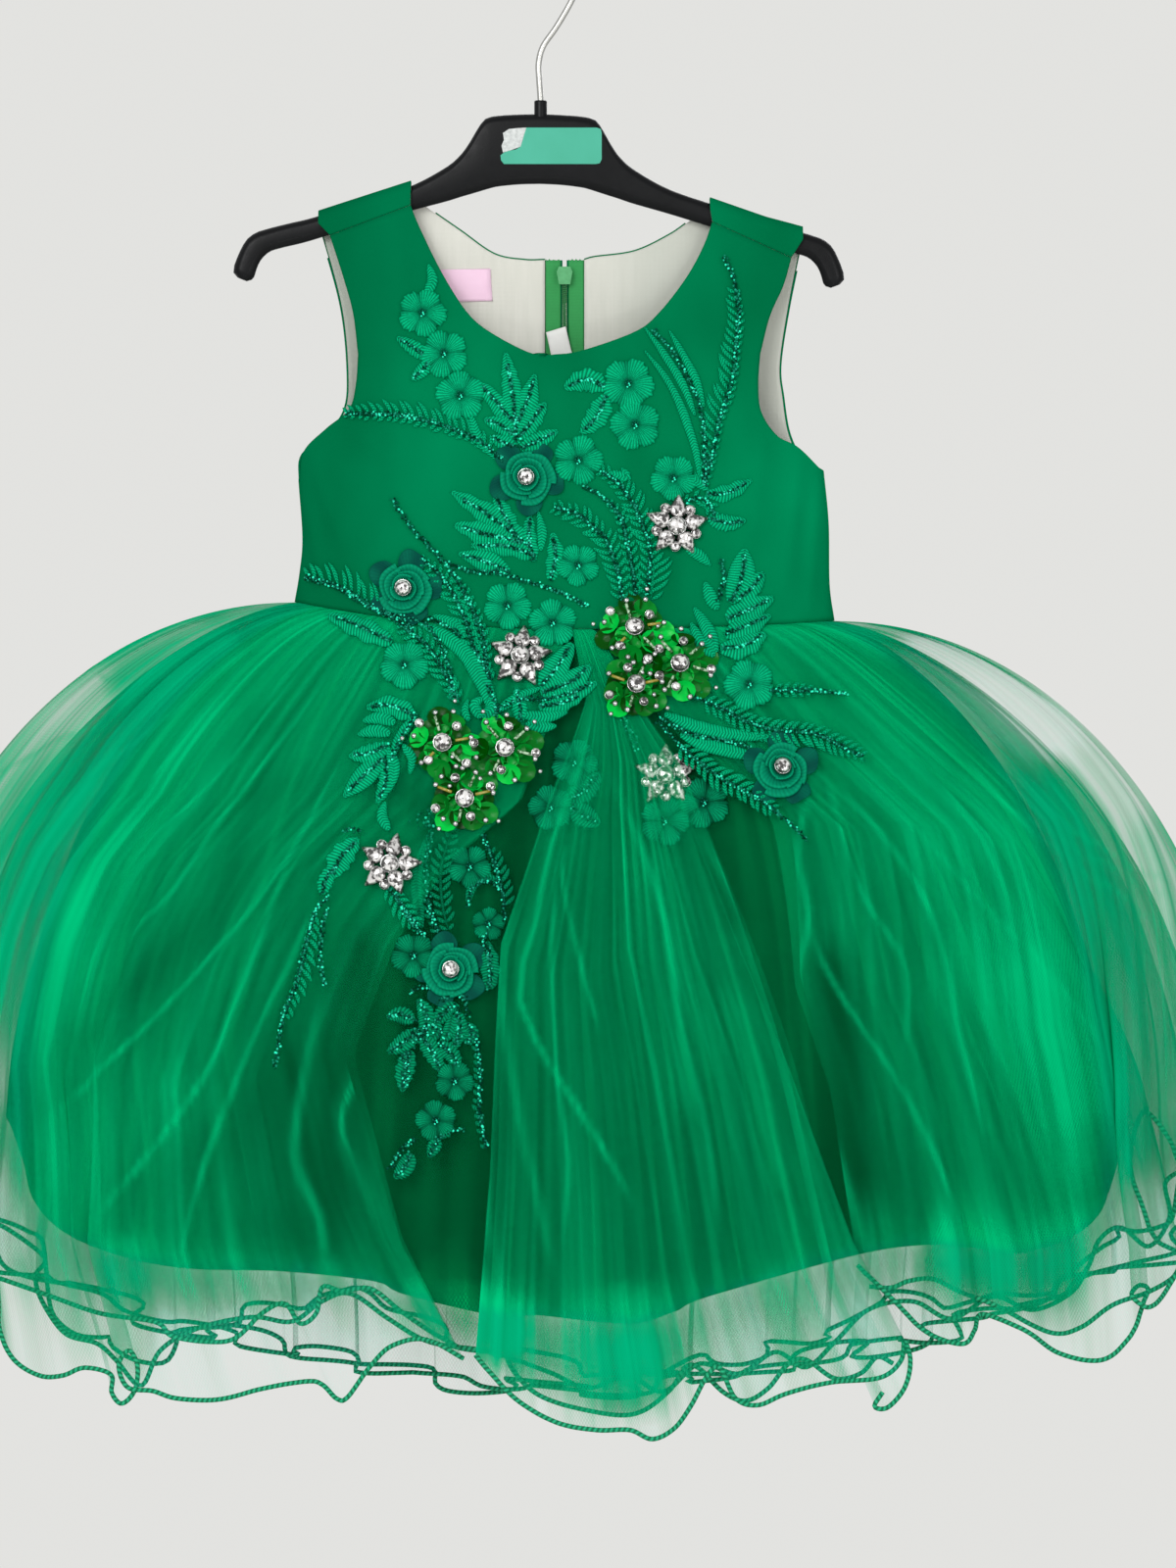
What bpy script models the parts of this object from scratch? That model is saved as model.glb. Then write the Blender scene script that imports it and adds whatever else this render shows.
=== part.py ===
"""A child's princess dress on its hanger.

A sleeveless satin bodice with a round neck and a cream lining closes with a zip down the back.
Below the waist hang a plain underskirt, a gathered net and an outer skirt of tulle that parts
into a left, a middle and a right panel over the front, each with a cord rolled into its hem.
Embroidered flowers and ferns, cloth roses, star brooches and bead clusters are sewn on the front.

Metres, +Z up. The front faces -Y and +X is right. The origin is the inside top of the hanger's hook.
"""

import math

import bmesh
import bpy
import numpy as np
from mathutils import Matrix, Vector
from mathutils.bvhtree import BVHTree
from mathutils.geometry import delaunay_2d_cdt

# The pattern sheet: shapes seen from the front are given as places on it, across and down.
SHEET = 0.00052
SHEET_ORIGIN = (551.0, -64.0)

# Cloth
CLOTH = 0.001
GAP = 0.0003
SEAM = GAP / 2
LINING_OUT = CLOTH + GAP
LINING_IN = LINING_OUT + CLOTH

# Hanger
BAR_HALF = 0.0045
BAR_BEVEL = 0.0020
BAR_LEDGE = 0.0038
HANGER_TILT = math.radians(-0.65)
HANGER_TOP = (551.5, 114.0)
WIRE_RADIUS = 0.00165
HOOK_RADIUS = 0.0208
COLLAR_RADIUS = 0.0034
COLLAR_HEIGHT = 0.0072
SHOULDER = BAR_HALF + GAP + CLOTH + GAP + CLOTH

# Bodice
CHEST_FRONT = 0.027
WAIST_FRONT = 0.028
WAIST_BACK = 0.018
CHEST_BACK = 0.017
ZIP_X = 0.0130
ZIP_SLOT = 0.0011
TAPE_HALF = 0.0102
TAPE_INNER = 0.0021
COIL_HALF = 0.0016
COIL_DEPTH = 0.0020
LABEL = 0.001

# Skirt
BELL_DROP = 0.262
ROW_POWER = 2.0
CORD_RADIUS = 0.0012


def on_sheet(u, v):
    """Place on the pattern sheet -> (x, z)."""
    return ((u - SHEET_ORIGIN[0]) * SHEET, -(v - SHEET_ORIGIN[1]) * SHEET)


def sheet_of(x, z):
    """(x, z) -> place on the pattern sheet."""
    return (x / SHEET + SHEET_ORIGIN[0], -z / SHEET + SHEET_ORIGIN[1])


def ease(t):
    """0 to 1 with level ends."""
    t = min(max(t, 0.0), 1.0)
    return t * t * (3.0 - 2.0 * t)


def mix(a, b, t):
    return a + (b - a) * t


def look_up(table, at):
    """Value of a two-column table, straight between its rows."""
    return float(np.interp(at, [row[0] for row in table], [row[1] for row in table]))


def smooth_curve(points, steps):
    """Evenly spaced places along a smooth curve through the points, ends included."""
    p = np.array(points, float)
    ends = np.vstack([2 * p[0] - p[1], p, 2 * p[-1] - p[-2]])
    dense = [p[0]]
    fine = 16
    for k in range(1, len(p)):
        a, b, c, d = ends[k - 1 : k + 3]
        for s in range(1, fine + 1):
            t = s / fine
            dense.append(
                0.5
                * (
                    2 * b
                    + (c - a) * t
                    + (2 * a - 5 * b + 4 * c - d) * t**2
                    + (3 * b - a - 3 * c + d) * t**3
                )
            )
    dense = np.array(dense)
    run = np.concatenate([[0], np.cumsum(np.linalg.norm(np.diff(dense, axis=0), axis=1))])
    marks = np.linspace(0, run[-1], steps + 1)
    return [tuple(np.interp(m, run, dense[:, i]) for i in range(p.shape[1])) for m in marks]


# Colours
COLOURS = {
    "satin": ((0.004, 0.205, 0.075), 0.38, 0.0),
    "lining": ((0.73, 0.69, 0.56), 0.85, 0.0),
    "tulle": ((0.002, 0.290, 0.110), 0.75, 0.0),
    "net": ((0.002, 0.200, 0.075), 0.75, 0.0),
    "underskirt": ((0.002, 0.070, 0.030), 0.45, 0.0),
    "cord": ((0.004, 0.230, 0.090), 0.60, 0.0),
    "embroidery": ((0.004, 0.370, 0.140), 0.60, 0.0),
    "rose": ((0.004, 0.140, 0.075), 0.65, 0.0),
    "crystal": ((0.78, 0.80, 0.80), 0.08, 0.6),
    "beads": ((0.01, 0.220, 0.020), 0.12, 0.1),
    "zip": ((0.02, 0.270, 0.050), 0.55, 0.0),
    "slider": ((0.06, 0.330, 0.110), 0.35, 0.3),
    "pink_tape": ((0.86, 0.48, 0.68), 0.70, 0.0),
    "white_tape": ((0.85, 0.85, 0.82), 0.70, 0.0),
    "hanger": ((0.016, 0.017, 0.019), 0.35, 0.0),
    "steel": ((0.45, 0.45, 0.42), 0.28, 1.0),
    "mint": ((0.09, 0.53, 0.37), 0.50, 0.0),
}


def material(key):
    found = bpy.data.materials.get(key)
    if found:
        return found
    colour, rough, metal = COLOURS[key]
    made = bpy.data.materials.new(key)
    made.use_nodes = True
    shader = made.node_tree.nodes["Principled BSDF"]
    shader.inputs["Base Color"].default_value = (*colour, 1)
    shader.inputs["Roughness"].default_value = rough
    shader.inputs["Metallic"].default_value = metal
    made.diffuse_color = (*colour, 1)
    return made


def place(name, bm, key, smooth=True):
    """Makes the object of a finished bmesh."""
    mesh = bpy.data.meshes.new(name)
    bm.to_mesh(mesh)
    bm.free()
    mesh.materials.append(material(key))
    if smooth:
        mesh.shade_smooth()
        mesh.set_sharp_from_angle(angle=math.radians(40))
    made = bpy.data.objects.new(name, mesh)
    bpy.context.scene.collection.objects.link(made)
    made.parent = bpy.data.objects["dress_origin"]
    return made


class Skin:
    """The outer face of a piece of cloth: points shared between the grids that make it."""

    def __init__(self):
        self.points = []
        self.faces = []
        self.index = {}
        self.fixed = {}

    def point(self, co):
        key = tuple(round(c * 1e7) for c in co)
        if key not in self.index:
            self.index[key] = len(self.points)
            self.points.append(Vector(co))
        return self.index[key]

    def grid(self, rows, flip=False):
        """Rows of points from low to high, each from left to right as seen from outside."""
        ids = [[self.point(co) for co in row] for row in rows]
        for low, high in zip(ids, ids[1:]):
            for i in range(len(low) - 1):
                a, b, c, d = low[i], low[i + 1], high[i + 1], high[i]
                for face in ([a, b, c], [a, c, d]):
                    if len(set(face)) == 3:
                        self.faces.append(face[::-1] if flip else face)
        return ids

    def normals(self):
        total = [Vector() for _ in self.points]
        for face in self.faces:
            p = [self.points[i] for i in face]
            across = (p[1] - p[0]).cross(p[2] - p[0])
            for i in face:
                total[i] += across
        for i, hold in self.fixed.items():
            total[i] = hold(total[i])
        return [n.normalized() for n in total]

    def wall(self, name, out, inn, key):
        """A closed wall between two depths under the skin, with rims at its open edges."""
        normals = self.normals()
        bm = bmesh.new()
        outer = [bm.verts.new(p - n * out) for p, n in zip(self.points, normals)]
        inner = [bm.verts.new(p - n * inn) for p, n in zip(self.points, normals)]
        edges = {}
        for face in self.faces:
            bm.faces.new([outer[i] for i in face])
            bm.faces.new([inner[i] for i in reversed(face)])
            for a, b in zip(face, face[1:] + face[:1]):
                edges[(a, b)] = edges.get((a, b), 0) + 1
        for a, b in edges:
            if (b, a) not in edges:
                bm.faces.new([outer[b], outer[a], inner[a], inner[b]])
        return place(name, bm, key)


def sideways(normal):
    """The direction of a side seam: no part of it faces front or back."""
    return Vector((normal.x, 0.0, normal.z))


def level(normal):
    """The direction at a waist edge: no part of it faces up or down."""
    return Vector((normal.x, normal.y, 0.0))


def tube(name, path, radius, sides, key, taper=None):
    """A round bar along a path, closed at both ends."""
    bm = bmesh.new()
    path = [Vector(p) for p in path]
    rings = []
    side = None
    for k, centre in enumerate(path):
        ahead = (path[min(k + 1, len(path) - 1)] - path[max(k - 1, 0)]).normalized()
        if side is None:
            side = ahead.orthogonal().normalized()
        side = (side - ahead * side.dot(ahead)).normalized()
        up = ahead.cross(side)
        size = radius * (taper(k / (len(path) - 1)) if taper else 1.0)
        ring = []
        for s in range(sides):
            turn = 2 * math.pi * s / sides
            ring.append(bm.verts.new(centre + size * (math.cos(turn) * side + math.sin(turn) * up)))
        rings.append(ring)
    for low, high in zip(rings, rings[1:]):
        for s in range(sides):
            n = (s + 1) % sides
            bm.faces.new([low[s], low[n], high[n], high[s]])
    bm.faces.new(rings[0][::-1])
    bm.faces.new(rings[-1])
    return place(name, bm, key)


def loft(name, rings, key, smooth=True):
    """A closed solid through rings of equal count, each turning the same way, flat at both ends."""
    bm = bmesh.new()
    made = [[bm.verts.new(p) for p in ring] for ring in rings]
    count = len(rings[0])
    for low, high in zip(made, made[1:]):
        for s in range(count):
            n = (s + 1) % count
            bm.faces.new([low[s], low[n], high[n], high[s]])
    bm.faces.new(made[0][::-1])
    bm.faces.new(made[-1])
    bmesh.ops.recalc_face_normals(bm, faces=bm.faces)
    return place(name, bm, key, smooth)


def combine(target, others, operation):
    """Joins others to the target, or cuts them out of it, and keeps the result as its mesh."""
    for other in others:
        step = target.modifiers.new("step", "BOOLEAN")
        step.operation = operation
        step.solver = "EXACT"
        step.object = other
        graph = bpy.context.evaluated_depsgraph_get()
        done = bpy.data.meshes.new_from_object(target.evaluated_get(graph))
        target.modifiers.clear()
        target.data = done
        bpy.data.objects.remove(other)
    return target


# The bodice seen from the front, on the pattern sheet. Each edge runs upwards.
SIDE_LEFT = ((301, 614), (306, 584), (309, 548), (305, 490))
SIDE_RIGHT = ((851, 633), (846, 596), (845, 533), (840, 480))
ARM_LOW_LEFT = ((305, 490), (309, 460), (332, 437), (356, 417), (363, 390), (365, 361))
ARM_LOW_RIGHT = ((840, 480), (815, 456), (793, 444), (777, 420), (774, 392), (776, 361))
ARM_HIGH_LEFT = ((365, 361), (360, 320), (351, 286), (336, 239))
ARM_HIGH_RIGHT = ((776, 361), (786, 322), (800, 290), (808, 262))
NECK_LEFT = ((561, 362), (541, 360), (504, 341), (478, 320), (451, 278), (427, 229), (418.6, 208))
NECK_RIGHT = ((561, 362), (592, 358), (648, 338), (672, 319), (700, 283), (718, 250), (727, 225))
WAIST_MIDDLE = (576, 642)

# The back, which is higher at the neck and wider at the shoulders
BACK_ARM_LEFT = ((305, 490), (307, 464), (330, 444), (350, 418), (354, 380), (347, 310), (332, 243))
BACK_ARM_RIGHT = ((840, 480), (818, 464), (806, 440), (800, 404), (797, 370), (806, 310), (818, 262))
BACK_NECK_LEFT = ((576, 263), (535, 263), (504, 257), (469, 233), (436, 210), (419, 201))
BACK_NECK_RIGHT = ((576, 263), (607, 260), (648, 254), (684, 237), (706, 222), (722, 216))

# Where each strap folds over the hanger and where its seam lies on the front: outer end, neck end
FOLD_LEFT = ((324, 220), (418.6, 187))
FOLD_RIGHT = ((820, 238.5), (725, 199))
SEAM_LEFT = ((336, 239), (418.6, 208))
SEAM_RIGHT = ((808, 262), (727, 225))

DEPTH_LOW = 470
SIDE_ROWS = 3
ARM_ROWS = 4
STRAP_ROWS = 3
HALF_COLUMNS = 5
ZIP_ROWS = 6


def body_width(v):
    """Middle and half width of the bodice at a height on the sheet."""
    left = look_up([(b, a) for a, b in reversed(SIDE_LEFT)], v)
    right = look_up([(b, a) for a, b in reversed(SIDE_RIGHT)], v)
    return (left + right) / 2, (right - left) / 2


def body_depth(x, z, back):
    """How far the bodice stands in front of its side seams, or behind them."""
    u, v = sheet_of(x, z)
    middle, half = body_width(v)
    across = min(abs(u - middle) / half, 1.0)
    round_off = math.sqrt(1.0 - across**2)
    chest, waist = (CHEST_BACK, WAIST_BACK) if back else (CHEST_FRONT, WAIST_FRONT)
    depth = mix(chest, waist, ease((v - 470) / 150)) * round_off
    outer, inner = (SEAM_LEFT[0], SEAM_RIGHT[0]) if u < middle else (SEAM_RIGHT[0], SEAM_LEFT[0])
    left_top = mix(SEAM_LEFT[0][1], SEAM_LEFT[1][1], (u - 336) / 82.6)
    right_top = mix(SEAM_RIGHT[1][1], SEAM_RIGHT[0][1], (u - 727) / 81)
    if u < 418.6:
        top = left_top
    elif u > 727:
        top = right_top
    else:
        top = mix(208, 225, (u - 418.6) / 308.4)
    return mix(depth, SHOULDER, ease((DEPTH_LOW - v) / (DEPTH_LOW - top)))


def front_point(u, v):
    x, z = on_sheet(u, v)
    return (x, -body_depth(x, z, False) - SEAM, z)


def back_point(u, v):
    x, z = on_sheet(u, v)
    return (x, body_depth(x, z, True) + SEAM, z)


def joined(first, second, steps_first, steps_second):
    return smooth_curve(first, steps_first) + smooth_curve(second, steps_second)[1:]


def front_bodice():
    """One panel, cut to the neck and armholes, up to the shoulder seams."""
    left = joined(SIDE_LEFT, ARM_LOW_LEFT, SIDE_ROWS, ARM_ROWS)
    right = joined(SIDE_RIGHT, ARM_LOW_RIGHT, SIDE_ROWS, ARM_ROWS)
    middle = smooth_curve((WAIST_MIDDLE, (572, 500), NECK_LEFT[0]), SIDE_ROWS + ARM_ROWS)
    rows = []
    for k, (l, c, r) in enumerate(zip(left, middle, right)):
        straight = ease((k - SIDE_ROWS) / ARM_ROWS)
        row = []
        for i in range(-HALF_COLUMNS, HALF_COLUMNS + 1):
            w = abs(i) / HALF_COLUMNS
            end = l if i < 0 else r
            s = mix(math.sin(w * math.pi / 2), w, straight)
            row.append(front_point(mix(c[0], end[0], s), mix(c[1], end[1], mix(s * s, w, straight))))
        rows.append(row)
    skin = Skin()
    ids = skin.grid(rows)
    for strap, (arm, neck) in enumerate(((ARM_HIGH_LEFT, NECK_LEFT), (ARM_HIGH_RIGHT, NECK_RIGHT))):
        outer = smooth_curve(arm, STRAP_ROWS)
        inner = smooth_curve(neck, STRAP_ROWS)
        half = rows[-1][: HALF_COLUMNS + 1] if strap == 0 else rows[-1][HALF_COLUMNS:]
        strap_rows = [half]
        for a, n in zip(outer[1:], inner[1:]):
            ends = (a, n) if strap == 0 else (n, a)
            row = []
            for i in range(HALF_COLUMNS + 1):
                w = i / HALF_COLUMNS
                row.append(front_point(mix(ends[0][0], ends[1][0], w), mix(ends[0][1], ends[1][1], w)))
            strap_rows.append(row)
        last = strap_rows[-1]
        strap_rows[-1] = [(x, -SHOULDER, z - SEAM) for x, y, z in last]
        skin.grid(strap_rows)
    for row in ids[: SIDE_ROWS + 1]:
        for i in (row[0], row[-1]):
            skin.fixed[i] = sideways
    for i in ids[0][1:-1]:
        skin.fixed[i] = level
    for i in (ids[0][0], ids[0][-1]):
        skin.fixed[i] = lambda n: Vector((n.x, 0.0, 0.0))
    return skin


def hanger_top(x):
    """Height of the hanger's upper edge over a place across."""
    top_x, top_z = on_sheet(*HANGER_TOP)
    across = abs(x - top_x)
    drop = look_up([(row[0], row[1]) for row in HANGER_SECTIONS[:-3]], across)
    return top_z - drop + (x - top_x) * math.tan(HANGER_TILT)


def zip_rows():
    """Heights on the sheet of the rows along the zip, from the waist to the neck."""
    low, high = WAIST_MIDDLE[1], BACK_NECK_LEFT[0][1]
    return [mix(low, high, k / ZIP_ROWS) for k in range(ZIP_ROWS + 1)]


def zip_strip(near, far):
    """Rows of points beside the zip, between two distances from its middle."""
    a, b = sheet_of(ZIP_X + near, 0)[0], sheet_of(ZIP_X + far, 0)[0]
    return [[back_point(a, v), back_point(b, v)] for v in zip_rows()]


def back_bodice(right_side, with_strip):
    """Half of the back, from beside the zip to the side, with its strap carried over the hanger.

    with_strip adds the part that reaches on over the tape to the zip's slot."""
    side = SIDE_RIGHT if right_side else SIDE_LEFT
    arm = BACK_ARM_RIGHT if right_side else BACK_ARM_LEFT
    neck = BACK_NECK_RIGHT if right_side else BACK_NECK_LEFT
    fold = FOLD_RIGHT if right_side else FOLD_LEFT
    seam = SEAM_RIGHT if right_side else SEAM_LEFT
    sign = 1 if right_side else -1
    edge_u = sheet_of(ZIP_X + sign * (TAPE_HALF + GAP), 0)[0]
    rows_high = SIDE_ROWS + ARM_ROWS + STRAP_ROWS + 1 - ZIP_ROWS
    lift = (SHOULDER - BAR_HALF) * 1.2
    starts = []
    for u, _ in fold:
        x = on_sheet(u, 0)[0]
        starts.append(sheet_of(x, hanger_top(x) + lift - SHOULDER))
    arm_ends = (*arm[:-1], starts[0])
    neck_ends = ((edge_u, neck[0][1]), *neck[1:-1], starts[1])
    outer = joined(side, arm_ends, SIDE_ROWS, ZIP_ROWS + rows_high - SIDE_ROWS)
    inner = [(edge_u, v) for v in zip_rows()] + smooth_curve(neck_ends, rows_high)[1:]
    rows = []
    for k, (o, n) in enumerate(zip(outer, inner)):
        straight = ease((k - SIDE_ROWS) / 3)
        row = []
        for i in range(HALF_COLUMNS + 1):
            w = i / HALF_COLUMNS
            s = mix(math.sin(w * math.pi / 2), w, straight)
            row.append(back_point(mix(n[0], o[0], s), mix(n[1], o[1], mix(s * s, w, straight))))
        rows.append(row)
    last = []
    for x, _, z in rows[-1]:
        last.append((x, SHOULDER, hanger_top(x) + lift - SHOULDER))
    rows[-1] = last
    for turn in (45, 90, 135, 180):
        swing = math.radians(turn)
        rows.append(
            [
                (x, SHOULDER * math.cos(swing), z + SHOULDER * math.sin(swing))
                for x, y, z in last
            ]
        )
    ends = [on_sheet(*seam[1]), on_sheet(*seam[0])]
    final = []
    for i in range(HALF_COLUMNS + 1):
        w = i / HALF_COLUMNS
        final.append((mix(ends[0][0], ends[1][0], w), -SHOULDER, mix(ends[0][1], ends[1][1], w) + SEAM))
    rows.append(final)
    skin = Skin()
    ids = skin.grid(rows, flip=right_side)
    straight_in = lambda n: Vector((0.0, n.y, 0.0))
    if with_strip:
        strip_ids = skin.grid(zip_strip(sign * ZIP_SLOT, sign * (TAPE_HALF + GAP)), flip=right_side)
        for row in strip_ids:
            for i in row:
                skin.fixed[i] = straight_in
    for row in ids[: SIDE_ROWS + 1]:
        skin.fixed[row[-1]] = sideways
    for i in ids[0][1:-1]:
        skin.fixed[i] = level
    skin.fixed[ids[0][-1]] = lambda n: Vector((n.x, 0.0, 0.0))
    for row in ids[: ZIP_ROWS + 1]:
        skin.fixed[row[0]] = straight_in
    return skin


# The skirt's layers: half width and depths at the waist, reach to the side, front and back at
# the hem, drop at the middle, how much shorter the sides are, and how far below the waist edge
LAYERS = {
    "tulle": dict(
        half=0.1430, front=0.0280, back=0.0180, reach=0.216, out=0.080,
        behind=0.034, drop=0.416, cut=0.100, low=0.0007,
    ),
    "net": dict(
        half=0.1412, front=0.0260, back=0.0158, reach=0.185, out=0.062,
        behind=0.020, drop=0.394, cut=0.096, low=0.0026,
    ),
    "underskirt": dict(
        half=0.1392, front=0.0240, back=0.0138, reach=0.149, out=0.048,
        behind=0.008, drop=0.367, cut=0.088, low=0.0046,
    ),
}
WAIST_LEFT_Z = on_sheet(*SIDE_LEFT[0])[1]
WAIST_RIGHT_Z = on_sheet(*SIDE_RIGHT[0])[1]
WAIST_MIDDLE_Z = on_sheet(*WAIST_MIDDLE)[1]
WAIST_X = on_sheet((SIDE_LEFT[0][0] + SIDE_RIGHT[0][0]) / 2, 0)[0]


def waist_z(s):
    """Height of the waist edge, s from -1 at the left side to 1 at the right."""
    return mix(WAIST_MIDDLE_Z, WAIST_RIGHT_Z if s > 0 else WAIST_LEFT_Z, s * s)


def bell(q):
    """Share of the sideways reach at a drop q below the waist: a quarter oval, then a slow flare."""
    share = min(q / BELL_DROP, 1.0)
    return math.sqrt(1.0 - (1.0 - share) ** 2) + 0.05 * max(q - BELL_DROP, 0.0) / 0.15


def slope(q, layer):
    """Share of the forward reach at a drop q."""
    return (q / layer["drop"]) ** 0.8


def skirt_at(layer, s, q, back=False):
    """Point of a smooth layer. s is the place across from -1 to 1, q is the drop below the waist."""
    c = math.sqrt(max(0.0, 1.0 - s * s))
    x = WAIST_X + (layer["half"] + layer["reach"] * bell(q)) * s
    if back:
        y = (layer["back"] + layer["behind"] * slope(q, layer)) * c + SEAM
    else:
        y = -(layer["front"] + layer["out"] * slope(q, layer)) * c - SEAM
    return Vector((x, y, waist_z(s) - layer["low"] - q))


def drop_of(layer, s, t, extra=0.0):
    full = layer["drop"] - layer["cut"] * abs(s) ** 4 + extra
    return full * t**ROW_POWER


def skirt_normal(layer, s, q, back):
    """Outward direction of the smooth layer."""
    step = 0.004
    s0, s1 = max(s - step, -0.9999), min(s + step, 0.9999)
    q0 = max(q - step, 0.0)
    across = skirt_at(layer, s1, q, back) - skirt_at(layer, s0, q, back)
    down = skirt_at(layer, s, q + step, back) - skirt_at(layer, s, q0, back)
    normal = down.cross(across) if not back else across.cross(down)
    return normal.normalized()


# Places where stiff embroidery holds the tulle flat: across, down and size on the sheet
FLATTENED = (
    (560, 640, 330), (410, 880, 100), (330, 930, 60), (300, 1010, 60),
    (280, 1090, 60), (455, 1000, 170), (455, 1120, 130),
)


def looseness(point):
    """How freely the cloth folds here: 1 far from the embroidery."""
    u, v = sheet_of(point.x, point.z)
    held = max(math.exp(-((((u - a) ** 2 + (v - b) ** 2) / size**2) ** 2)) for a, b, size in FLATTENED)
    return 1.0 - 0.9 * held


# Across places of the parted panels' edges, against the share of the drop
LEFT_INNER = (
    (0, 0.00), (0.10, -0.02), (0.24, -0.08), (0.33, -0.20),
    (0.44, -0.27), (0.60, -0.32), (0.85, -0.23), (1, -0.140),
)
MIDDLE_LEFT = ((0, 0.025), (0.10, 0.045), (0.24, -0.026), (0.44, -0.096), (0.75, -0.107), (1, -0.125))
MIDDLE_RIGHT = (
    (0, 0.10), (0.10, 0.15), (0.18, 0.208), (0.26, 0.235),
    (0.39, 0.28), (0.60, 0.353), (0.86, 0.429), (1, 0.495),
)
RIGHT_INNER = (
    (0, 0.13), (0.10, 0.19), (0.18, 0.26), (0.29, 0.38),
    (0.44, 0.365), (0.55, 0.355), (0.70, 0.39), (1, 0.43),
)
SIDE_L = ((0, -1.0), (1, -1.0))
SIDE_R = ((0, 1.0), (1, 1.0))


def hem_wave(w, folds, seed):
    """The ruffled hem line: how far it runs up and down, from the place across a panel."""
    turn = 2 * math.pi * folds * w
    return 0.6 * math.sin(0.5 * turn + seed) + 0.4 * math.sin(0.31 * turn + 2 * seed)


# Each panel: its layer, its edges, whether it hangs at the back, and how it is gathered
PANELS = (
    ("underskirt_front", "underskirt", SIDE_L, SIDE_R, False,
     dict(folds=7, columns=24, rows=5, ratio=0.05, ruffle=0.004, seed=0.4, cord=0)),
    ("underskirt_back", "underskirt", SIDE_L, SIDE_R, True,
     dict(folds=4, columns=16, rows=4, ratio=0.04, ruffle=0.004, seed=1.4, cord=0)),
    ("net_front", "net", SIDE_L, SIDE_R, False,
     dict(folds=9, columns=36, rows=5, ratio=0.06, ruffle=0.010, seed=2.1, cord=3)),
    ("net_back", "net", SIDE_L, SIDE_R, True,
     dict(folds=6, columns=24, rows=5, ratio=0.04, ruffle=0.010, seed=0.9, cord=3)),
    ("tulle_left", "tulle", SIDE_L, LEFT_INNER, False,
     dict(folds=10, columns=40, rows=6, ratio=0.17, ruffle=0.012, seed=1.7, cord=4)),
    ("tulle_middle", "tulle", MIDDLE_LEFT, MIDDLE_RIGHT, False,
     dict(folds=7, columns=28, rows=6, ratio=0.15, lift=0.014, ruffle=0.012, seed=0.3, cord=4)),
    ("tulle_right", "tulle", RIGHT_INNER, SIDE_R, False,
     dict(folds=10, columns=40, rows=6, ratio=0.17, ruffle=0.012, seed=2.9, cord=4)),
    ("tulle_back", "tulle", SIDE_L, SIDE_R, True,
     dict(folds=10, columns=40, rows=5, ratio=0.10, ruffle=0.012, seed=0.7, cord=4)),
)


def skirt_panel(
    name, layer_name, left, right, back, *, folds, columns, rows, ratio, ruffle, seed, cord, lift=0.0
):
    """A gathered panel with folds that run from the waist to the hem, and the cord in its hem.

    cord is the number of sides of that cord, or 0 for none."""
    layer = LAYERS[layer_name]
    grid = []
    for j in range(rows + 1):
        t = j / rows
        share = t**ROW_POWER
        s_left, s_right = look_up(left, share), look_up(right, share)
        a_left, a_right = math.asin(s_left), math.asin(s_right)
        row = []
        for i in range(columns + 1):
            w = i / columns
            shift = 0.012 * math.sin(2 * math.pi * 3 * w + seed) * t if 0 < i < columns else 0.0
            s = math.sin(mix(a_left, a_right, w + shift))
            extra = ruffle * hem_wave(w, folds, seed) * t
            q = drop_of(layer, s, t, extra)
            base = skirt_at(layer, s, q, back)
            normal = skirt_normal(layer, s, q, back)
            width = abs(
                (skirt_at(layer, s_right, q, back) - skirt_at(layer, s_left, q, back)).length
            )
            room = ratio * width / folds * (t / (t + 0.15)) * looseness(base)
            taper = min(1.0, w / 0.04, (1 - w) / 0.04)
            uneven = 0.75 + 0.25 * math.sin(5 * math.pi * w + 2 * seed)
            wave = math.sin(2 * math.pi * folds * w + 0.5 * math.sin(4 * math.pi * w + seed))
            out = room * taper * uneven * wave + lift * ease((t - 0.1) / 0.45) * (0.55 + 0.45 * t)
            row.append(base + normal * out)
        grid.append(row)
    skin = Skin()
    ids = skin.grid(grid[::-1], flip=back)
    ids = ids[::-1]
    for row in ids:
        for end, table in ((row[0], left), (row[-1], right)):
            if abs(table[0][1]) == 1.0:
                skin.fixed[end] = sideways
    skin.wall(name, 0.0, CLOTH, layer_name)
    if cord:
        path = hem_path(skin, ids[-2], ids[-1])
        for end, table in ((0, left), (-1, right)):
            if abs(table[0][1]) == 1.0:
                path[end].y = math.copysign(CORD_RADIUS * 1.2 + SEAM, 1 if back else -1)
                path[end].z -= CORD_RADIUS
        tube("hem_cord_" + name.removeprefix("tulle_"), path, CORD_RADIUS, cord, "cord")
    return skin


def hem_path(skin, before, last):
    """The middle line of the cord that runs just below a hem, in the plane of the cloth."""
    normals = skin.normals()
    path = []
    for i, at in enumerate(last):
        low, normal = skin.points[at], normals[at]
        down = (low - skin.points[before[i]]).normalized()
        ways = []
        for k in (i - 1, i):
            if 0 <= k < len(last) - 1:
                run = (skin.points[last[k + 1]] - skin.points[last[k]]).normalized()
                way = normal.cross(run).normalized()
                ways.append(way if way.dot(down) > 0 else -way)
        corner = sum(ways, Vector()).normalized()
        reach = (CORD_RADIUS + 2 * GAP) / max(corner.dot(ways[0]), 0.5)
        path.append(low - normal * CLOTH / 2 + corner * reach)
    return path


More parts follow.
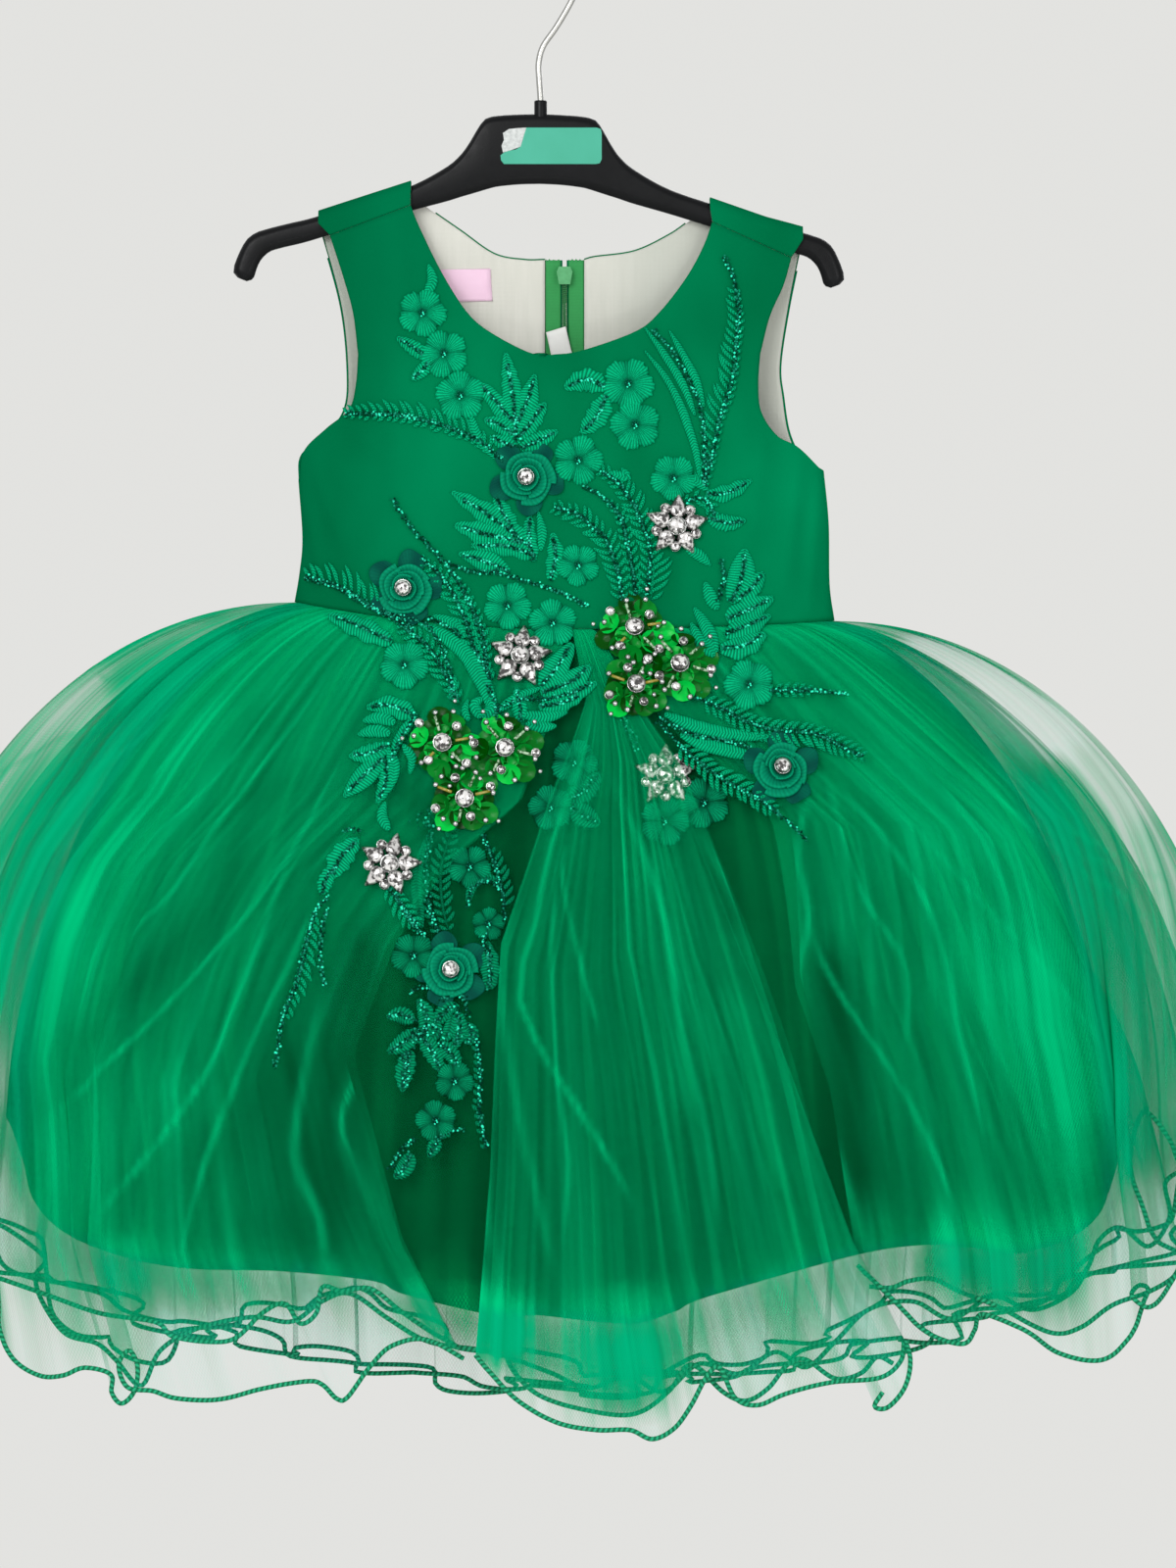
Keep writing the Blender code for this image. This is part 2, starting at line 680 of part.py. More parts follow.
def smooth_front(x, z):
    """The front without its folds: the bodice, and below the waist the outer tulle."""
    s = min(max((x - WAIST_X) / LAYERS["tulle"]["half"], -1), 1)
    q = waist_z(s) - z
    if q <= 0:
        return -body_depth(x, z, False) - SEAM
    layer = LAYERS["tulle"]
    for _ in range(3):
        s = min(max((x - WAIST_X) / (layer["half"] + layer["reach"] * bell(q)), -1), 1)
        q = max(waist_z(s) - z, 0.0)
    return skirt_at(layer, s, q).y


def smooth_net(x, z):
    """The net under the parted tulle, without its folds."""
    layer = LAYERS["net"]
    s, q = 0.0, WAIST_MIDDLE_Z - z
    for _ in range(4):
        s = min(max((x - WAIST_X) / (layer["half"] + layer["reach"] * bell(q)), -1), 1)
        q = max(waist_z(s) - layer["low"] - z, 0.0)
    return skirt_at(layer, s, q).y


class Ground:
    """The face that ornaments are sewn on: a smooth form, raised to clear the folds of the cloth."""

    REACH = 0.005

    def __init__(self, form, skins):
        self.form = form
        points, faces = [], []
        for skin in skins:
            start = len(points)
            points += skin.points
            faces += [[start + i for i in face] for face in skin.faces]
        self.tree = BVHTree.FromPolygons(points, faces)

    def normal(self, x, z):
        step = 0.003
        dx = (self.form(x + step, z) - self.form(x - step, z)) / (2 * step)
        dz = (self.form(x, z + step) - self.form(x, z - step)) / (2 * step)
        return Vector((min(max(dx, -0.6), 0.6), -1.0, min(max(dz, -0.6), 0.6))).normalized()

    def point(self, x, z, height):
        """A point at a height above the face."""
        raised = 0.0
        for dx in (-self.REACH, 0.0, self.REACH):
            for dz in (-self.REACH, 0.0, self.REACH):
                hit = self.tree.ray_cast(Vector((x + dx, -1.0, z + dz)), Vector((0, 1, 0)))[0]
                if hit is not None:
                    raised = max(raised, self.form(x + dx, z + dz) - hit.y)
        normal = self.normal(x, z)
        return Vector((x, self.form(x, z), z)) + normal * (height - raised * normal.y)


EDGE_HEIGHT = 0.0009

# How far an ornament's back stands off the face it is sewn on
SEAT = 3 * GAP
SEAT_CLOSE = 0.5 * GAP
SEAT_FAR = 4 * GAP


def flower(u, v, r, turn=0.0):
    """Five petals round a centre: outline, and raised points inside."""
    outline = []
    for k in range(10):
        size = r * (0.80, 1.04)[k % 2]
        a = math.radians(36 * k + turn)
        outline.append((u + size * math.cos(a), v + size * math.sin(a)))
    inside = [((u, v), 0.0013)]
    for k in range(5):
        a = math.radians(72 * k + 36 + turn)
        inside.append(((u + 0.6 * r * math.cos(a), v + 0.6 * r * math.sin(a)), 0.0021))
    return outline, inside


def blade(points, width, steps=4):
    """A leaf along a curve, pointed at both ends."""
    path = smooth_curve(points, steps)
    left, right, inside = [], [], []
    for k in range(1, steps):
        (a, b), (c, d) = path[k - 1], path[k + 1]
        size = math.hypot(c - a, d - b)
        nx, ny = -(d - b) / size, (c - a) / size
        w = width / 2 * math.sin(math.pi * (k / steps) ** 0.8)
        x, y = path[k]
        left.append((x + nx * w, y + ny * w))
        right.append((x - nx * w, y - ny * w))
        if k == steps // 2:
            inside.append(((x, y), 0.0017))
    return [path[0], *left, path[-1], *reversed(right)], inside


def fern(points, width, pairs):
    """Leaflets in pairs along a stem, each pointing on towards the tip."""
    path = smooth_curve(points, 2 * pairs + 1)
    left, right, inside = [], [], []
    for k in range(1, 2 * pairs + 1):
        (a, b), (c, d) = path[k - 1], path[k + 1]
        size = math.hypot(c - a, d - b)
        tx, ty = (c - a) / size, (d - b) / size
        full = math.sin(math.pi * (0.15 + 0.8 * k / (2 * pairs + 1))) ** 0.5
        w = width / 2 * (full if k % 2 else 0.3)
        x, y = path[k]
        ahead = 0.35 * width * (k % 2)
        left.append((x - ty * w + tx * ahead, y + tx * w + ty * ahead))
        right.append((x + ty * w + tx * ahead, y - tx * w + ty * ahead))
        if k % 2 == 0:
            inside.append(((x, y), 0.0016))
    return [path[0], *left, path[-1], *reversed(right)], inside


def fan(u, v, reach, angles, width):
    """Leaves that spread from one base."""
    made = []
    for a, share in angles:
        r = math.radians(a)
        tip = (u + reach * share * math.cos(r), v - reach * share * math.sin(r))
        base = (u - 3 * math.cos(r), v + 3 * math.sin(r))
        made.append(blade((base, ((base[0] + tip[0]) / 2, (base[1] + tip[1]) / 2), tip), width, 3))
    return made


def inside_of(polygon, x, y):
    hit = False
    for (a, b), (c, d) in zip(polygon, polygon[1:] + polygon[:1]):
        if (b > y) != (d > y) and x < (c - a) * (y - b) / (d - b) + a:
            hit = not hit
    return hit


def disc(u, v, r, count=12):
    turns = [2 * math.pi * k / count for k in range(count)]
    return [(u + r * math.cos(a), v + r * math.sin(a)) for a in turns]


def applique(names, motifs, surface, keep_out):
    """Sews the motifs on a face. Those that touch become one piece, raised over a plain back.

    Each piece takes the next name of the list, in the order in which its first motif stands."""
    verts, heights, faces = [], [], []
    for outline, inside in motifs:
        start = len(verts)
        verts += [Vector(p) for p in outline]
        heights += [EDGE_HEIGHT] * len(outline)
        faces.append(list(range(start, len(verts))))
        verts += [Vector(p) for p, _ in inside]
        heights += [h for _, h in inside]
    holes = [disc(u, v, r + 1.2) for u, v, r in keep_out]
    for hole in holes:
        start = len(verts)
        verts += [Vector(p) for p in hole]
        heights += [EDGE_HEIGHT] * len(hole)
        faces.append(list(range(start, len(verts))))
    out_verts, _, tris, origin, _, owner = delaunay_2d_cdt(verts, [], faces, 1, 0.05)
    outlines = [m[0] for m in motifs]
    kept = []
    for tri, own in zip(tris, owner):
        cx = sum(out_verts[i].x for i in tri) / 3
        cy = sum(out_verts[i].y for i in tri) / 3
        if any(inside_of(hole, cx, cy) for hole in holes):
            continue
        first = [k for k in range(len(outlines)) if inside_of(outlines[k], cx, cy)]
        if first:
            kept.append((tri, first[0]))
    group = list(range(len(kept)))
    by_edge = {}
    for k, (tri, _) in enumerate(kept):
        for a, b in zip(tri, (*tri[1:], tri[0])):
            by_edge.setdefault(frozenset((a, b)), []).append(k)

    def root(k):
        while group[k] != k:
            k = group[k]
        return k

    for shared in by_edge.values():
        if len(shared) == 2:
            group[root(shared[0])] = root(shared[1])
    pieces = {}
    for k, (tri, first) in enumerate(kept):
        pieces.setdefault(root(k), []).append((tri, first))
    ordered = sorted(pieces.values(), key=lambda piece: min(first for _, first in piece))
    ordered = [piece for piece in ordered if len(piece) > 6]
    for name, piece in zip(names, ordered, strict=True):
        sew(name, [tri for tri, _ in piece], out_verts, origin, heights, surface)


def sew(name, tris, places, origin, heights, surface):
    """One piece of embroidery: its raised face, its plain back and its edge."""
    bm = bmesh.new()
    top, low = {}, {}
    for i in sorted({i for tri in tris for i in tri}):
        x, z = on_sheet(*places[i])
        rise = max((heights[k] for k in origin[i]), default=EDGE_HEIGHT)
        top[i] = bm.verts.new(surface.point(x, z, GAP + rise))
        low[i] = bm.verts.new(surface.point(x, z, GAP))
    edges = set()
    for tri in tris:
        a, b, c = (places[i] for i in tri)
        if (b - a).cross(c - a) > 0:
            tri = tri[::-1]
        bm.faces.new([top[i] for i in tri])
        bm.faces.new([low[i] for i in reversed(tri)])
        edges |= {(p, q) for p, q in zip(tri, (*tri[1:], tri[0]))}
    for a, b in edges:
        if (b, a) not in edges:
            bm.faces.new([top[b], top[a], low[a], low[b]])
    return place(name, bm, "embroidery", smooth=False)


def tiered(name, u, v, surface, rings, key, step, tilt=0.0, start=SEAT):
    """A sewn-on ornament built up in rings: each is (outline radius by angle, height)."""
    x, z = on_sheet(u, v)
    made = []
    for radius_at, height in rings:
        ring = []
        for a in range(0, 360, step):
            r = radius_at(a) * SHEET
            turn = math.radians(a + tilt)
            co = (x + r * math.cos(turn), z + r * math.sin(turn))
            ring.append(surface.point(*co, start + height))
        made.append(ring)
    return loft(name, made, key, smooth=False)


def lobes(radius, depth, count, shift=0):
    return lambda a: radius * (1 - depth * (0.5 - 0.5 * math.cos(math.radians(count * (a + shift)))))


def rose(name, u, v, surface, r=28):
    """A cloth rose: a wide under-petal layer, two rings of petals and a set stone."""
    rings = (
        (lobes(r, 0.16, 5), 0.0),
        (lobes(r, 0.16, 5), 0.0014),
        (lobes(r * 0.78, 0.10, 5, 36), 0.0036),
        (lobes(r * 0.50, 0.06, 5), 0.0040),
        (lobes(r * 0.42, 0.10, 5), 0.0058),
        (lobes(r * 0.18, 0.0, 5), 0.0068),
    )
    return tiered(name, u, v, surface, rings, "rose", 24)


def star(name, u, v, surface, tilt, seat, r=32, points=5):
    """A star brooch: drop-shaped stones round a set one, with small ones between."""
    rings = (
        (lobes(r, 0.48, points), 0.0),
        (lobes(r * 0.98, 0.48, points), 0.0016),
        (lobes(r * 0.66, 0.30, points), 0.0038),
        (lobes(r * 0.34, 0.0, points), 0.0030),
        (lobes(r * 0.26, 0.0, points), 0.0050),
    )
    return tiered(name, u, v, surface, rings, "crystal", 36, tilt, seat)


def cluster(name, blooms, surface, seat):
    """Bead flowers side by side: overlapping discs, raised to a stone in the middle of each."""
    parts = []
    for number, (u, v, r) in enumerate(blooms):
        rings = (
            (lobes(r, 0.14, 5, 12 * number), 0.0),
            (lobes(r, 0.14, 5, 12 * number), 0.0020),
            (lobes(r * 0.72, 0.10, 5, 12 * number), 0.0044),
            (lobes(r * 0.30, 0.0, 5), 0.0076),
        )
        start = seat + 0.0002 * number
        parts.append(tiered(f"{name}_{number}", u, v, surface, rings, "beads", 36, start=start))
    whole = combine(parts[0], parts[1:], "UNION")
    whole.name = name
    whole.data.name = name
    return whole


# Embroidery on the bodice and the tulle below it
FRONT_MOTIFS = [
    flower(431, 320, 26, 6),
    flower(453, 361, 26, 30),
    flower(470, 403, 26, 50),
    blade(((433, 303), (440, 288), (437, 268)), 9, 3),
    blade(((440, 366), (420, 352), (405, 345)), 11, 3),
    fern(((508, 464), (450, 436), (400, 420), (352, 416)), 21, 4),
    blade(((474, 415), (492, 440), (512, 470)), 10, 3),
    *fan(505, 452, 92, ((93, 0.98), (66, 0.85), (40, 0.95)), 22),
    flower(640, 393, 27, 10),
    flower(648, 434, 26, 40),
    blade(((622, 394), (600, 390), (578, 394)), 16, 3),
    fern(((716, 500), (742, 430), (750, 360), (748, 300), (740, 262)), 22, 5),
    blade(((714, 505), (712, 450), (694, 390), (662, 350)), 13, 4),
    flower(687, 488, 25, 20),
    blade(((700, 486), (710, 490), (720, 496)), 10, 3),
    *fan(722, 520, 62, ((75, 0.8), (40, 0.9), (5, 0.8)), 16),
    flower(589, 470, 24, 0),
    fern(((600, 482), (632, 510), (655, 560), (660, 612)), 22, 3),
    fern(((583, 488), (600, 530), (625, 570), (634, 606)), 20, 3),
    flower(591, 574, 26, 24),
    *fan(568, 580, 112, ((118, 0.80), (140, 0.86), (160, 0.95), (178, 0.8)), 20),
    flower(523, 620, 27, 12),
    flower(560, 637, 26, 48),
    fern(((400, 510), (430, 550), (470, 600), (512, 640)), 20, 4),
    fern(((324, 581), (352, 592), (400, 620), (434, 652), (462, 722)), 20, 4),
    blade(((434, 640), (470, 655), (502, 706)), 20, 3),
    fern(((337, 631), (368, 640), (412, 668)), 18, 2),
    flower(416, 681, 26, 15),
    *fan(712, 655, 92, ((100, 0.85), (72, 0.98), (45, 0.95), (15, 0.75)), 22),
    *fan(545, 742, 84, ((108, 0.95), (80, 0.95), (50, 0.85)), 22),
    blade(((416, 700), (404, 708), (388, 726)), 12, 3),
    *fan(388, 724, 92, ((205, 0.42), (235, 0.6), (262, 0.85), (290, 0.55)), 20),
    flower(764, 699, 25, 33),
    fern(((772, 704), (820, 704), (862, 709)), 13, 2),
    fern(((700, 712), (760, 728), (820, 738), (882, 768)), 22, 4),
    blade(((692, 734), (735, 740), (805, 745)), 12, 3),
    fern(((702, 742), (750, 786), (790, 815), (822, 856)), 16, 4),
    fern(((374, 905), (345, 920), (318, 985), (300, 1040), (282, 1088)), 14, 4),
]
FRONT_NAMES = (
    "applique_left_strap",
    "applique_left_chest",
    "applique_neck",
    "applique_right_strap",
    "applique_chest",
    "applique_waist",
    "applique_side_leaf",
    "applique_left_waist",
    "applique_right_waist",
    "applique_middle_fan",
    "applique_right_spray",
    "applique_right_fern",
    "applique_left_trail",
)

# Embroidery on the net, in the gap between the panels of tulle
NET_MOTIFS = [
    flower(584, 783, 25, 8),
    flower(563, 822, 25, 40),
    flower(682, 842, 25, 0),
    flower(724, 824, 25, 30),
    flower(480, 884, 23, 12),
    fern(((458, 858), (464, 900), (462, 945)), 22, 2),
    fern(((500, 868), (514, 900), (513, 940), (497, 992)), 18, 4),
    flower(424, 971, 24, 20),
    blade(((430, 858), (428, 900), (434, 958)), 12, 3),
    *fan(440, 1092, 92, ((125, 0.92), (98, 0.9), (70, 0.85), (42, 0.65)), 22),
    flower(467, 1104, 23, 10),
    flower(447, 1143, 24, 44),
    fern(((474, 1060), (488, 1090), (492, 1130), (498, 1168)), 12, 3),
    blade(((440, 1158), (418, 1170), (400, 1198)), 14, 3),
]
NET_NAMES = (
    "applique_under_tulle_left",
    "applique_under_tulle_middle",
    "applique_under_tulle_right",
    "applique_gap_top",
    "applique_gap_middle",
    "applique_gap_bottom",
)

ROSES_FRONT = ((537, 487), (413, 600), (796, 785))
ROSE_NET = (461, 989)
STARS_FRONT = ((689, 537, 18, SEAT), (531, 671, 0, SEAT), (398, 881, 24, SEAT_CLOSE))
STAR_NET = (679, 792, 0, SEAT)
CLUSTER_A = ((647, 643, 34), (694, 682, 34), (648, 702, 30))
CLUSTER_B = ((453, 762, 35), (516, 768, 34), (474, 816, 33))
ROSE_SIZE = 28
STAR_SIZE = 32


def ornaments(front_surface, net_surface):
    """Everything that is sewn on the front."""
    solid_front = [(u, v, ROSE_SIZE) for u, v in ROSES_FRONT]
    solid_front += [(u, v, STAR_SIZE) for u, v, _, _ in STARS_FRONT]
    solid_front += [*CLUSTER_A, *CLUSTER_B]
    solid_net = [(*ROSE_NET, ROSE_SIZE), (STAR_NET[0], STAR_NET[1], STAR_SIZE)]
    applique(FRONT_NAMES, FRONT_MOTIFS, front_surface, solid_front)
    applique(NET_NAMES, NET_MOTIFS, net_surface, solid_net)
    for k, (u, v) in enumerate(ROSES_FRONT):
        rose(f"rose_{k + 1}", u, v, front_surface, ROSE_SIZE)
    rose("rose_4", *ROSE_NET, net_surface, ROSE_SIZE)
    for k, (u, v, tilt, seat) in enumerate(STARS_FRONT):
        star(f"star_brooch_{k + 1}", u, v, front_surface, tilt, seat, STAR_SIZE)
    u, v, tilt, seat = STAR_NET
    star("star_brooch_4", u, v, net_surface, tilt, seat, STAR_SIZE)
    cluster("bead_cluster_right", CLUSTER_A, front_surface, SEAT_FAR)
    cluster("bead_cluster_left", CLUSTER_B, front_surface, SEAT_CLOSE)


# Half of the hanger: top edge across and down, bottom edge across and down, in metres from its middle top
HANGER_SECTIONS = (
    (0.0, 0.0, 0.0, 0.0372),
    (0.024, 0.0014, 0.022, 0.0388),
    (0.0305, 0.004, 0.027, 0.040),
    (0.0385, 0.017, 0.036, 0.0428),
    (0.0435, 0.0235, 0.042, 0.0446),
    (0.051, 0.0296, 0.050, 0.0472),
    (0.069, 0.0393, 0.071, 0.0530),
    (0.095, 0.0480, 0.0975, 0.0610),
    (0.120, 0.0564, 0.123, 0.0692),
    (0.133, 0.0597, 0.137, 0.0728),
    (0.144, 0.0626, 0.1435, 0.0750),
    (0.152, 0.0655, 0.148, 0.0793),
    (0.1575, 0.0713, 0.1502, 0.0840),
    (0.1627, 0.0845, 0.1520, 0.0893),
    (0.1604, 0.0889, 0.1555, 0.0908),
)


def hanger():
    """A moulded bar with a flat front, a rounded top and a bevelled ledge underneath."""
    top_x, top_z = on_sheet(*HANGER_TOP)
    turn = Matrix.Rotation(-HANGER_TILT, 4, "Y")
    middle = Vector((top_x, 0.0, top_z))
    rings = []
    for sign in (-1, 1):
        sections = HANGER_SECTIONS[::-1] if sign < 0 else HANGER_SECTIONS[1:]
        for tx, tz, bx, bz in sections:
            top = Vector((sign * tx, 0.0, -tz))
            low = Vector((sign * bx, 0.0, -bz))
            tall = (top - low).length
            up = (top - low) / tall
            cap = min(BAR_HALF, tall * 0.45)
            slim = min(1.0, tall / 0.0085)
            half = BAR_HALF * (0.35 + 0.65 * slim)
            ledge = min(BAR_LEDGE, tall * 0.35)
            ring = []
            for y, rise in (
                (-half, ledge),
                (-half, tall - cap),
                (-half * 0.7071, tall - cap * 0.2929),
                (0.0, tall),
                (half * 0.7071, tall - cap * 0.2929),
                (half, tall - cap),
                (half, ledge),
                (half - BAR_BEVEL * slim, 0.0),
                (-half + BAR_BEVEL * slim, 0.0),
            ):
                p = low + up * rise + Vector((0.0, y, 0.0))
                ring.append(turn @ p + middle)
            rings.append(ring)
    body = loft("hanger", rings, "hanger")
    collar_low = top_z - 0.004
    collar = round_bar("collar", (top_x, 0.0, collar_low), COLLAR_RADIUS, COLLAR_HEIGHT + 0.004, 16)
    combine(body, [collar], "UNION")
    bore = round_bar("bore", (top_x, 0.0, top_z), WIRE_RADIUS + GAP, COLLAR_HEIGHT + 0.01, 16)
    return combine(body, [bore], "DIFFERENCE")


def round_bar(name, foot, radius, height, sides):
    """An upright cylinder."""
    bm = bmesh.new()
    bmesh.ops.create_cone(
        bm, cap_ends=True, segments=sides, radius1=radius, radius2=radius, depth=height,
        matrix=Matrix.Translation(Vector(foot) + Vector((0, 0, height / 2))),
    )
    return place(name, bm, "hanger")


def hook():
    """The wire: up out of the collar, out to the right and round over the rail."""
    top_x, top_z = on_sheet(*HANGER_TOP)
    foot = top_z + 0.0008
    bend = [(top_x, foot), (top_x, top_z + COLLAR_HEIGHT)]
    for u, v in ((550, 78), (549.5, 62), (554, 45), (567, 26), (579, 6)):
        bend.append(on_sheet(u, v))
    centre_z = -(HOOK_RADIUS - WIRE_RADIUS)
    for a in range(-30, 200, 15):
        r = math.radians(a)
        bend.append((HOOK_RADIUS * math.cos(r), centre_z + HOOK_RADIUS * math.sin(r)))
    path = smooth_curve(bend, 26)
    return tube("hook", [(x, 0.0, z) for x, z in path], WIRE_RADIUS, 6, "steel")


STICKER_OUTLINE = (
    (614, 131), (614, 163), (611, 165.8), (512, 165.8), (510.5, 158),
    (520, 152), (531, 148), (534, 138), (537, 128.5), (611, 128.5),
)


def sticker():
    """A bare size sticker with one torn corner."""
    face = -BAR_HALF - GAP
    rings = []
    for y in (face, face - 0.0006):
        rings.append([(x, y, z) for x, z in (on_sheet(u, v) for u, v in STICKER_OUTLINE)])
    return loft("size_sticker", rings, "mint", smooth=False)


def label(name, corners, depth, key):
    """A small piece of tape that lies inside the back, given by its corners on the sheet."""
    (a, b, c, d) = corners
    rows, columns = 3, 2
    grid = []
    for j in range(rows + 1):
        t = j / rows
        row = []
        for i in range(columns + 1):
            w = i / columns
            u = mix(mix(a[0], b[0], w), mix(d[0], c[0], w), t)
            v = mix(mix(a[1], b[1], w), mix(d[1], c[1], w), t)
            row.append(back_point(u, v))
        grid.append(row)
    return straight_wall(name, grid, depth, depth + LABEL, key)


def straight_wall(name, grid, out, inn, key):
    """A wall inside the back whose thickness runs straight to the front."""
    skin = Skin()
    skin.grid(grid, flip=True)
    for k in range(len(skin.points)):
        skin.fixed[k] = lambda n: Vector((0.0, n.y, 0.0))
    return skin.wall(name, out, inn, key)


SLIDER_V = 279


def zip_parts():
    """Two tapes with the coil between them, the slider and its pull tab."""
    above = 0.0004
    for side, a, b in (("left", -TAPE_HALF, -TAPE_INNER), ("right", TAPE_INNER, TAPE_HALF)):
        rows = zip_strip(a, b)
        rows[0] = [(x, y, z + above) for x, y, z in rows[0]]
        straight_wall(f"zip_tape_{side}", rows, LINING_OUT, LINING_IN, "zip")
    rows = zip_strip(-COIL_HALF, COIL_HALF)
    rows[0] = [(x, y, z + above) for x, y, z in rows[0]]
    top = SLIDER_V + 2
    rows[-1] = [back_point(sheet_of(ZIP_X + side * COIL_HALF, 0)[0], top) for side in (-1, 1)]
    straight_wall("zip_coil", rows, LINING_OUT, LINING_OUT + COIL_DEPTH, "zip")
    slider()


def box(name, low, high):
    """A small block of the slider."""
    bm = bmesh.new()
    low, high = Vector(low), Vector(high)
    bmesh.ops.create_cube(bm, size=1.0, matrix=Matrix.LocRotScale((low + high) / 2, None, high - low))
    return place(name, bm, "slider", smooth=False)


SLIDER_OUTLINE = (
    (-0.0030, 0.0047), (0.0030, 0.0047), (0.0042, 0.0020),
    (0.0030, -0.0047), (-0.0030, -0.0047), (-0.0042, 0.0020),
)
PLATE = 0.0016
NECK_HALF = 0.0007
FRONT_HALF = 0.0030
FRONT_PLATE = 0.0012
LUG_X = 0.0024
LUG_HALF = 0.0005
PIN_RADIUS = 0.0006
PIN_OUT = 0.0020
PIN_UP = 0.0012


def slider():
    """Plate inside, neck through the slot, plate and bar outside, and the tab on the bar."""
    middle = sheet_of(ZIP_X, 0)[0]
    x, z = on_sheet(middle, SLIDER_V)
    skin = back_point(middle, SLIDER_V)[1]
    inside = skin - LINING_OUT - COIL_DEPTH - 2 * GAP
    outline = [(x + dx, z + dz) for dx, dz in SLIDER_OUTLINE]
    rings = [[(a, y, b) for a, b in outline] for y in (inside, inside - PLATE)]
    plate = loft("zip_slider", rings, "slider", smooth=False)
    low_y = skin + GAP + 0.0004
    high_y = low_y + FRONT_PLATE
    pin_y = high_y + PIN_OUT
    pin_z = z + PIN_UP
    blend = 0.0004
    neck = box(
        "neck", (x - NECK_HALF, inside - blend, z + 0.0020), (x + NECK_HALF, low_y + blend, z + 0.0040)
    )
    front = box("front", (x - FRONT_HALF, low_y, z - 0.0045), (x + FRONT_HALF, high_y, z + 0.0045))
    lugs = []
    for side in (-LUG_X, LUG_X):
        low = (x + side - LUG_HALF, high_y - blend, pin_z - 0.0010)
        high = (x + side + LUG_HALF, pin_y + 0.0009, pin_z + 0.0010)
        lugs.append(box("lug", low, high))
    pin = cross_bar("pin", (x, pin_y, pin_z), PIN_RADIUS, LUG_X + LUG_HALF / 2, 16)
    combine(plate, [neck, front, *lugs, pin], "UNION")
    pull_tab(x, pin_y, pin_z)


def cross_bar(name, middle, radius, half, sides):
    """A bar that lies from side to side."""
    made = round_bar(name, (0, 0, -half), radius, 2 * half, sides)
    made.data.transform(Matrix.Translation(middle) @ Matrix.Rotation(math.pi / 2, 4, "Y"))
    return made


def pull_tab(x, y, z):
    """A drop-shaped tab with an eye round the slider's bar. Its origin is on the bar."""
    eye, bore = 0.0017, PIN_RADIUS + 0.00008
    outline = [(-0.0012, 0.0), (-0.0012, -0.0030), (-0.0024, -0.0080), (-0.0027, -0.0125)]
    outline += [(-0.0016, -0.0155), (0.0016, -0.0155)]
    outline += [(-a, b) for a, b in reversed(outline[:4])]
    rings = [[(a, d, b) for a, b in outline] for d in (0.0004, 0.0014)]
    tab = loft("zip_pull", rings, "slider", smooth=False)
    combine(tab, [cross_bar("eye", (0, 0, 0), eye, 0.0016, 16)], "UNION")
    combine(tab, [cross_bar("cut", (0, 0, 0), bore, 0.0040, 16)], "DIFFERENCE")
    tab.location = (x, y, z)
    return tab


def labels():
    """A bare pink label under the neck and a bare white one beside the zip."""
    neck = ((446, 306), (502, 305), (500, 272), (444, 273))
    label("neck_label", neck, LINING_IN + GAP, "pink_tape")
    care = ((572, 404), (593, 398), (577, 331), (557, 337))
    label("care_label", care, LINING_OUT + COIL_DEPTH + GAP, "white_tape")


def main():
    for old in list(bpy.data.objects):
        bpy.data.objects.remove(old)
    origin = bpy.data.objects.new("dress_origin", None)
    bpy.context.scene.collection.objects.link(origin)

    front = front_bodice()
    front.wall("bodice_front", 0.0, CLOTH, "satin")
    front.wall("lining_front", LINING_OUT, LINING_IN, "lining")
    for side, right_side in (("left", False), ("right", True)):
        back_bodice(right_side, True).wall(f"bodice_back_{side}", 0.0, CLOTH, "satin")
        back_bodice(right_side, False).wall(f"lining_back_{side}", LINING_OUT, LINING_IN, "lining")
    zip_parts()
    labels()

    skirts = {}
    for name, layer, left, right, back, values in PANELS:
        skirts[name] = skirt_panel(name, layer, left, right, back, **values)
    outer = [skirts[name] for name in ("tulle_left", "tulle_middle", "tulle_right")]
    ornaments(Ground(smooth_front, (front, *outer)), Ground(smooth_net, (skirts["net_front"],)))
    hanger()
    hook()
    sticker()


main()
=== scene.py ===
# %% [markdown]
# # A princess dress on its hanger
# The dress is made of stiff and of very soft things: a satin bodice over a cream lining, three
# layers of skirt under each other, thread embroidery, sequins, set stones and a moulded hanger.
# The solids of the dress come in first. They say where each piece hangs, and the finished pieces
# are then made over them, one after another.

# %% Start from the solids
import math

import bmesh
import bpy
import numpy as np
from mathutils import Matrix, Vector
from mathutils.bvhtree import BVHTree


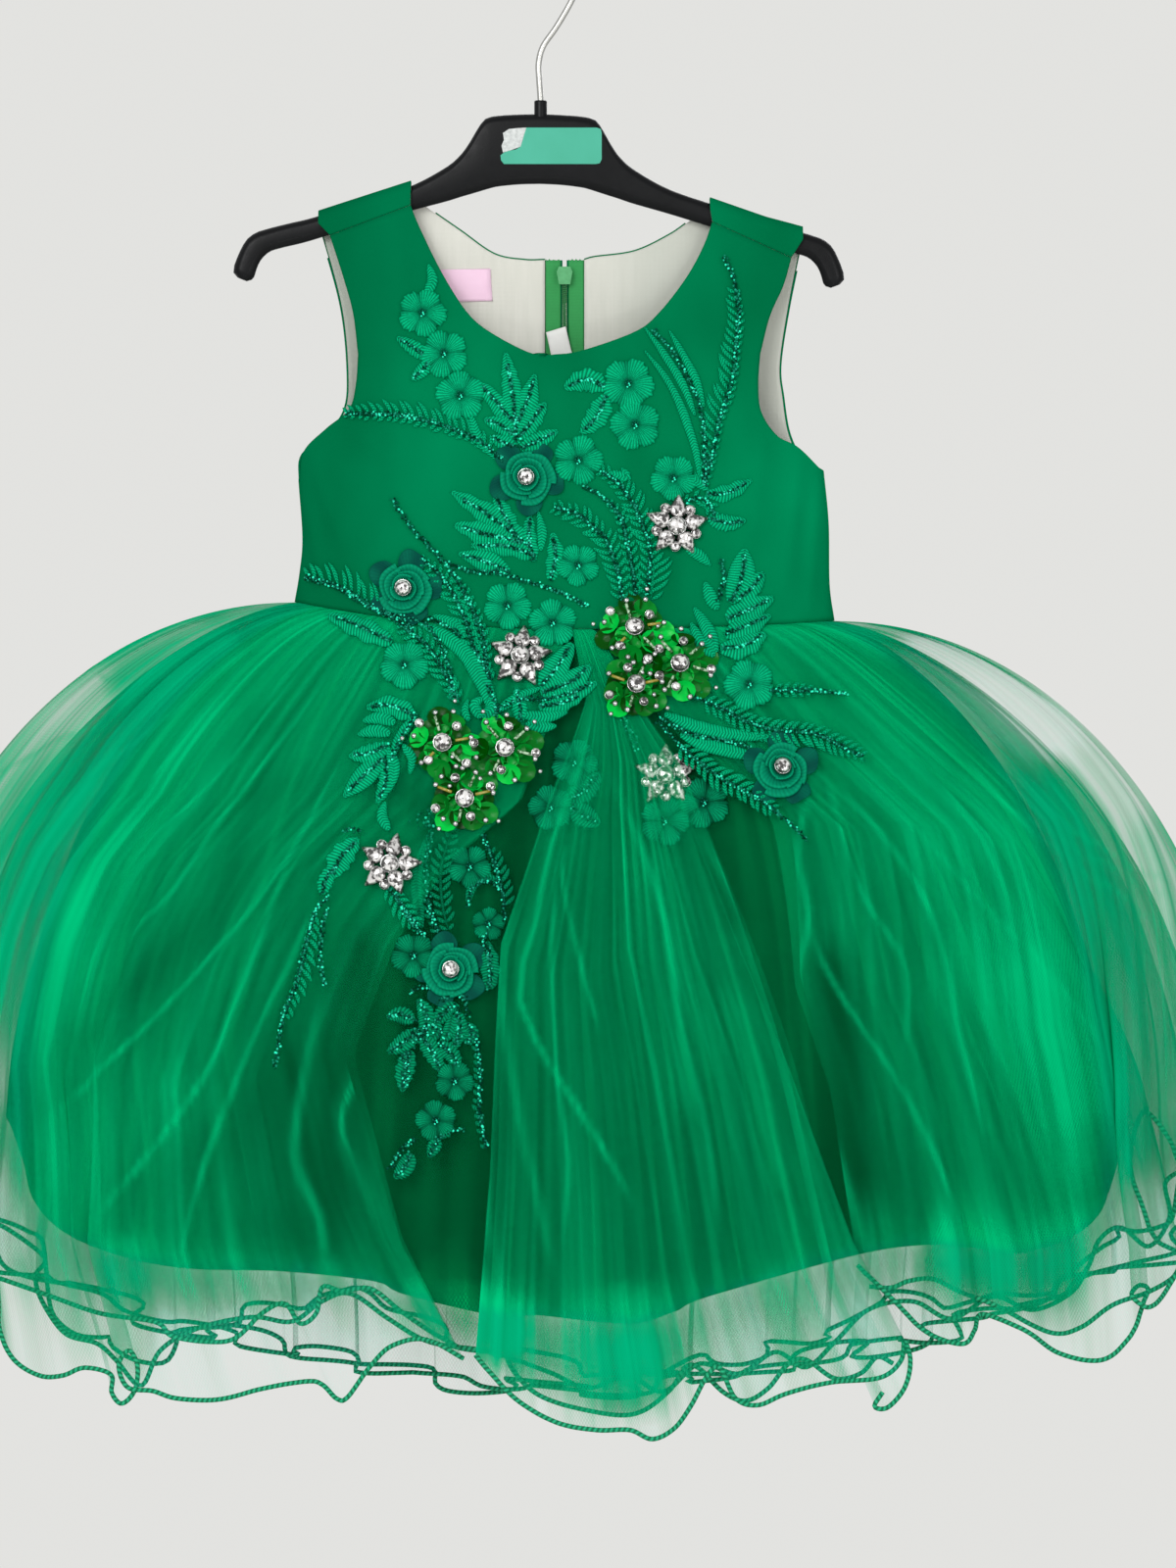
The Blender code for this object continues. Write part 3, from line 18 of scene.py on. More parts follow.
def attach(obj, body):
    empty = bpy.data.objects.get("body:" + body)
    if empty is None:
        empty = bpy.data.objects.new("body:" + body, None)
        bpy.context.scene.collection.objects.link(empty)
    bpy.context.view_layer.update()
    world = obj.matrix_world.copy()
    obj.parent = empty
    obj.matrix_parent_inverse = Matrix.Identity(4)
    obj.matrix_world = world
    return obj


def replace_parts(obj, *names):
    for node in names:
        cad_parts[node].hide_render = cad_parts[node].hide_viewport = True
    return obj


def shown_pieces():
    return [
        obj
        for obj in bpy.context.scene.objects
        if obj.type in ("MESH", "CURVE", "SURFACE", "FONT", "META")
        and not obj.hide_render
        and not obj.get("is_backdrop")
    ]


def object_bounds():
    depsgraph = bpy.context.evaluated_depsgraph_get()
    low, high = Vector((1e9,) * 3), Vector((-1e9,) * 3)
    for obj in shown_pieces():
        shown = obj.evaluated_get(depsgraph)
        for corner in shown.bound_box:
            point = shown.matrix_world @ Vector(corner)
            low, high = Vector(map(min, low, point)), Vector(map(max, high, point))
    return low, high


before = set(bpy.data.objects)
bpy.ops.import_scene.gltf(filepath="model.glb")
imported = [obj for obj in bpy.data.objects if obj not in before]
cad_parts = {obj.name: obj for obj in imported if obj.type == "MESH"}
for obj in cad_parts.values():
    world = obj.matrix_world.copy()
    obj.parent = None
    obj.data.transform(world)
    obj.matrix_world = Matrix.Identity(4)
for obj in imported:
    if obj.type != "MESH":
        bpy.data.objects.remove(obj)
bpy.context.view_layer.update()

print("solids:", len(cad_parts), "nodes")

# %% [markdown]
# ## Camera and light
# A dress on a wall is looked at straight on, from so far away that the skirt's front isn't drawn
# larger than its back. A long lens does that. Cloth and cut stones want different light: cloth
# a broad soft light from one side, stones a few small bright ones that glint in their faces. Both
# are used, in front of a pale surround that shows through the tulle as the wall does.

# %% Camera
PIXEL = 0.00052
PICTURE = (1200, 1600)
HOOK_AT = (551.0, -64.0)
DISTANCE = 6.0


def linked(name, data):
    made = bpy.data.objects.new(name, data)
    bpy.context.scene.collection.objects.link(made)
    return made


lens = bpy.data.cameras.new("long lens")
lens.lens = 36 * DISTANCE / (PICTURE[1] * PIXEL)
lens.clip_end = 60
camera = linked("camera", lens)
camera.location = ((PICTURE[0] / 2 - HOOK_AT[0]) * PIXEL, -DISTANCE - 0.02, (HOOK_AT[1] - PICTURE[1] / 2) * PIXEL)
camera.rotation_euler = (math.pi / 2, 0, 0)
bpy.context.scene.camera = camera
print(f"lens {lens.lens:.0f} mm at {DISTANCE} m")

# %% Light
bpy.context.scene.view_settings.view_transform = "Standard"
bpy.context.scene.cycles.transparent_max_bounces = 48
surround = bpy.context.scene.world or bpy.data.worlds.new("surround")
bpy.context.scene.world = surround
surround.use_nodes = True
tree = surround.node_tree
tree.nodes.clear()
kinds = ("Background", "Background", "MixShader", "LightPath", "OutputWorld")
seen, given, choose, path, out = (tree.nodes.new("ShaderNode" + kind) for kind in kinds)
seen.inputs["Color"].default_value = (0.765, 0.765, 0.745, 1)
given.inputs["Color"].default_value = (0.62, 0.63, 0.64, 1)
tree.links.new(path.outputs["Is Camera Ray"], choose.inputs[0])
for k, node in enumerate((given, seen)):
    tree.links.new(node.outputs[0], choose.inputs[k + 1])
tree.links.new(choose.outputs[0], out.inputs[0])

LAMPS = (
    ("window", (-1.2, -2.9, 0.7), 1.6, 48.0), ("room", (1.8, -2.6, -0.3), 1.6, 16.0),
    ("glint_left", (-0.8, -2.0, 0.4), 0.10, 3.0), ("glint_right", (0.9, -1.8, 0.1), 0.10, 2.5),
    ("glint_low", (0.1, -2.0, -1.3), 0.12, 2.0), ("behind", (0.6, 2.6, 0.8), 1.6, 26.0),
)
for name, spot, size, watts in LAMPS:
    lamp = bpy.data.lights.new(name, "AREA")
    lamp.size, lamp.energy = size, watts
    held = linked(name, lamp)
    held.location = spot
    held.rotation_euler = (Vector((0.0, 0.0, -0.45)) - Vector(spot)).to_track_quat("-Z", "Y").to_euler()
print(len(LAMPS), "lamps")

# %% [markdown]
# ## A short way to write finishes
# A finish is a small tree of nodes. Written out node by node it is long and hard to read, so one
# class stands for a wire between nodes: adding or multiplying two wires adds the Math node that
# does it. Another holds the material, adds any other node and joins wires to the shader.


# %% Finishes as expressions
class Wire:
    """The output of a node. Sums on it add Math nodes."""

    def __init__(self, finish, socket):
        self.finish, self.socket = finish, socket

    def maths(self, kind, *terms):
        return self.finish.add("Math", dict(enumerate(terms)), operation=kind)

    def __add__(self, other):
        return self.maths("ADD", self, other)

    def __sub__(self, other):
        return self.maths("SUBTRACT", self, other)

    def __rsub__(self, other):
        return self.maths("SUBTRACT", other, self)

    def __mul__(self, other):
        return self.maths("MULTIPLY", self, other)

    def __rpow__(self, other):
        return self.maths("POWER", other, self)

    __radd__, __rmul__ = __add__, __mul__

    def between(self, low, high):
        """0 at low and 1 at high."""
        return self.finish.add("MapRange", {0: self, 1: low, 2: high})

    def ripple(self, per_metre=1):
        """0 to 1 and back, so many times in a metre."""
        return self.maths("SINE", self * (2 * math.pi * per_metre)) * 0.5 + 0.5


class Finish:
    """One material, with fixed values set on the shader's own sockets."""

    def __init__(self, name, colour, rough, **fixed):
        self.made = bpy.data.materials.new(name)
        self.made.use_nodes = True
        self.tree = self.made.node_tree
        self.feed("Base Color", (*colour, 1))
        self.feed("Roughness", rough)
        for key, value in fixed.items():
            self.feed(key.replace("_", " "), value)

    def add(self, kind, sockets, out=0, **settings):
        node = self.tree.nodes.new("ShaderNode" + kind)
        for key, value in settings.items():
            setattr(node, key, value)
        for key, value in sockets.items():
            self.join(value, node.inputs[key])
        return Wire(self, node.outputs[out])

    def join(self, value, socket):
        if isinstance(value, Wire):
            self.tree.links.new(value.socket, socket)
        else:
            socket.default_value = value

    def feed(self, socket, value):
        self.join(value, self.tree.nodes["Principled BSDF"].inputs[socket])

    def place(self):
        return self.add("TexCoord", {}, out="Object")

    def weave(self):
        """The cloth's own coordinates, in metres along its width and its length."""
        return self.add("UVMap", {}, uv_map="cloth")

    def value(self, name):
        return self.add("Attribute", {}, out="Fac", attribute_name=name)

    def parts(self, vector):
        node = self.add("SeparateXYZ", {0: vector}).socket.node
        return [Wire(self, s) for s in node.outputs]

    def noise(self, vector, scale, detail=2.0, stretch=None):
        if stretch:
            vector = self.add("Mapping", {"Vector": vector, "Scale": stretch})
        return self.add("TexNoise", {"Vector": vector, "Scale": scale, "Detail": detail})

    def blend(self, share, low, high):
        low, high = ((*c, 1) if isinstance(c, tuple) else c for c in (low, high))
        return self.add("Mix", {0: share, 6: low, 7: high}, out=2, data_type="RGBA")

    def colour(self, share, low, high):
        self.feed("Base Color", self.blend(share, low, high))

    def bump(self, height, strength, distance):
        self.feed("Normal", self.add("Bump", {"Height": height, "Strength": strength, "Distance": distance}))


print("finishes can be written")

# %% [markdown]
# ## Cloth finishes
# Satin is smooth, with a broad soft sheen, slow changes of tone and painted shade towards its left
# side and top. Tulle is mostly holes: what is seen is how much thread lies between the eye and the
# wall. So its see-through share isn't painted on. Each sheet carries a value for how closely it is
# gathered at each place, and the finish turns that into thread and holes, with a fine mesh drawn on
# the cloth's own coordinates. Its colour is painted light and shade: a bright mint for thin cloth
# with the wall behind it, for the light that comes through, and darker colours elsewhere, darkest
# along streaks where the cloth is thick.

# %% Satin, lining and underskirt
f = Finish("emerald satin", (0.0, 0.2, 0.07), 0.45, Specular_IOR_Level=0.0, Sheen_Weight=0.06,
           Sheen_Roughness=0.4, Sheen_Tint=(0.0, 0.6, 0.25, 1))
at = f.place()
across, _, up = f.parts(at)
tone = f.noise(at, 11.0, 3.0, (1.0, 1.0, 0.55)).between(0.34, 0.66)
cloth = f.blend(tone, (0.0001, 0.135, 0.047), (0.0002, 0.215, 0.080))
# Painted shade: the satin is darkened towards the left side and towards the top, to hold back the window lamp's light
# there.
f.colour(across.between(0.10, -0.12) * 0.22 + up.between(-0.25, -0.13) * 0.30, cloth, (0.0001, 0.080, 0.030))
thread = (up + across * 0.2).ripple(1700) * 0.5 + (across - up * 0.3).ripple(1500) * 0.5
f.feed("Roughness", f.noise(at, 60.0) * 0.2 + 0.36)
f.bump(thread + f.noise(at, 160.0, 3.0) * 1.6, 0.22, 0.0004)
SATIN = f.made

f = Finish("cream cotton lining", (0.7, 0.67, 0.56), 0.85, Sheen_Weight=0.2)
at = f.place()
across, _, up = f.parts(at)
slub = f.noise(at, 90.0, 3.0, (3.0, 1.0, 0.25))
light = f.blend(f.noise(at, 14.0), (0.62, 0.61, 0.54), (0.76, 0.75, 0.69))
shade = across.between(0.02, 0.06) * 0.32 + across.between(-0.071, -0.087) * 0.66
f.colour(slub * 0.5, f.blend(shade, light, (0.24, 0.31, 0.25)), (0.46, 0.475, 0.41))
f.bump(across.ripple(1500) + up.ripple(1500) + slub * 2.0, 0.25, 0.0004)
LINING = f.made

f = Finish("dark green underskirt satin", (0.001, 0.09, 0.036), 0.5, Specular_IOR_Level=0.0)
at = f.place()
f.colour(f.noise(at, 10.0, 2.0, (2.0, 2.0, 0.6)), (0.0002, 0.034, 0.009), (0.0003, 0.062, 0.018))
f.bump(f.noise(at, 260.0), 0.15, 0.0004)
UNDERSKIRT = f.made
print("satin, lining and underskirt are ready")


# %% Tulle
def make_tulle(name, sheer, thin, full, mesh=640):
    """sheer is the share of thread in one flat sheet; thin and full are the colours of few and many
    threads, each given for the wall behind the sheet and, where a value on the sheet marks it, for the
    underskirt behind it. They are painted light and shade: thin cloth over the wall is painted a
    bright mint for the light that comes through it."""
    f = Finish(name, full[0], 0.72, Specular_IOR_Level=0.0)
    closeness, backing_for_painted_light = f.value("closeness"), f.value("backing_for_painted_light")
    across, along, _ = f.parts(f.weave())
    net = (across + along * 0.58).ripple(mesh) + (across - along * 0.58).ripple(mesh)
    line = f.noise(f.weave(), 1.0, 3.0, (130.0, 4.5, 1.0)).between(0.36, 0.66)
    threads = closeness * (net * 0.40 + 0.6) * (f.noise(f.place(), 16.0) * 0.5 + 0.75) * (line * 0.6 + 0.72)
    f.feed("Alpha", 1 - (1 - sheer) ** threads)
    # Painted light and shade: closeness blends from the thin colours, painted with the light that comes through, to
    # the full ones.
    shade = (closeness * (line * 0.4 + 0.8)).between(0.7, 2.6)
    cloth = f.blend(shade, f.blend(backing_for_painted_light, *thin), f.blend(backing_for_painted_light, *full))
    # Painted shade: where the cloth is thick it is darkened along the noise streaks, as in the shade between folds.
    f.colour((0.40 - line * 0.40) * shade, cloth, (0.0003, 0.22, 0.075))
    return f.made


OUTER_TULLE = make_tulle("outer tulle", 0.085, ((0.010, 0.65, 0.46), (0.0004, 0.50, 0.190)),
                         ((0.0004, 0.370, 0.166), (0.0003, 0.490, 0.180)))
SECOND_TULLE = make_tulle("second tulle", 0.11, ((0.005, 0.60, 0.39), (0.0003, 0.47, 0.165)),
                          ((0.0003, 0.330, 0.142), (0.0003, 0.450, 0.150)), 600)
NET = make_tulle("inner net", 0.09, ((0.002, 0.54, 0.30), (0.0003, 0.39, 0.120)),
                 ((0.0003, 0.330, 0.130), (0.0003, 0.370, 0.105)), 520)
print("tulle is ready")

# %% Cords and thread
f = Finish("twisted hem cord", (0.01, 0.2, 0.09), 0.6, Specular_IOR_Level=0.1)
around, along, _ = f.parts(f.weave())
twist = (along + around * 0.0028).ripple(360)
f.colour(twist, (0.001, 0.135, 0.055), (0.020, 0.400, 0.190))
f.bump(twist, 0.7, 0.0006)
CORD = f.made

f = Finish("embroidery thread", (0.0, 0.38, 0.15), 0.6, Specular_IOR_Level=0.02, Sheen_Weight=0.12,
           Sheen_Roughness=0.35, Sheen_Tint=(0.0, 0.7, 0.3, 1))
stitch, across, _ = f.parts(f.weave())
line = stitch.ripple()
rough = f.noise(f.place(), 900.0)
petal = across.between(1.0, 2.0)
# The stitch lines are a bump and also painted light and shade: lighter crests and darker gaps between the threads,
# with noise for uneven thread.
strands = line * (0.8 - petal * 0.20) + rough * (petal * 0.25 + 0.4) - 0.1
# Painted shade: the value tone darkens the thread towards a shade colour, in notches, grooves and edges and in the
# gap.
f.colour(f.value("tone"), f.blend(strands, (0.0002, 0.130, 0.050), (0.001, 0.540, 0.235)), (0.0001, 0.055, 0.022))
f.bump(line + rough, 0.8, 0.0005)
THREAD = f.made
print("cord and thread are ready")

# %% [markdown]
# ## Places on the pattern sheet
# Everything seen from the front is placed on one flat sheet, across and down, and then set on the
# form of the dress. Curves run smoothly through a few points each, as a cutter draws them.


# %% The sheet and smooth curves
def x_of(u):
    return (np.asarray(u, float) - HOOK_AT[0]) * PIXEL


def z_of(v):
    return -(np.asarray(v, float) - HOOK_AT[1]) * PIXEL


def u_of(x):
    return np.asarray(x, float) / PIXEL + HOOK_AT[0]


def v_of(z):
    return -np.asarray(z, float) / PIXEL + HOOK_AT[1]


def pairs(numbers):
    """Places, across and down, from a row of numbers or from a text of them."""
    return np.array(numbers.split() if isinstance(numbers, str) else numbers, float).reshape(-1, 2)


def rows_of(text):
    return [[float(n) for n in line.split()] for line in text.strip().splitlines()]


def ease(t):
    t = np.clip(t, 0.0, 1.0)
    return t * t * (3.0 - 2.0 * t)


def mix(a, b, t):
    return a + (b - a) * t


def table(rows, at):
    rows = np.array(rows, float)
    return np.interp(at, rows[:, 0], rows[:, 1])


def unit(vectors):
    return vectors / np.maximum(np.linalg.norm(vectors, axis=-1, keepdims=True), 1e-12)


def steps_of(line):
    return np.linalg.norm(np.diff(line, axis=0), axis=1)


def run_of(line):
    """How far each point of a line is from its start, along it."""
    return np.concatenate([[0], np.cumsum(steps_of(line))])


def curve(points, steps):
    """Evenly spaced places along a smooth curve through the points."""
    p = np.array(points, float)
    ends = np.vstack([2 * p[0] - p[1], p, 2 * p[-1] - p[-2]])
    t = (np.arange(16) + 1)[:, None] / 16
    dense = [p[:1]]
    for k in range(1, len(p)):
        a, b, c, d = ends[k - 1:k + 3]
        dense.append(0.5 * (2 * b + (c - a) * t + (2 * a - 5 * b + 4 * c - d) * t**2
                            + (3 * b - a - 3 * c + d) * t**3))
    dense = np.vstack(dense)
    run = run_of(dense)
    marks = np.linspace(0, run[-1], steps + 1)
    return np.stack([np.interp(marks, run, dense[:, i]) for i in range(p.shape[1])], -1)


def curves(first, second, steps_first, steps_second):
    return np.vstack([curve(first, steps_first), curve(second, steps_second)[1:]])


print("the sheet runs from", x_of(0), "to", x_of(PICTURE[0]), "m across")


# %% Meshes from arrays
def build(name, points, faces, finish, uv=None, values=None, smooth=True):
    """An object from arrays. faces is an array of faces of one size, or a list of such arrays."""
    points = np.asarray(points, np.float32).reshape(-1, 3)
    groups = faces if isinstance(faces, list) else [faces]
    corners = np.concatenate([np.asarray(g).ravel() for g in groups]).astype(np.int32)
    sizes = np.concatenate([np.full(len(g), np.shape(g)[1]) for g in groups])
    mesh = bpy.data.meshes.new(name)
    mesh.vertices.add(len(points))
    mesh.vertices.foreach_set("co", points.ravel())
    mesh.loops.add(len(corners))
    mesh.loops.foreach_set("vertex_index", corners)
    mesh.polygons.add(len(sizes))
    mesh.polygons.foreach_set("loop_start", (np.cumsum(sizes) - sizes).astype(np.int32))
    mesh.update(calc_edges=True)
    if uv is not None:
        uv = np.asarray(uv, np.float32).reshape(-1, 2)
        per_corner = uv if len(uv) == len(corners) else uv[corners]
        mesh.uv_layers.new(name="cloth").uv.foreach_set("vector", per_corner.ravel())
    for key, value in (values or {}).items():
        data = mesh.attributes.new(key, "FLOAT", "POINT").data
        data.foreach_set("value", np.asarray(value, np.float32).ravel())
    if smooth:
        mesh.shade_smooth()
    mesh.materials.append(finish)
    made = linked(name, mesh)
    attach(made, "dress")
    return made


def quads(rows, columns, start=0):
    ids = np.arange(start, start + rows * columns).reshape(rows, columns)
    return np.stack([ids[:-1, :-1], ids[:-1, 1:], ids[1:, 1:], ids[1:, :-1]], -1).reshape(-1, 4)


def ring_faces(count, sides):
    """The faces between closed rings of points, and the two ends."""
    ids = np.arange(count * sides).reshape(count, sides)
    beside = np.roll(ids, -1, axis=1)
    walls = np.stack([ids[:-1], beside[:-1], beside[1:], ids[1:]], -1).reshape(-1, 4)
    return [walls, ids[:1, ::-1], ids[-1:]]


def area_of(made):
    return sum(p.area for p in made.data.polygons)


def mend(made, action, kind, **values):
    """Runs a bmesh operator on all vertices or all faces."""
    work = bmesh.new()
    work.from_mesh(made.data)
    action(work, **{kind: getattr(work, kind)}, **values)
    work.to_mesh(made.data)
    work.free()


def deselect():
    bpy.ops.object.select_all(action="DESELECT")


def pick(made):
    deselect()
    bpy.context.view_layer.objects.active = made
    made.select_set(True)


def apply_modifier(made, kind, **values):
    step = made.modifiers.new(kind.lower(), kind)
    for key, value in values.items():
        setattr(step, key, value)
    pick(made)
    bpy.ops.object.modifier_apply(modifier=step.name)
    made.select_set(False)


def joined_cloth(name, grids, finish, thick):
    """Grids of points that share edges, sewn into one piece and given a thickness inwards."""
    points = np.vstack([grid.reshape(-1, 3) for grid in grids])
    starts = np.cumsum([0] + [grid.shape[0] * grid.shape[1] for grid in grids])
    faces = np.vstack([quads(*grid.shape[:2], start) for grid, start in zip(grids, starts)])
    made = build(name, points, faces, finish, uv=points[:, ::2])
    mend(made, bmesh.ops.remove_doubles, "verts", dist=2e-5)
    apply_modifier(made, "SOLIDIFY", thickness=thick, offset=-1.0)
    return made


print("meshes can be made from arrays")

# %% [markdown]
# ## Bodice
# The front is one panel up to the shoulder seams, the back is two halves that meet at the zip, and
# each back strap runs over the hanger to a seam on the front. A grid of points is laid over each
# pattern piece and set on the form of the body, which is fuller in front than behind. A few soft
# creases are added where the photograph shows them, and then the sheet gets its thickness.

# %% Edges of the bodice
SIDE_LEFT = pairs("301 614 306 584 309 548 305 490")
SIDE_RIGHT = pairs("851 633 846 596 845 533 840 480")
ARM_LOW_LEFT = pairs("305 490 309 460 332 437 356 417 363 390 365 361")
ARM_LOW_RIGHT = pairs("840 480 815 456 793 444 777 420 774 392 776 361")
ARM_HIGH_LEFT = pairs("365 361 360 320 351 286 336 239")
ARM_HIGH_RIGHT = pairs("776 361 786 322 800 290 808 262")
NECK_LEFT = pairs("561 362 541 360 504 341 478 320 451 278 427 229 418.6 208")
NECK_RIGHT = pairs("561 362 592 358 648 338 672 319 700 283 718 250 727 225")
WAIST_MIDDLE = (576, 642)
# Of the back, for each side: the armhole, the neck, the fold over the hanger and the seam in front
BACK_LEFT = [pairs(text) for text in (
    "305 490 307 464 330 444 350 418 354 380 347 310 332 243", "576 263 535 263 504 257 469 233 436 210 419 201",
    "324 220 418.6 187", "336 239 418.6 208")]
BACK_RIGHT = [pairs(text) for text in (
    "840 480 818 464 806 440 800 404 797 370 806 310 818 262", "576 263 607 260 648 254 684 237 706 222 722 216",
    "820 238.5 725 199", "808 262 727 225")]
# Where the shoulder is highest, carried on past the two arm edges
TOP_EDGE = ((236, 276.530266), (418.6, 208), (727, 225), (908, 307.679012))
SEAM = 0.00015
SHOULDER = 0.0071
ZIP_X, ZIP_SLOT, TAPE_HALF = 0.0130, 0.0011, 0.0102
SATIN_THICK, LINING_THICK, LINING_IN = 0.001, 0.0008, 0.0014
FINE = 9

# Soft creases of the bodice: from, to, how wide in metres, how high in metres
CREASES = rows_of("""
816 470 800 610 0.005 0.0024
836 500 826 620 0.004 0.002
779 450 764 560 0.005 0.0018
318 470 352 560 0.005 0.002
312 520 330 606 0.004 0.0016
350 430 398 470 0.005 0.0014
372 260 392 380 0.006 0.0008
400 230 415 300 0.005 0.0007
770 270 752 350 0.005 0.0008
730 600 822 640 0.005 0.0007
360 500 372 570 0.005 0.0007
570 375 600 372 0.005 0.0004
""")


def across_body(u, v):
    """-1 at the left side seam, 1 at the right one."""
    left, right = (table(side[::-1, ::-1], v) for side in (SIDE_LEFT, SIDE_RIGHT))
    return np.clip((2 * u - left - right) / (right - left), -1, 1)


def body_depth(u, v, back):
    across = across_body(u, v)
    chest, waist = (0.017, 0.018) if back else (0.027, 0.028)
    depth = mix(chest, waist, ease((v - 470) / 150)) * np.sqrt(1.0 - across**2)
    top = table(TOP_EDGE, u)
    return mix(depth, SHOULDER, ease((470 - v) / (470 - top)))


def crease(u, v):
    total = np.zeros(np.shape(u))
    for a, b, c, d, wide, high in CREASES:
        along = np.clip(((u - a) * (c - a) + (v - b) * (d - b)) / ((c - a) ** 2 + (d - b) ** 2), 0, 1)
        off = np.hypot(u - a - along * (c - a), v - b - along * (d - b)) * PIXEL
        total += high * np.exp(-((off / wide) ** 2)) * np.sin(np.pi * (0.08 + 0.84 * along)) ** 0.6
    return total


def on_body(u, v, back=False, inner=0.0):
    depth = body_depth(u, v, back) + SEAM - inner
    x = x_of(u)
    if inner:
        depth = np.maximum(depth, SEAM)
        x = x - 1.5 * inner * across_body(u, v) ** 11
    elif not back:
        depth = depth + crease(u, v)
    return np.stack([x, depth if back else -depth, z_of(v)], -1)


print(len(CREASES), "creases")


# %% Front panel
def fan(middle, end, w, straight):
    """Columns from a middle line to an edge: crowded round the body low down, even higher up."""
    s = mix(np.sin(w * np.pi / 2), w, straight)
    return mix(middle[:, :1], end[..., 0], s), mix(middle[:, 1:], end[..., 1], mix(s * s, w, straight))


def front_grids(inner=0.0):
    ends = [curves(*edges, 3 * FINE, 4 * FINE)[:, None]
            for edges in ((SIDE_LEFT, ARM_LOW_LEFT), (SIDE_RIGHT, ARM_LOW_RIGHT))]
    middle = curve((WAIST_MIDDLE, (572, 500), NECK_LEFT[0]), 7 * FINE)
    straight = ease((np.arange(7 * FINE + 1) / FINE - 3) / 4)[:, None]
    i = np.arange(-5 * FINE, 5 * FINE + 1)[None, :]
    u, v = fan(middle, np.where(i[..., None] < 0, *ends), np.abs(i) / (5 * FINE), straight)
    grids = [on_body(u, v, inner=inner)]
    share = np.linspace(0, 1, 5 * FINE + 1)[None, :, None]
    for first, last in ((ARM_HIGH_LEFT, NECK_LEFT), (NECK_RIGHT, ARM_HIGH_RIGHT)):
        place = mix(curve(first, 3 * FINE)[:, None], curve(last, 3 * FINE)[:, None], share)
        grids.append(on_body(place[..., 0], place[..., 1], inner=inner))
    return grids


bodice_front = joined_cloth("satin_bodice_front", front_grids(), SATIN, SATIN_THICK)
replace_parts(bodice_front, "bodice_front")
lining_front = joined_cloth("cotton_lining_front", front_grids(LINING_IN), LINING, LINING_THICK)
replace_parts(lining_front, "lining_front")
print("front", round(area_of(bodice_front), 3), "lining", round(area_of(lining_front), 3), "square metres")

# %% [markdown]
# ## Hanger and hook
# The hanger is one moulding: a flat front, a rounded top and a bevelled ledge under it, drooping to
# two blunt ends. It is lofted through a list of cross-sections, because no primitive has that
# changing outline, and it comes before the straps, which need the height of its upper edge.

# %% Hanger outline
HALF_BAR, BEVEL, LEDGE = 0.0045, 0.0020, 0.0038
TILT = math.radians(-0.65)
TOP_X, TOP_Z = float(x_of(551.5)), float(z_of(114))
# Upper edge across and down, lower edge across and down, in metres from the middle of the top
SECTIONS = np.array(rows_of("""
0 0 0 0.0372
0.012 0.0004 0.011 0.0376
0.024 0.0014 0.022 0.0388
0.0305 0.004 0.027 0.04
0.0385 0.017 0.036 0.0428
0.0435 0.0235 0.042 0.0446
0.051 0.0296 0.05 0.0472
0.069 0.0393 0.071 0.053
0.095 0.048 0.0975 0.061
0.12 0.0564 0.123 0.0692
0.133 0.0597 0.137 0.0728
0.144 0.0626 0.1435 0.075
0.152 0.0655 0.148 0.0793
0.1575 0.0713 0.1502 0.084
0.1627 0.0845 0.152 0.0893
0.1604 0.0889 0.1555 0.0908
"""))


def hanger_top(x):
    return TOP_Z - table(SECTIONS[:-3, :2], np.abs(x - TOP_X)) + (x - TOP_X) * math.tan(TILT)


f = Finish("black moulded plastic", (0.02, 0.021, 0.023), 0.34, Specular_IOR_Level=0.16)
at = f.place()
f.colour(f.noise(at, 40.0), (0.0015, 0.0018, 0.002), (0.004, 0.0043, 0.005))
f.feed("Roughness", f.noise(at, 240.0, 3.0) * 0.25 + 0.26)
f.bump(f.noise(at, 900.0), 0.12, 0.0003)
PLASTIC = f.made

f = Finish("plated wire", (0.5, 0.5, 0.47), 0.3, Metallic=1.0)
at = f.place()
f.feed("Roughness", f.noise(at, 500.0) * 0.3 + 0.2)
f.colour(f.noise(at, 120.0), (0.40, 0.40, 0.37), (0.62, 0.61, 0.58))
STEEL = f.made

# %% Hanger body
half = curve(SECTIONS, 60)
rings = []
for top_x, top_z, low_x, low_z in np.vstack([half[::-1] * (-1, 1, -1, 1), half[1:]]):
    top, low = np.array((top_x, 0.0, -top_z)), np.array((low_x, 0.0, -low_z))
    tall = np.linalg.norm(top - low)
    up = (top - low) / tall
    slim = min(1.0, tall / 0.0085)
    thick = HALF_BAR * (0.35 + 0.65 * slim)
    foot = thick - BEVEL * slim
    cap, ledge = min(HALF_BAR, tall * 0.45), min(LEDGE, tall * 0.35)
    outline = [(-thick * 0.97, ledge * 0.92), (-thick, ledge * 1.15)]
    outline += [(-thick * math.cos(a), tall - cap + cap * math.sin(a)) for a in np.linspace(0, math.pi, 11)]
    outline += [(thick, ledge * 1.15), (thick * 0.97, ledge * 0.92)]
    outline += [(foot * 1.08, ledge * 0.12), (foot * 0.9, 0.0), (-foot * 0.9, 0.0), (-foot * 1.08, ledge * 0.12)]
    rings.append([low + up * rise + np.array((0.0, y, 0.0)) for y, rise in outline])
rings = np.array(rings) @ np.array(Matrix.Rotation(-TILT, 3, "Y")).T + (TOP_X, 0.0, TOP_Z)
hanger = build("moulded_hanger", rings, ring_faces(*rings.shape[:2]), PLASTIC)
mend(hanger, bmesh.ops.recalc_face_normals, "faces")
apply_modifier(hanger, "EDGE_SPLIT", split_angle=math.radians(38))
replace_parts(hanger, "hanger")
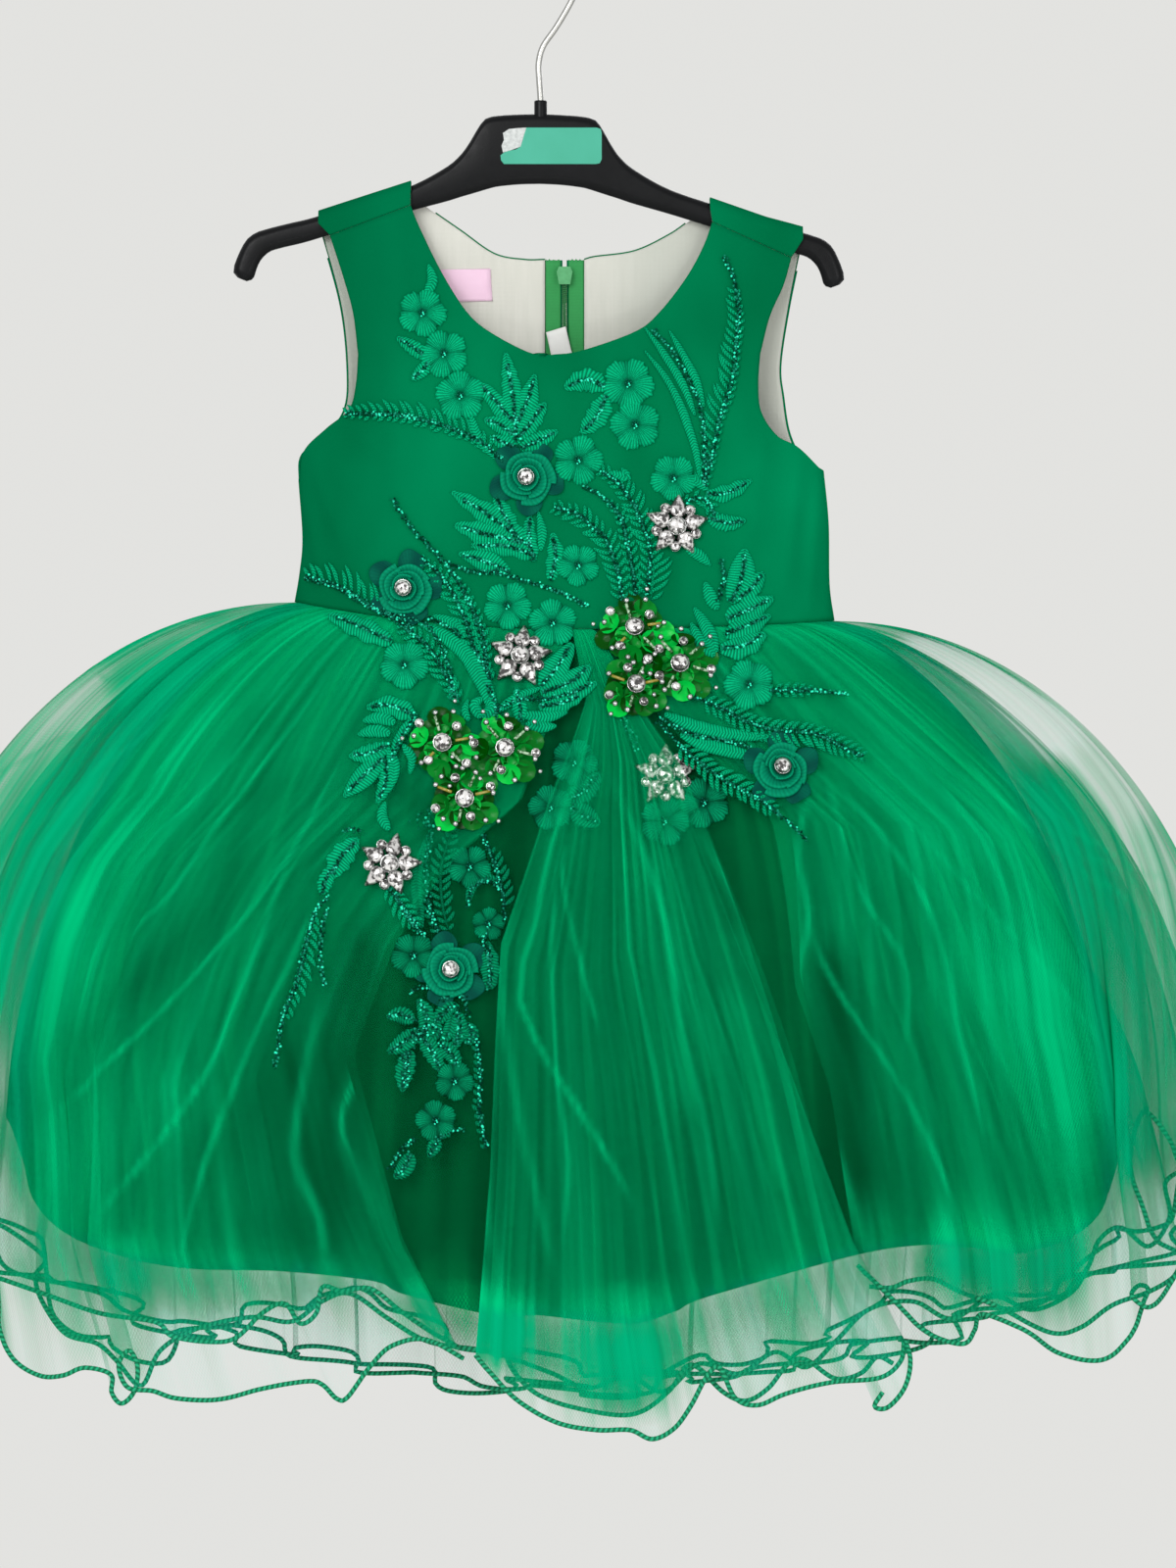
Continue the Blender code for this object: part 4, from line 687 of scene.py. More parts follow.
print("hanger is", round(hanger.dimensions.x, 3), "m across")


# %% Collar and hook
def fresh(add, **values):
    """A new object made by an operator."""
    deselect()
    add(**values)
    return bpy.context.active_object


def edit(made, choose, action, mode="FACE", **values):
    """Selects faces by a test on their middle and normal, and runs an edit operator on them."""
    bpy.ops.object.mode_set(mode="EDIT")
    bpy.ops.mesh.select_mode(type=mode)
    bpy.ops.mesh.select_all(action="DESELECT")
    work = bmesh.from_edit_mesh(made.data)
    for face in work.faces:
        face.select_set(bool(choose(face.calc_center_median(), face.normal)))
    bmesh.update_edit_mesh(made.data)
    action(**values)
    bpy.ops.object.mode_set(mode="OBJECT")


def take_up(made, finish, name):
    """Gives a piece made with operators its name, its finish, its body and its place in its mesh."""
    made.name = made.data.name = name
    made.data.materials.clear()
    made.data.materials.append(finish)
    pick(made)
    bpy.ops.object.transform_apply(location=True, rotation=True, scale=True)
    made.select_set(False)
    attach(made, "dress")
    return made


cylinder, circle = bpy.ops.mesh.primitive_cylinder_add, bpy.ops.mesh.primitive_circle_add
inset, extrude = bpy.ops.mesh.inset, bpy.ops.mesh.extrude_region_move
move, resize = bpy.ops.transform.translate, bpy.ops.transform.resize
everything = lambda at, normal: True
top_of = lambda at, normal: normal.z > 0.9


def sunk(deep):
    inset(thickness=0.0006)
    extrude(TRANSFORM_OT_translate={"value": (0, 0, -deep)})


collar = fresh(cylinder, vertices=32, radius=0.0034, depth=0.0112, location=(TOP_X, 0, TOP_Z + 0.0016))
edit(collar, top_of, bpy.ops.mesh.bevel, "VERT", offset=0.0008, segments=3, affect="EDGES")
edit(collar, lambda at, normal: normal.z > 0.99, sunk, "VERT", deep=0.003)
bpy.ops.object.shade_smooth_by_angle(angle=math.radians(35))
take_up(collar, PLASTIC, "hanger_collar")


def tube(name, path, radius, sides, finish):
    """A round cord or wire along a path, with its own coordinates round and along it."""
    path = np.asarray(path, float)
    ahead = unit(np.gradient(path, axis=0))
    side = np.zeros_like(path)
    side[0] = np.cross(ahead[0], (0.3, 0.9, 0.1))
    for k in range(len(path)):
        last = side[max(k - 1, 0)]
        side[k] = unit(last - ahead[k] * last.dot(ahead[k]))
    up = np.cross(ahead, side)
    turn = np.linspace(0, 2 * np.pi, sides, endpoint=False)[None, :, None]
    size = np.broadcast_to(np.asarray(radius, float), (len(path),))[:, None, None]
    rings = path[:, None] + size * (np.cos(turn) * side[:, None] + np.sin(turn) * up[:, None])
    run, around = run_of(path)[:, None], (np.arange(sides) / sides)[None, :]
    corners = [(around, run[:-1]), (around + 1 / sides, run[:-1]), (around + 1 / sides, run[1:]), (around, run[1:])]
    uv = np.stack([np.stack(np.broadcast_arrays(*corner), -1) for corner in corners], 2).reshape(-1, 2)
    return build(name, rings, ring_faces(len(path), sides), finish, uv=np.vstack([uv, np.zeros((2 * sides, 2))]))


NECK_OF_HOOK = pairs("550 78 549.5 62 554 45 567 26 579 6")
BOW, BOW_MIDDLE = 0.0208, -0.01915
bend = [(TOP_X, TOP_Z + 0.0008), (TOP_X, TOP_Z + 0.0072)]
bend += [(x_of(u), z_of(v)) for u, v in NECK_OF_HOOK]
bend += [(BOW * math.cos(a), BOW_MIDDLE + BOW * math.sin(a)) for a in np.radians(range(-30, 200, 15))]
line = curve(bend, 110)
taper = np.full(len(line), 0.00165)
taper[-4:] *= (0.97, 0.9, 0.75, 0.5)
hook = tube("wire_hook", np.insert(line, 1, 0.0, axis=1), taper, 16, STEEL)
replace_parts(hook, "hook")
print("hook", round(hook.dimensions.z, 3), "m high")

# %% [markdown]
# ## Back of the bodice
# Each half runs from the zip to the side seam, up the strap, round the top of the hanger and down
# to its seam on the front. The same rows are used for the satin and, a little further in, for the
# lining that shows in the neck and in the armholes.


# %% Back halves
def zip_heights(steps):
    return mix(WAIST_MIDDLE[1], BACK_LEFT[1][0, 1], np.linspace(0, 1, steps + 1))


def back_grids(sign, inner=0.0, strip=True):
    side, (arm, neck, fold, seam) = (SIDE_RIGHT, BACK_RIGHT) if sign > 0 else (SIDE_LEFT, BACK_LEFT)
    round_bar = SHOULDER - inner
    lift = (SHOULDER - HALF_BAR) * 1.2 - SHOULDER
    edge_u = float(u_of(ZIP_X + sign * (TAPE_HALF + 0.0003)))
    starts = [(u, float(v_of(hanger_top(x_of(u)) + lift))) for u, _ in fold]
    outer = curves(side, (*arm[:-1], starts[0]), 3 * FINE, 8 * FINE)
    up_zip = np.stack([np.full(6 * FINE + 1, edge_u), zip_heights(6 * FINE)], -1)
    edge = np.vstack([up_zip, curve(((edge_u, neck[0][1]), *neck[1:-1], starts[1]), 5 * FINE)[1:]])
    straight = ease((np.arange(11 * FINE + 1) / FINE - 3) / 3)[:, None]
    share = np.linspace(0, 1, 5 * FINE + 1)
    rows = on_body(*fan(edge, outer[:, None], share[None, :], straight), True, inner)
    last = rows[-1].copy()
    last[:, 1] = round_bar
    last[:, 2] = hanger_top(last[:, 0]) + lift
    blend = ease(np.arange(FINE + 1) / FINE)[:, None]
    rows[-FINE - 1:, :, 1] = mix(rows[-FINE - 1:, :, 1], last[:, 1], blend)
    rows[-FINE - 1:, :, 2] += (last[:, 2] - rows[-1, :, 2]) * blend
    turn = np.radians(np.linspace(15, 180, 12))[:, None]
    over = np.repeat(last[None], 12, 0)
    over[..., 1] = round_bar * np.cos(turn)
    over[..., 2] += round_bar * np.sin(turn)
    ends = mix(seam[1], seam[0], share[:, None])
    end = np.stack([x_of(ends[:, 0]), np.full(len(share), -round_bar), z_of(ends[:, 1]) + SEAM], -1)
    down = [mix(over[-1], end, t) for t in np.linspace(0, 1, 7)[1:]]
    grids = [np.concatenate([rows, over, down])]
    if strip:
        across = np.linspace(float(u_of(ZIP_X + sign * ZIP_SLOT)), edge_u, 6)[None, :]
        grids.append(on_body(across + 0 * up_zip[:, :1], up_zip[:, 1:] + 0 * across, True, inner))
    return [grid[:, ::-sign] for grid in grids]


for side_name, sign in (("left", -1), ("right", 1)):
    satin = joined_cloth(f"satin_bodice_back_{side_name}", back_grids(sign), SATIN, SATIN_THICK)
    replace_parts(satin, f"bodice_back_{side_name}")
    lining = joined_cloth(
        f"cotton_lining_back_{side_name}", back_grids(sign, LINING_IN, False), LINING, LINING_THICK)
    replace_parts(lining, f"lining_back_{side_name}")
    print(side_name, "back", round(area_of(satin), 3), "lining", round(area_of(lining), 3))

# %% [markdown]
# ## Skirt
# All three layers hang from the same waist edge on one kind of form: a quarter oval out to each
# side, which is the balloon of gathered tulle, and a slow slope to the front and the back. A real
# gathered sheet doesn't ripple like a sine wave. Where its folds lie on each other the tulle is
# darker, with a crisp edge. The broad gathers are moved points. The finest are only a value, how
# closely the cloth lies there, which the tulle's finish turns into thread.


# %% Form of the skirt
class Layer:
    """Half width at the waist, depth in front and behind, and how far each grows to the hem."""

    def __init__(self, *numbers):
        self.half, self.front, self.back, self.reach, self.out, self.behind, self.low, self.sag = numbers


LAYERS = {
    "tulle": Layer(0.1430, 0.0280, 0.0180, 0.216, 0.080, 0.034, 0.0002, 1.0),
    "second": Layer(0.1422, 0.0272, 0.0170, 0.198, 0.074, 0.029, 0.0004, 1.35),
    "net": Layer(0.1412, 0.0260, 0.0158, 0.184, 0.062, 0.020, 0.0006, 1.3),
    "underskirt": Layer(0.1392, 0.0240, 0.0138, 0.149, 0.048, 0.008, -0.003, 1.35),
}
WAIST_X = float(x_of((SIDE_LEFT[0][0] + SIDE_RIGHT[0][0]) / 2))
WAIST_Z = [float(z_of(v)) for v in (SIDE_LEFT[0][1], WAIST_MIDDLE[1], SIDE_RIGHT[0][1])]
BELL_DROP = 0.262
FALL = 0.42


def waist_z(s):
    return mix(WAIST_Z[1], np.where(s > 0, WAIST_Z[2], WAIST_Z[0]), s * s)


def spread(layer, q):
    """Half the width of a layer. The inner ones sag, so that only the outer one stands out at the top."""
    share = np.clip(q / BELL_DROP, 0, 1)
    bell = np.sqrt(1.0 - (1.0 - share) ** 2) + 0.05 * np.clip(q - BELL_DROP, 0, None) / 0.15
    return layer.half + layer.reach * bell ** layer.sag


def form(layer, s, q, back=False):
    """Places on a layer: s is -1 at the left side and 1 at the right one, q is how far below the waist."""
    c = np.sqrt(np.clip(1.0 - s * s, 0, 1))
    fall = (np.clip(q, 0, None) / FALL) ** 0.8
    if back:
        y = (layer.back + layer.behind * fall) * c + SEAM
    else:
        y = -(layer.front + layer.out * fall) * c - SEAM
    x = WAIST_X + spread(layer, q) * s
    return np.stack(np.broadcast_arrays(x, y, waist_z(s) - layer.low * (1 - s**6) - q), -1)


def form_normal(layer, s, q, back):
    step = 0.004
    across = form(layer, np.clip(s + step, -1, 0.9999), q, back) - form(layer, np.clip(s - step, -0.9999, 1), q, back)
    down = form(layer, s, q + step, back) - form(layer, s, np.maximum(q - step, 0), back)
    return unit(np.cross(down, across) * (-1 if back else 1))


# Where stiff embroidery holds the tulle flat: across, down and size on the sheet
FLATTENED = rows_of("""
560 640 330
410 880 100
330 930 60
300 1010 60
280 1090 60
455 1000 170
455 1120 130
""")


def looseness(at, least):
    u, v = u_of(at[..., 0]), v_of(at[..., 2])
    held = [np.exp(-((((u - a) ** 2 + (v - b) ** 2) / size**2) ** 2)) for a, b, size in FLATTENED]
    return 1.0 - (1.0 - least) * np.max(held, axis=0)


# Edges of the parted panels: share of the drop, place across
LEFT_INNER = pairs("0 0 0.1 -0.02 0.24 -0.08 0.33 -0.2 0.44 -0.27 0.6 -0.32 0.85 -0.23 1 -0.14")
MIDDLE_LEFT = pairs("0 0.025 0.1 0.045 0.24 -0.026 0.44 -0.096 0.75 -0.107 1 -0.125")
MIDDLE_RIGHT = pairs("0 0.1 0.1 0.15 0.18 0.208 0.26 0.235 0.39 0.28 0.6 0.353 0.86 0.429 1 0.495")
RIGHT_INNER = pairs("0 0.13 0.1 0.19 0.18 0.26 0.29 0.38 0.44 0.365 0.55 0.355 0.7 0.39 1 0.43")
SIDE_L, SIDE_R = pairs("0 -1 1 -1"), pairs("0 1 1 1")

print("layers:", ", ".join(LAYERS))

# %% Hem lines
# Across and down on the sheet. A path that turns back on itself is a loop of the cord.
HEM_LEFT = pairs("""
    -128 1222 -112 1248 -92 1258 -74 1246 -60 1262 -48 1292 -26 1306 -4 1302 3 1322 6 1350 18 1382 44 1397 70 1397
    92 1389 117 1395 118 1413 129 1424 142 1410 145 1386 136 1371 127 1386 136 1408 160 1411 184 1418 228 1419
    271 1409 315 1400 331 1403 347 1418 358 1416 380 1386 401 1364 434 1357 474 1377""")
HEM_LEFT_SECOND = pairs("""
    -118 1205 -95 1232 -60 1240 -30 1268 -8 1296 11 1303 60 1320 108 1335 163 1343 180 1357 217 1362 244 1358 271
    1333 293 1323 309 1343 325 1332 331 1306 352 1311 380 1308 410 1330 440 1350 468 1366""")
HEM_MIDDLE = pairs("""
    488 1376 502 1393 530 1421 569 1443 608 1451 641 1451 663 1460 685 1449 702 1426 717 1398 730 1389 746 1419 768
    1426 796 1415 841 1404 890 1399 911 1382 915 1362 919 1382 913 1410 897 1429 884 1428 892 1414""")
HEM_MIDDLE_SECOND = pairs("""
    500 1350 513 1358 524 1388 552 1415 600 1430 646 1433 680 1411 698 1386 712 1388 735 1412 757 1421 780 1408 800
    1384 818 1379 846 1399 872 1394 890 1377 905 1384""")
HEM_RIGHT = pairs("""
    872 1284 902 1315 940 1349 974 1365 990 1350 1001 1333 1035 1349 1079 1374 1118 1382 1146 1360 1166 1326 1174
    1310 1162 1307 1150 1318 1165 1330 1190 1312 1206 1280 1224 1262 1246 1268 1268 1250 1290 1240""")
HEM_RIGHT_SECOND = pairs("""
    884 1306 905 1308 924 1301 951 1299 979 1313 1012 1327 1068 1354 1101 1349 1134 1327 1168 1315 1196 1298 1203
    1276 1180 1262 1164 1238 1152 1190 1160 1150 1172 1132 1190 1160 1202 1192 1230 1215 1272 1218""")
HEM_NET = pairs("""
    -66 1192 -20 1236 10 1252 43 1276 46 1286 37 1298 44 1322 70 1356 103 1366 122 1382 148 1408 166 1372 205 1350
    260 1338 300 1342 330 1322 360 1314 400 1340 440 1362 500 1372 560 1392 600 1408 640 1396 676 1412 712 1384
    752 1394 790 1372 820 1388 850 1362 884 1330 930 1322 968 1340 1010 1318 1050 1332 1090 1316 1108 1290 1119
    1262 1141 1250 1172 1270 1196 1240 1190 1205 1218 1190""")
HEM_UNDERSKIRT = pairs("""
    4 1140 24 1183 32 1224 64 1256 121 1279 191 1292 287 1294 383 1304 414 1317 514 1340 548 1338 641 1346 689 1334
    720 1320 872 1278 948 1268 990 1271 1035 1278 1090 1262 1130 1225 1148 1160""")
HEM_BACK = pairs("-128 1222 0 1290 160 1350 350 1395 576 1428 800 1400 1000 1352 1160 1290 1290 1240")


def wavy(line, waves, seed, high=14.0, back=24.0):
    """A hem that stands in loops, all along a line."""
    t = np.linspace(0, 1, 600)
    along = mix(line[0][0], line[-1][0], t)
    turn = 2 * np.pi * waves * t + 0.9 * np.sin(6.5 * t + seed)
    uneven = (0.65 + 0.35 * np.sin(4.1 * turn / waves + 3 * seed)) * np.clip(np.minimum(t, 1 - t) / 0.03, 0, 1)
    u = along - back * uneven * np.sin(2 * turn)
    v = table(line, along) + high * uneven * (np.sin(turn) + 0.3 * np.sin(1.7 * turn + seed))
    return np.stack([u, v], -1)[::6]


print(len(HEM_LEFT) + len(HEM_MIDDLE) + len(HEM_RIGHT), "places along the front hem")

# %% [markdown]
# Tulle can't be ironed, so it keeps the folds that it was packed in. Thin ones are crisp, and
# lighter than the cloth beside them because three thicknesses lie on each other. Broad ones are
# places where the layers bunch up or part. They are placed one by one, each along its own line.

# %% Folds, each along its own line
# Half width on the sheet, how much more cloth lies there, how far it stands out in mm, and its line
FOLDS = rows_of("""
3 1.6 0.8 312 633 228 681 179 725 108 779 54 828 0 877
2.6 2 1 347 670 304 736 233 828 179 909 141 947 130 969
2.6 2.6 1 358 757 304 860 260 925 217 974 163 1034 108 1088 54 1142
3 2.8 1 304 860 271 947 239 1034 211 1099 163 1164 114 1224 98 1251
3.2 2.2 0.8 325 904 304 969 266 1045 228 1142 201 1224 184 1300
2.2 1.8 0.6 300 690 262 742 216 800 160 850 120 900
2.2 1.4 0.6 245 690 200 745 150 800 96 850
8 0.7 1.5 380 947 399 980 390 1023 374 1072 352 1121 347 1153 369 1197 390 1235 407 1272 434 1316 472 1359
2.4 2.6 0.8 396 985 388 1030 368 1090 350 1140 362 1180
4 1.6 0.8 466 1175 434 1197 412 1235 407 1262
4 1.8 0.8 407 1262 434 1289 461 1278 483 1305 504 1359
5 1.6 0.8 330 1010 312 1100 304 1180 330 1240 334 1300
2.5 2.4 0.6 85 680 115 693 145 690
2.5 2.4 0.6 -20 795 0 785 60 755 110 740
5 1.6 0.6 190 640 150 690 120 740 98 770
4 2.2 0.8 835 783 818 833 813 877 824 933 813 988 807 1044 824 1088 841 1127
3 2.4 0.8 841 789 857 844 879 911 918 977 924 1022 918 1077
3.4 2.6 1 846 789 896 850 940 911 963 977 974 1044 990 1110 1001 1155
3 2.4 0.8 824 933 835 977 868 1033 907 1088 940 1155 968 1227 974 1254
3 1.8 0.8 868 783 924 833 979 899 1012 933 1057 977 1118 1060 1146 1099
2.5 1.6 0.6 951 783 1007 866 1040 944 1068 999 1096 1044
2.5 1.8 0.6 979 766 1035 833 1090 877 1200 955
3 1.6 0.6 879 711 951 766 1007 811 1090 861 1200 922
2.5 2.2 0.6 935 690 1007 750 1068 820 1129 870 1200 905
3 2.8 1 608 705 591 783 563 866 547 944 530 1010 552 1071 608 1160 652 1238
2.5 2 0.8 580 855 574 899 596 999 613 1055
4 2.2 1 619 783 657 877 680 955 691 1044 713 1132 724 1199 730 1266
5 2.2 1.2 702 838 746 911 780 988 802 1060 835 1132 863 1210 885 1293 902 1360
3 1.8 0.8 569 877 563 988 569 1099 580 1188 574 1266
5 1.4 0.8 535 911 513 988 524 1099 547 1210 574 1321
6 1.2 0.8 508 988 502 1099 497 1210 513 1321
28 -0.65 0 336 763 260 828 228 904 179 969 108 1034 65 1088
42 -0.5 0 330 1010 270 1120 180 1200 90 1220
34 -0.82 0 368 900 372 1050 340 1170 350 1290
26 -0.7 0 405 790 440 840 452 900
20 -0.45 0 300 715 210 775 130 850
26 2.6 0 250 648 170 676 100 700
46 -0.95 0 900 640 970 682 1035 730 1100 790
34 3.4 0 430 1300 500 1350 600 1390 720 1380
24 -0.55 0 700 820 735 900 760 960
32 0.9 0 410 1200 440 1230 470 1290
44 0.5 0 880 680 920 780 960 900
50 0.6 0 60 1120 120 1200 200 1240
30 -0.45 0 350 960 330 1060 350 1150 380 1230
18 -0.6 0 310 1060 304 1130 306 1210
44 0.8 0 1030 960 1080 1060 1110 1160
26 0.8 0 60 880 90 980 100 1060
26 -0.6 0 1060 690 1120 760 1180 850
30 1.4 0 80 1290 200 1300 330 1310
60 1.6 0 980 930 1050 1030 1090 1110 1120 1220
26 1.4 0 10 1280 80 1340 110 1390
34 -0.55 0 225 1370 290 1388 345 1370
32 5.2 0 420 1290 470 1330 530 1380
16 1.8 0 330 1280 345 1320 350 1370
16 1.8 0 780 1290 800 1340 805 1400
80 2.6 0 230 690 90 800 10 920 -40 1100
50 0.9 0 200 1080 140 1180 90 1260
30 3.2 0 640 1300 648 1370 652 1450
46 6 0 930 1270 1020 1290 1110 1290
22 2.2 0 130 1250 140 1330 140 1410
7 -0.6 0 672 880 700 990 718 1070 734 1150
22 1.3 0 645 840 680 950 696 1060 702 1150
20 1.1 0 735 1000 770 1120 800 1220
30 -0.95 0 836 940 856 1060 868 1160 885 1250
36 -0.25 0 760 960 790 1100 800 1250
50 0.6 0 900 720 950 830 1010 960 1070 1120
80 2.4 0 1000 760 1090 860 1190 980 1250 1150
""")
BROAD = 9.5


def fold_at(u, v, points, width):
    """How close each place is to a fold's line, 1 on it, fading towards the fold's ends."""
    reach = width * 3
    low, high = points.min(0) - reach, points.max(0) + reach
    inside = (u > low[0]) & (u < high[0]) & (v > low[1]) & (v < high[1])
    a, b = u[inside], v[inside]
    line = curve(points, 14)
    near, where = np.full(a.shape, 1e9), np.zeros(a.shape)
    for k, (p, n) in enumerate(zip(line[:-1], line[1:])):
        step = n - p
        along = np.clip(((a - p[0]) * step[0] + (b - p[1]) * step[1]) / (step @ step), 0, 1)
        off = np.hypot(a - p[0] - along * step[0], b - p[1] - along * step[1])
        closer = off < near
        near, where = np.where(closer, off, near), np.where(closer, k + along, where)
    whole = np.zeros(u.shape)
    whole[inside] = np.exp(-((near / width) ** 2)) * ease(np.minimum(where, 14 - where) / 3.0 + 0.15)
    return whole


print(len(FOLDS), "folds")


# %% Gathered sheets
def patches(w, t, seed):
    """Slow uneven changes over a sheet, from 0 to 1."""
    first = np.sin(2 * np.pi * (1.7 * w + 0.5 * t) + seed) * np.sin(2 * np.pi * (3.1 * w - 0.35 * t) + 2 * seed)
    second = np.sin(2 * np.pi * (4.3 * w + 0.25 * t) + 3 * seed)
    return np.clip(0.5 + 0.38 * first + 0.2 * second, 0, 1)


def straighten(layer, s, q, s_left, s_right):
    """Folds run out from the waist like the ribs of a fan, not round the balloon, so they are drawn
    in towards the middle while the edges of the sheet stay where they are."""
    ratio = (layer.half + layer.reach * np.clip(q / 0.33, 0, 1) ** 0.85) / spread(layer, q)
    drawn, low, high = (k * mix(ratio, 1.0, k**4) for k in (s, s_left, s_right))
    return s_left + (drawn - low) * (s_right - s_left) / (high - low)


def smoothed(values, width):
    """A running mean with its ends carried on."""
    padded = np.pad(values, width, mode="edge")
    return np.convolve(padded, np.ones(2 * width + 1) / (2 * width + 1), mode="valid")


def streaks(w, share, seed):
    """Narrow uneven bands where the cloth lies closer or thinner, about -1 to 1."""
    total = 0.0
    for k, (often, strong) in enumerate(((5, 0.34), (9, 0.32), (17, 0.28), (31, 0.18))):
        sway = 1.3 * np.sin(2 * np.pi * 1.3 * w + k + seed) + 0.7 * k * share
        total = total + strong * np.sin(2 * np.pi * often * w + 1.7 * seed * (k + 1) + sway)
    for k, (often, strong) in enumerate(((7, 0.9), (15, 0.7), (27, 0.5))):
        sway = 1.6 * np.sin(2 * np.pi * 1.7 * w + k + seed) + 0.5 * k * share
        line = np.clip(np.sin(2 * np.pi * often * w + 2.1 * seed * (k + 1) + sway), 0, 1) ** 9
        total = total + strong * (line - 0.15) * patches(w, share, seed + 4 * k)
    return total * (0.4 + 0.9 * patches(w, share, seed + 9))


# How closely each kind of cloth is gathered, from the waist to the hem
OUTER_CLOTH = pairs("0 9 0.03 4.5 0.1 2.6 0.4 1.7 0.7 1.45 1 1.15")
INNER_CLOTH = pairs("0 8 0.04 4.5 0.15 3.4 0.45 2.5 0.65 2 0.8 1.7 0.9 1.4 1 1.3")
NET_CLOTH = pairs("0 8 0.04 5 0.4 3.4 0.75 2 0.9 1.3 1 1.2")
MIDDLE_CLOTH = pairs("0 6 0.04 2.6 0.15 1.5 0.4 1.1 0.7 1.1 0.88 1.5 1 2.1")


def gathered(name, layer, left, right, hem, finish, waves, seed, columns, rows, depth, *, cloth=OUTER_CLOTH,
             back=False, middling=0.0012, lift=0.0, least=0.1, sides=0.0, rim=0.0, folds=0.0, streaky=0.6, thick=0.0):
    """A gathered sheet between two edges, from the waist to a hem line."""
    layer = LAYERS[layer]
    t = np.linspace(0, 1, rows + 1)[:, None]
    w = np.linspace(0, 1, columns + 1)[None, :]
    share = t**1.5
    path = curve(hem, columns)
    hem_x, hem_z = x_of(path[:, 0]), z_of(path[:, 1])
    s_hem = (hem_x - WAIST_X) / (layer.half + layer.reach * 1.03)
    drop = waist_z(np.clip(s_hem, -1, 1)) - layer.low - hem_z
    s_hem = np.clip((hem_x - WAIST_X) / spread(layer, drop), -0.9995, 0.9995)
    s_left, s_right = (np.clip(table(edge, share), -1, 1) for edge in (left, right))
    a_left, a_right = np.arcsin(s_left), np.arcsin(s_right)
    at_hem = (np.arcsin(s_hem) - a_left[-1]) / (a_right[-1] - a_left[-1])
    lead = at_hem[0] if left is SIDE_L else 0.0
    trail = 1 - at_hem[-1] if right is SIDE_R else 0.0
    at_hem = (at_hem - lead) / (1 - lead - trail)
    place = mix(w, np.clip(at_hem, 0, 1)[None, :], ease(share) ** 1.2)
    q = drop[None, :] * share
    s = straighten(layer, np.sin(mix(a_left, a_right, place)), q, s_left, s_right)
    base = form(layer, s, q, back)
    for axis, line in ((0, hem_x), (2, hem_z)):
        base[..., axis] += (line - base[-1, :, axis]) * ease((share - 0.55) / 0.45)
    normal = form_normal(layer, s, q, back)

    hang = smoothed(hem_z, columns // 14) - hem_z
    hang = hang / max(np.abs(hang).max(), 1e-6)
    turn = 2 * np.pi * waves * w + 0.8 * np.sin(4 * np.pi * w + seed) + 0.6 * np.sin(2.4 * share + 3 * w + seed)
    swell = depth * (t / (t + 0.12)) * (0.55 + 0.45 * share)
    out = swell * (0.5 * hang[None, :] * ease(share) + 0.6 * np.sin(turn) * (0.5 + 0.5 * patches(w, t, seed)))
    finer = 2 * np.pi * waves * 3.3 * w + 2.2 * np.sin(2 * np.pi * 2.3 * w + seed) + 1.3 * np.sin(9 * w + 2 * share)
    out = out + middling * np.sin(finer) * ease(t / 0.2) * patches(w, t, seed + 5) * (1 - ease((share - 0.55) / 0.4))
    close = 0.0005 * (1 - ease((share - 0.02) / 0.3)) * ease(t / 0.08)
    streak = streaks(w, share, seed)
    out = out + close * np.sin(3.1 * finer + 3 * np.sin(7 * w)) + 0.0005 * streak * ease(t / 0.1)
    open_edge = np.clip(np.minimum(w, 1 - w) / 0.03, 0, 1)
    out = out * open_edge * looseness(base, least) + lift * ease((t - 0.1) / 0.45) * (0.55 + 0.45 * t)

    bunched, creased = np.ones(out.shape), np.zeros(out.shape)
    u, v = u_of(base[..., 0]), v_of(base[..., 2])
    for width, more, high, *line in FOLDS if folds else ():
        here = fold_at(u, v, pairs(line), width)
        if width > BROAD:
            bunched = bunched * (1 + more * here * folds)
        elif folds > 0.9:
            creased = creased + 2.4 * more * here
            out = out + here * high * 0.001
    grid = base + normal * out[..., None]

    facing = np.abs((unit(np.cross(np.gradient(grid, axis=0), np.gradient(grid, axis=1))) * normal).sum(-1))
    fullness = table(cloth, share) * np.exp(streaky * streak * (1 - 0.3 * ease((share - 0.75) / 0.2))) * bunched
    fullness = fullness * (1 - sides + sides * np.abs(s) ** 2.0 * 2.2)
    fullness = fullness * (1 + rim * ease((np.abs(s) - 0.66) / 0.2) * ease((share - 0.16) / 0.16))
    inner = waist_z(np.clip(s, -1, 1)) - base[..., 2]
    beside = spread(LAYERS["underskirt"], inner) - np.abs(base[..., 0] - WAIST_X)
    above = base[..., 2] - z_of(table(HEM_UNDERSKIRT, u))
    bunched_below = 1 + 1.1 * np.exp(-(((above + 0.008) / 0.016) ** 2))
    closeness = fullness * bunched_below / np.clip(facing, 0.35, 1.0) + creased
    # 1 where the underskirt is behind the sheet: the tulle's finish switches there to its painted light and shade
    # colours for that backing.
    backing_for_painted_light = ease(beside / 0.012) * ease(above / 0.006)

    uv = np.stack(np.broadcast_arrays(w * steps_of(path).sum() * PIXEL, q), -1)
    faces = quads(rows + 1, columns + 1)
    made = build(name, grid, faces if back else faces[:, ::-1], finish, uv=uv,
                 values={"closeness": closeness, "backing_for_painted_light": backing_for_painted_light})
    if thick:
        apply_modifier(made, "SOLIDIFY", thickness=thick, offset=-1.0)
    return made, grid


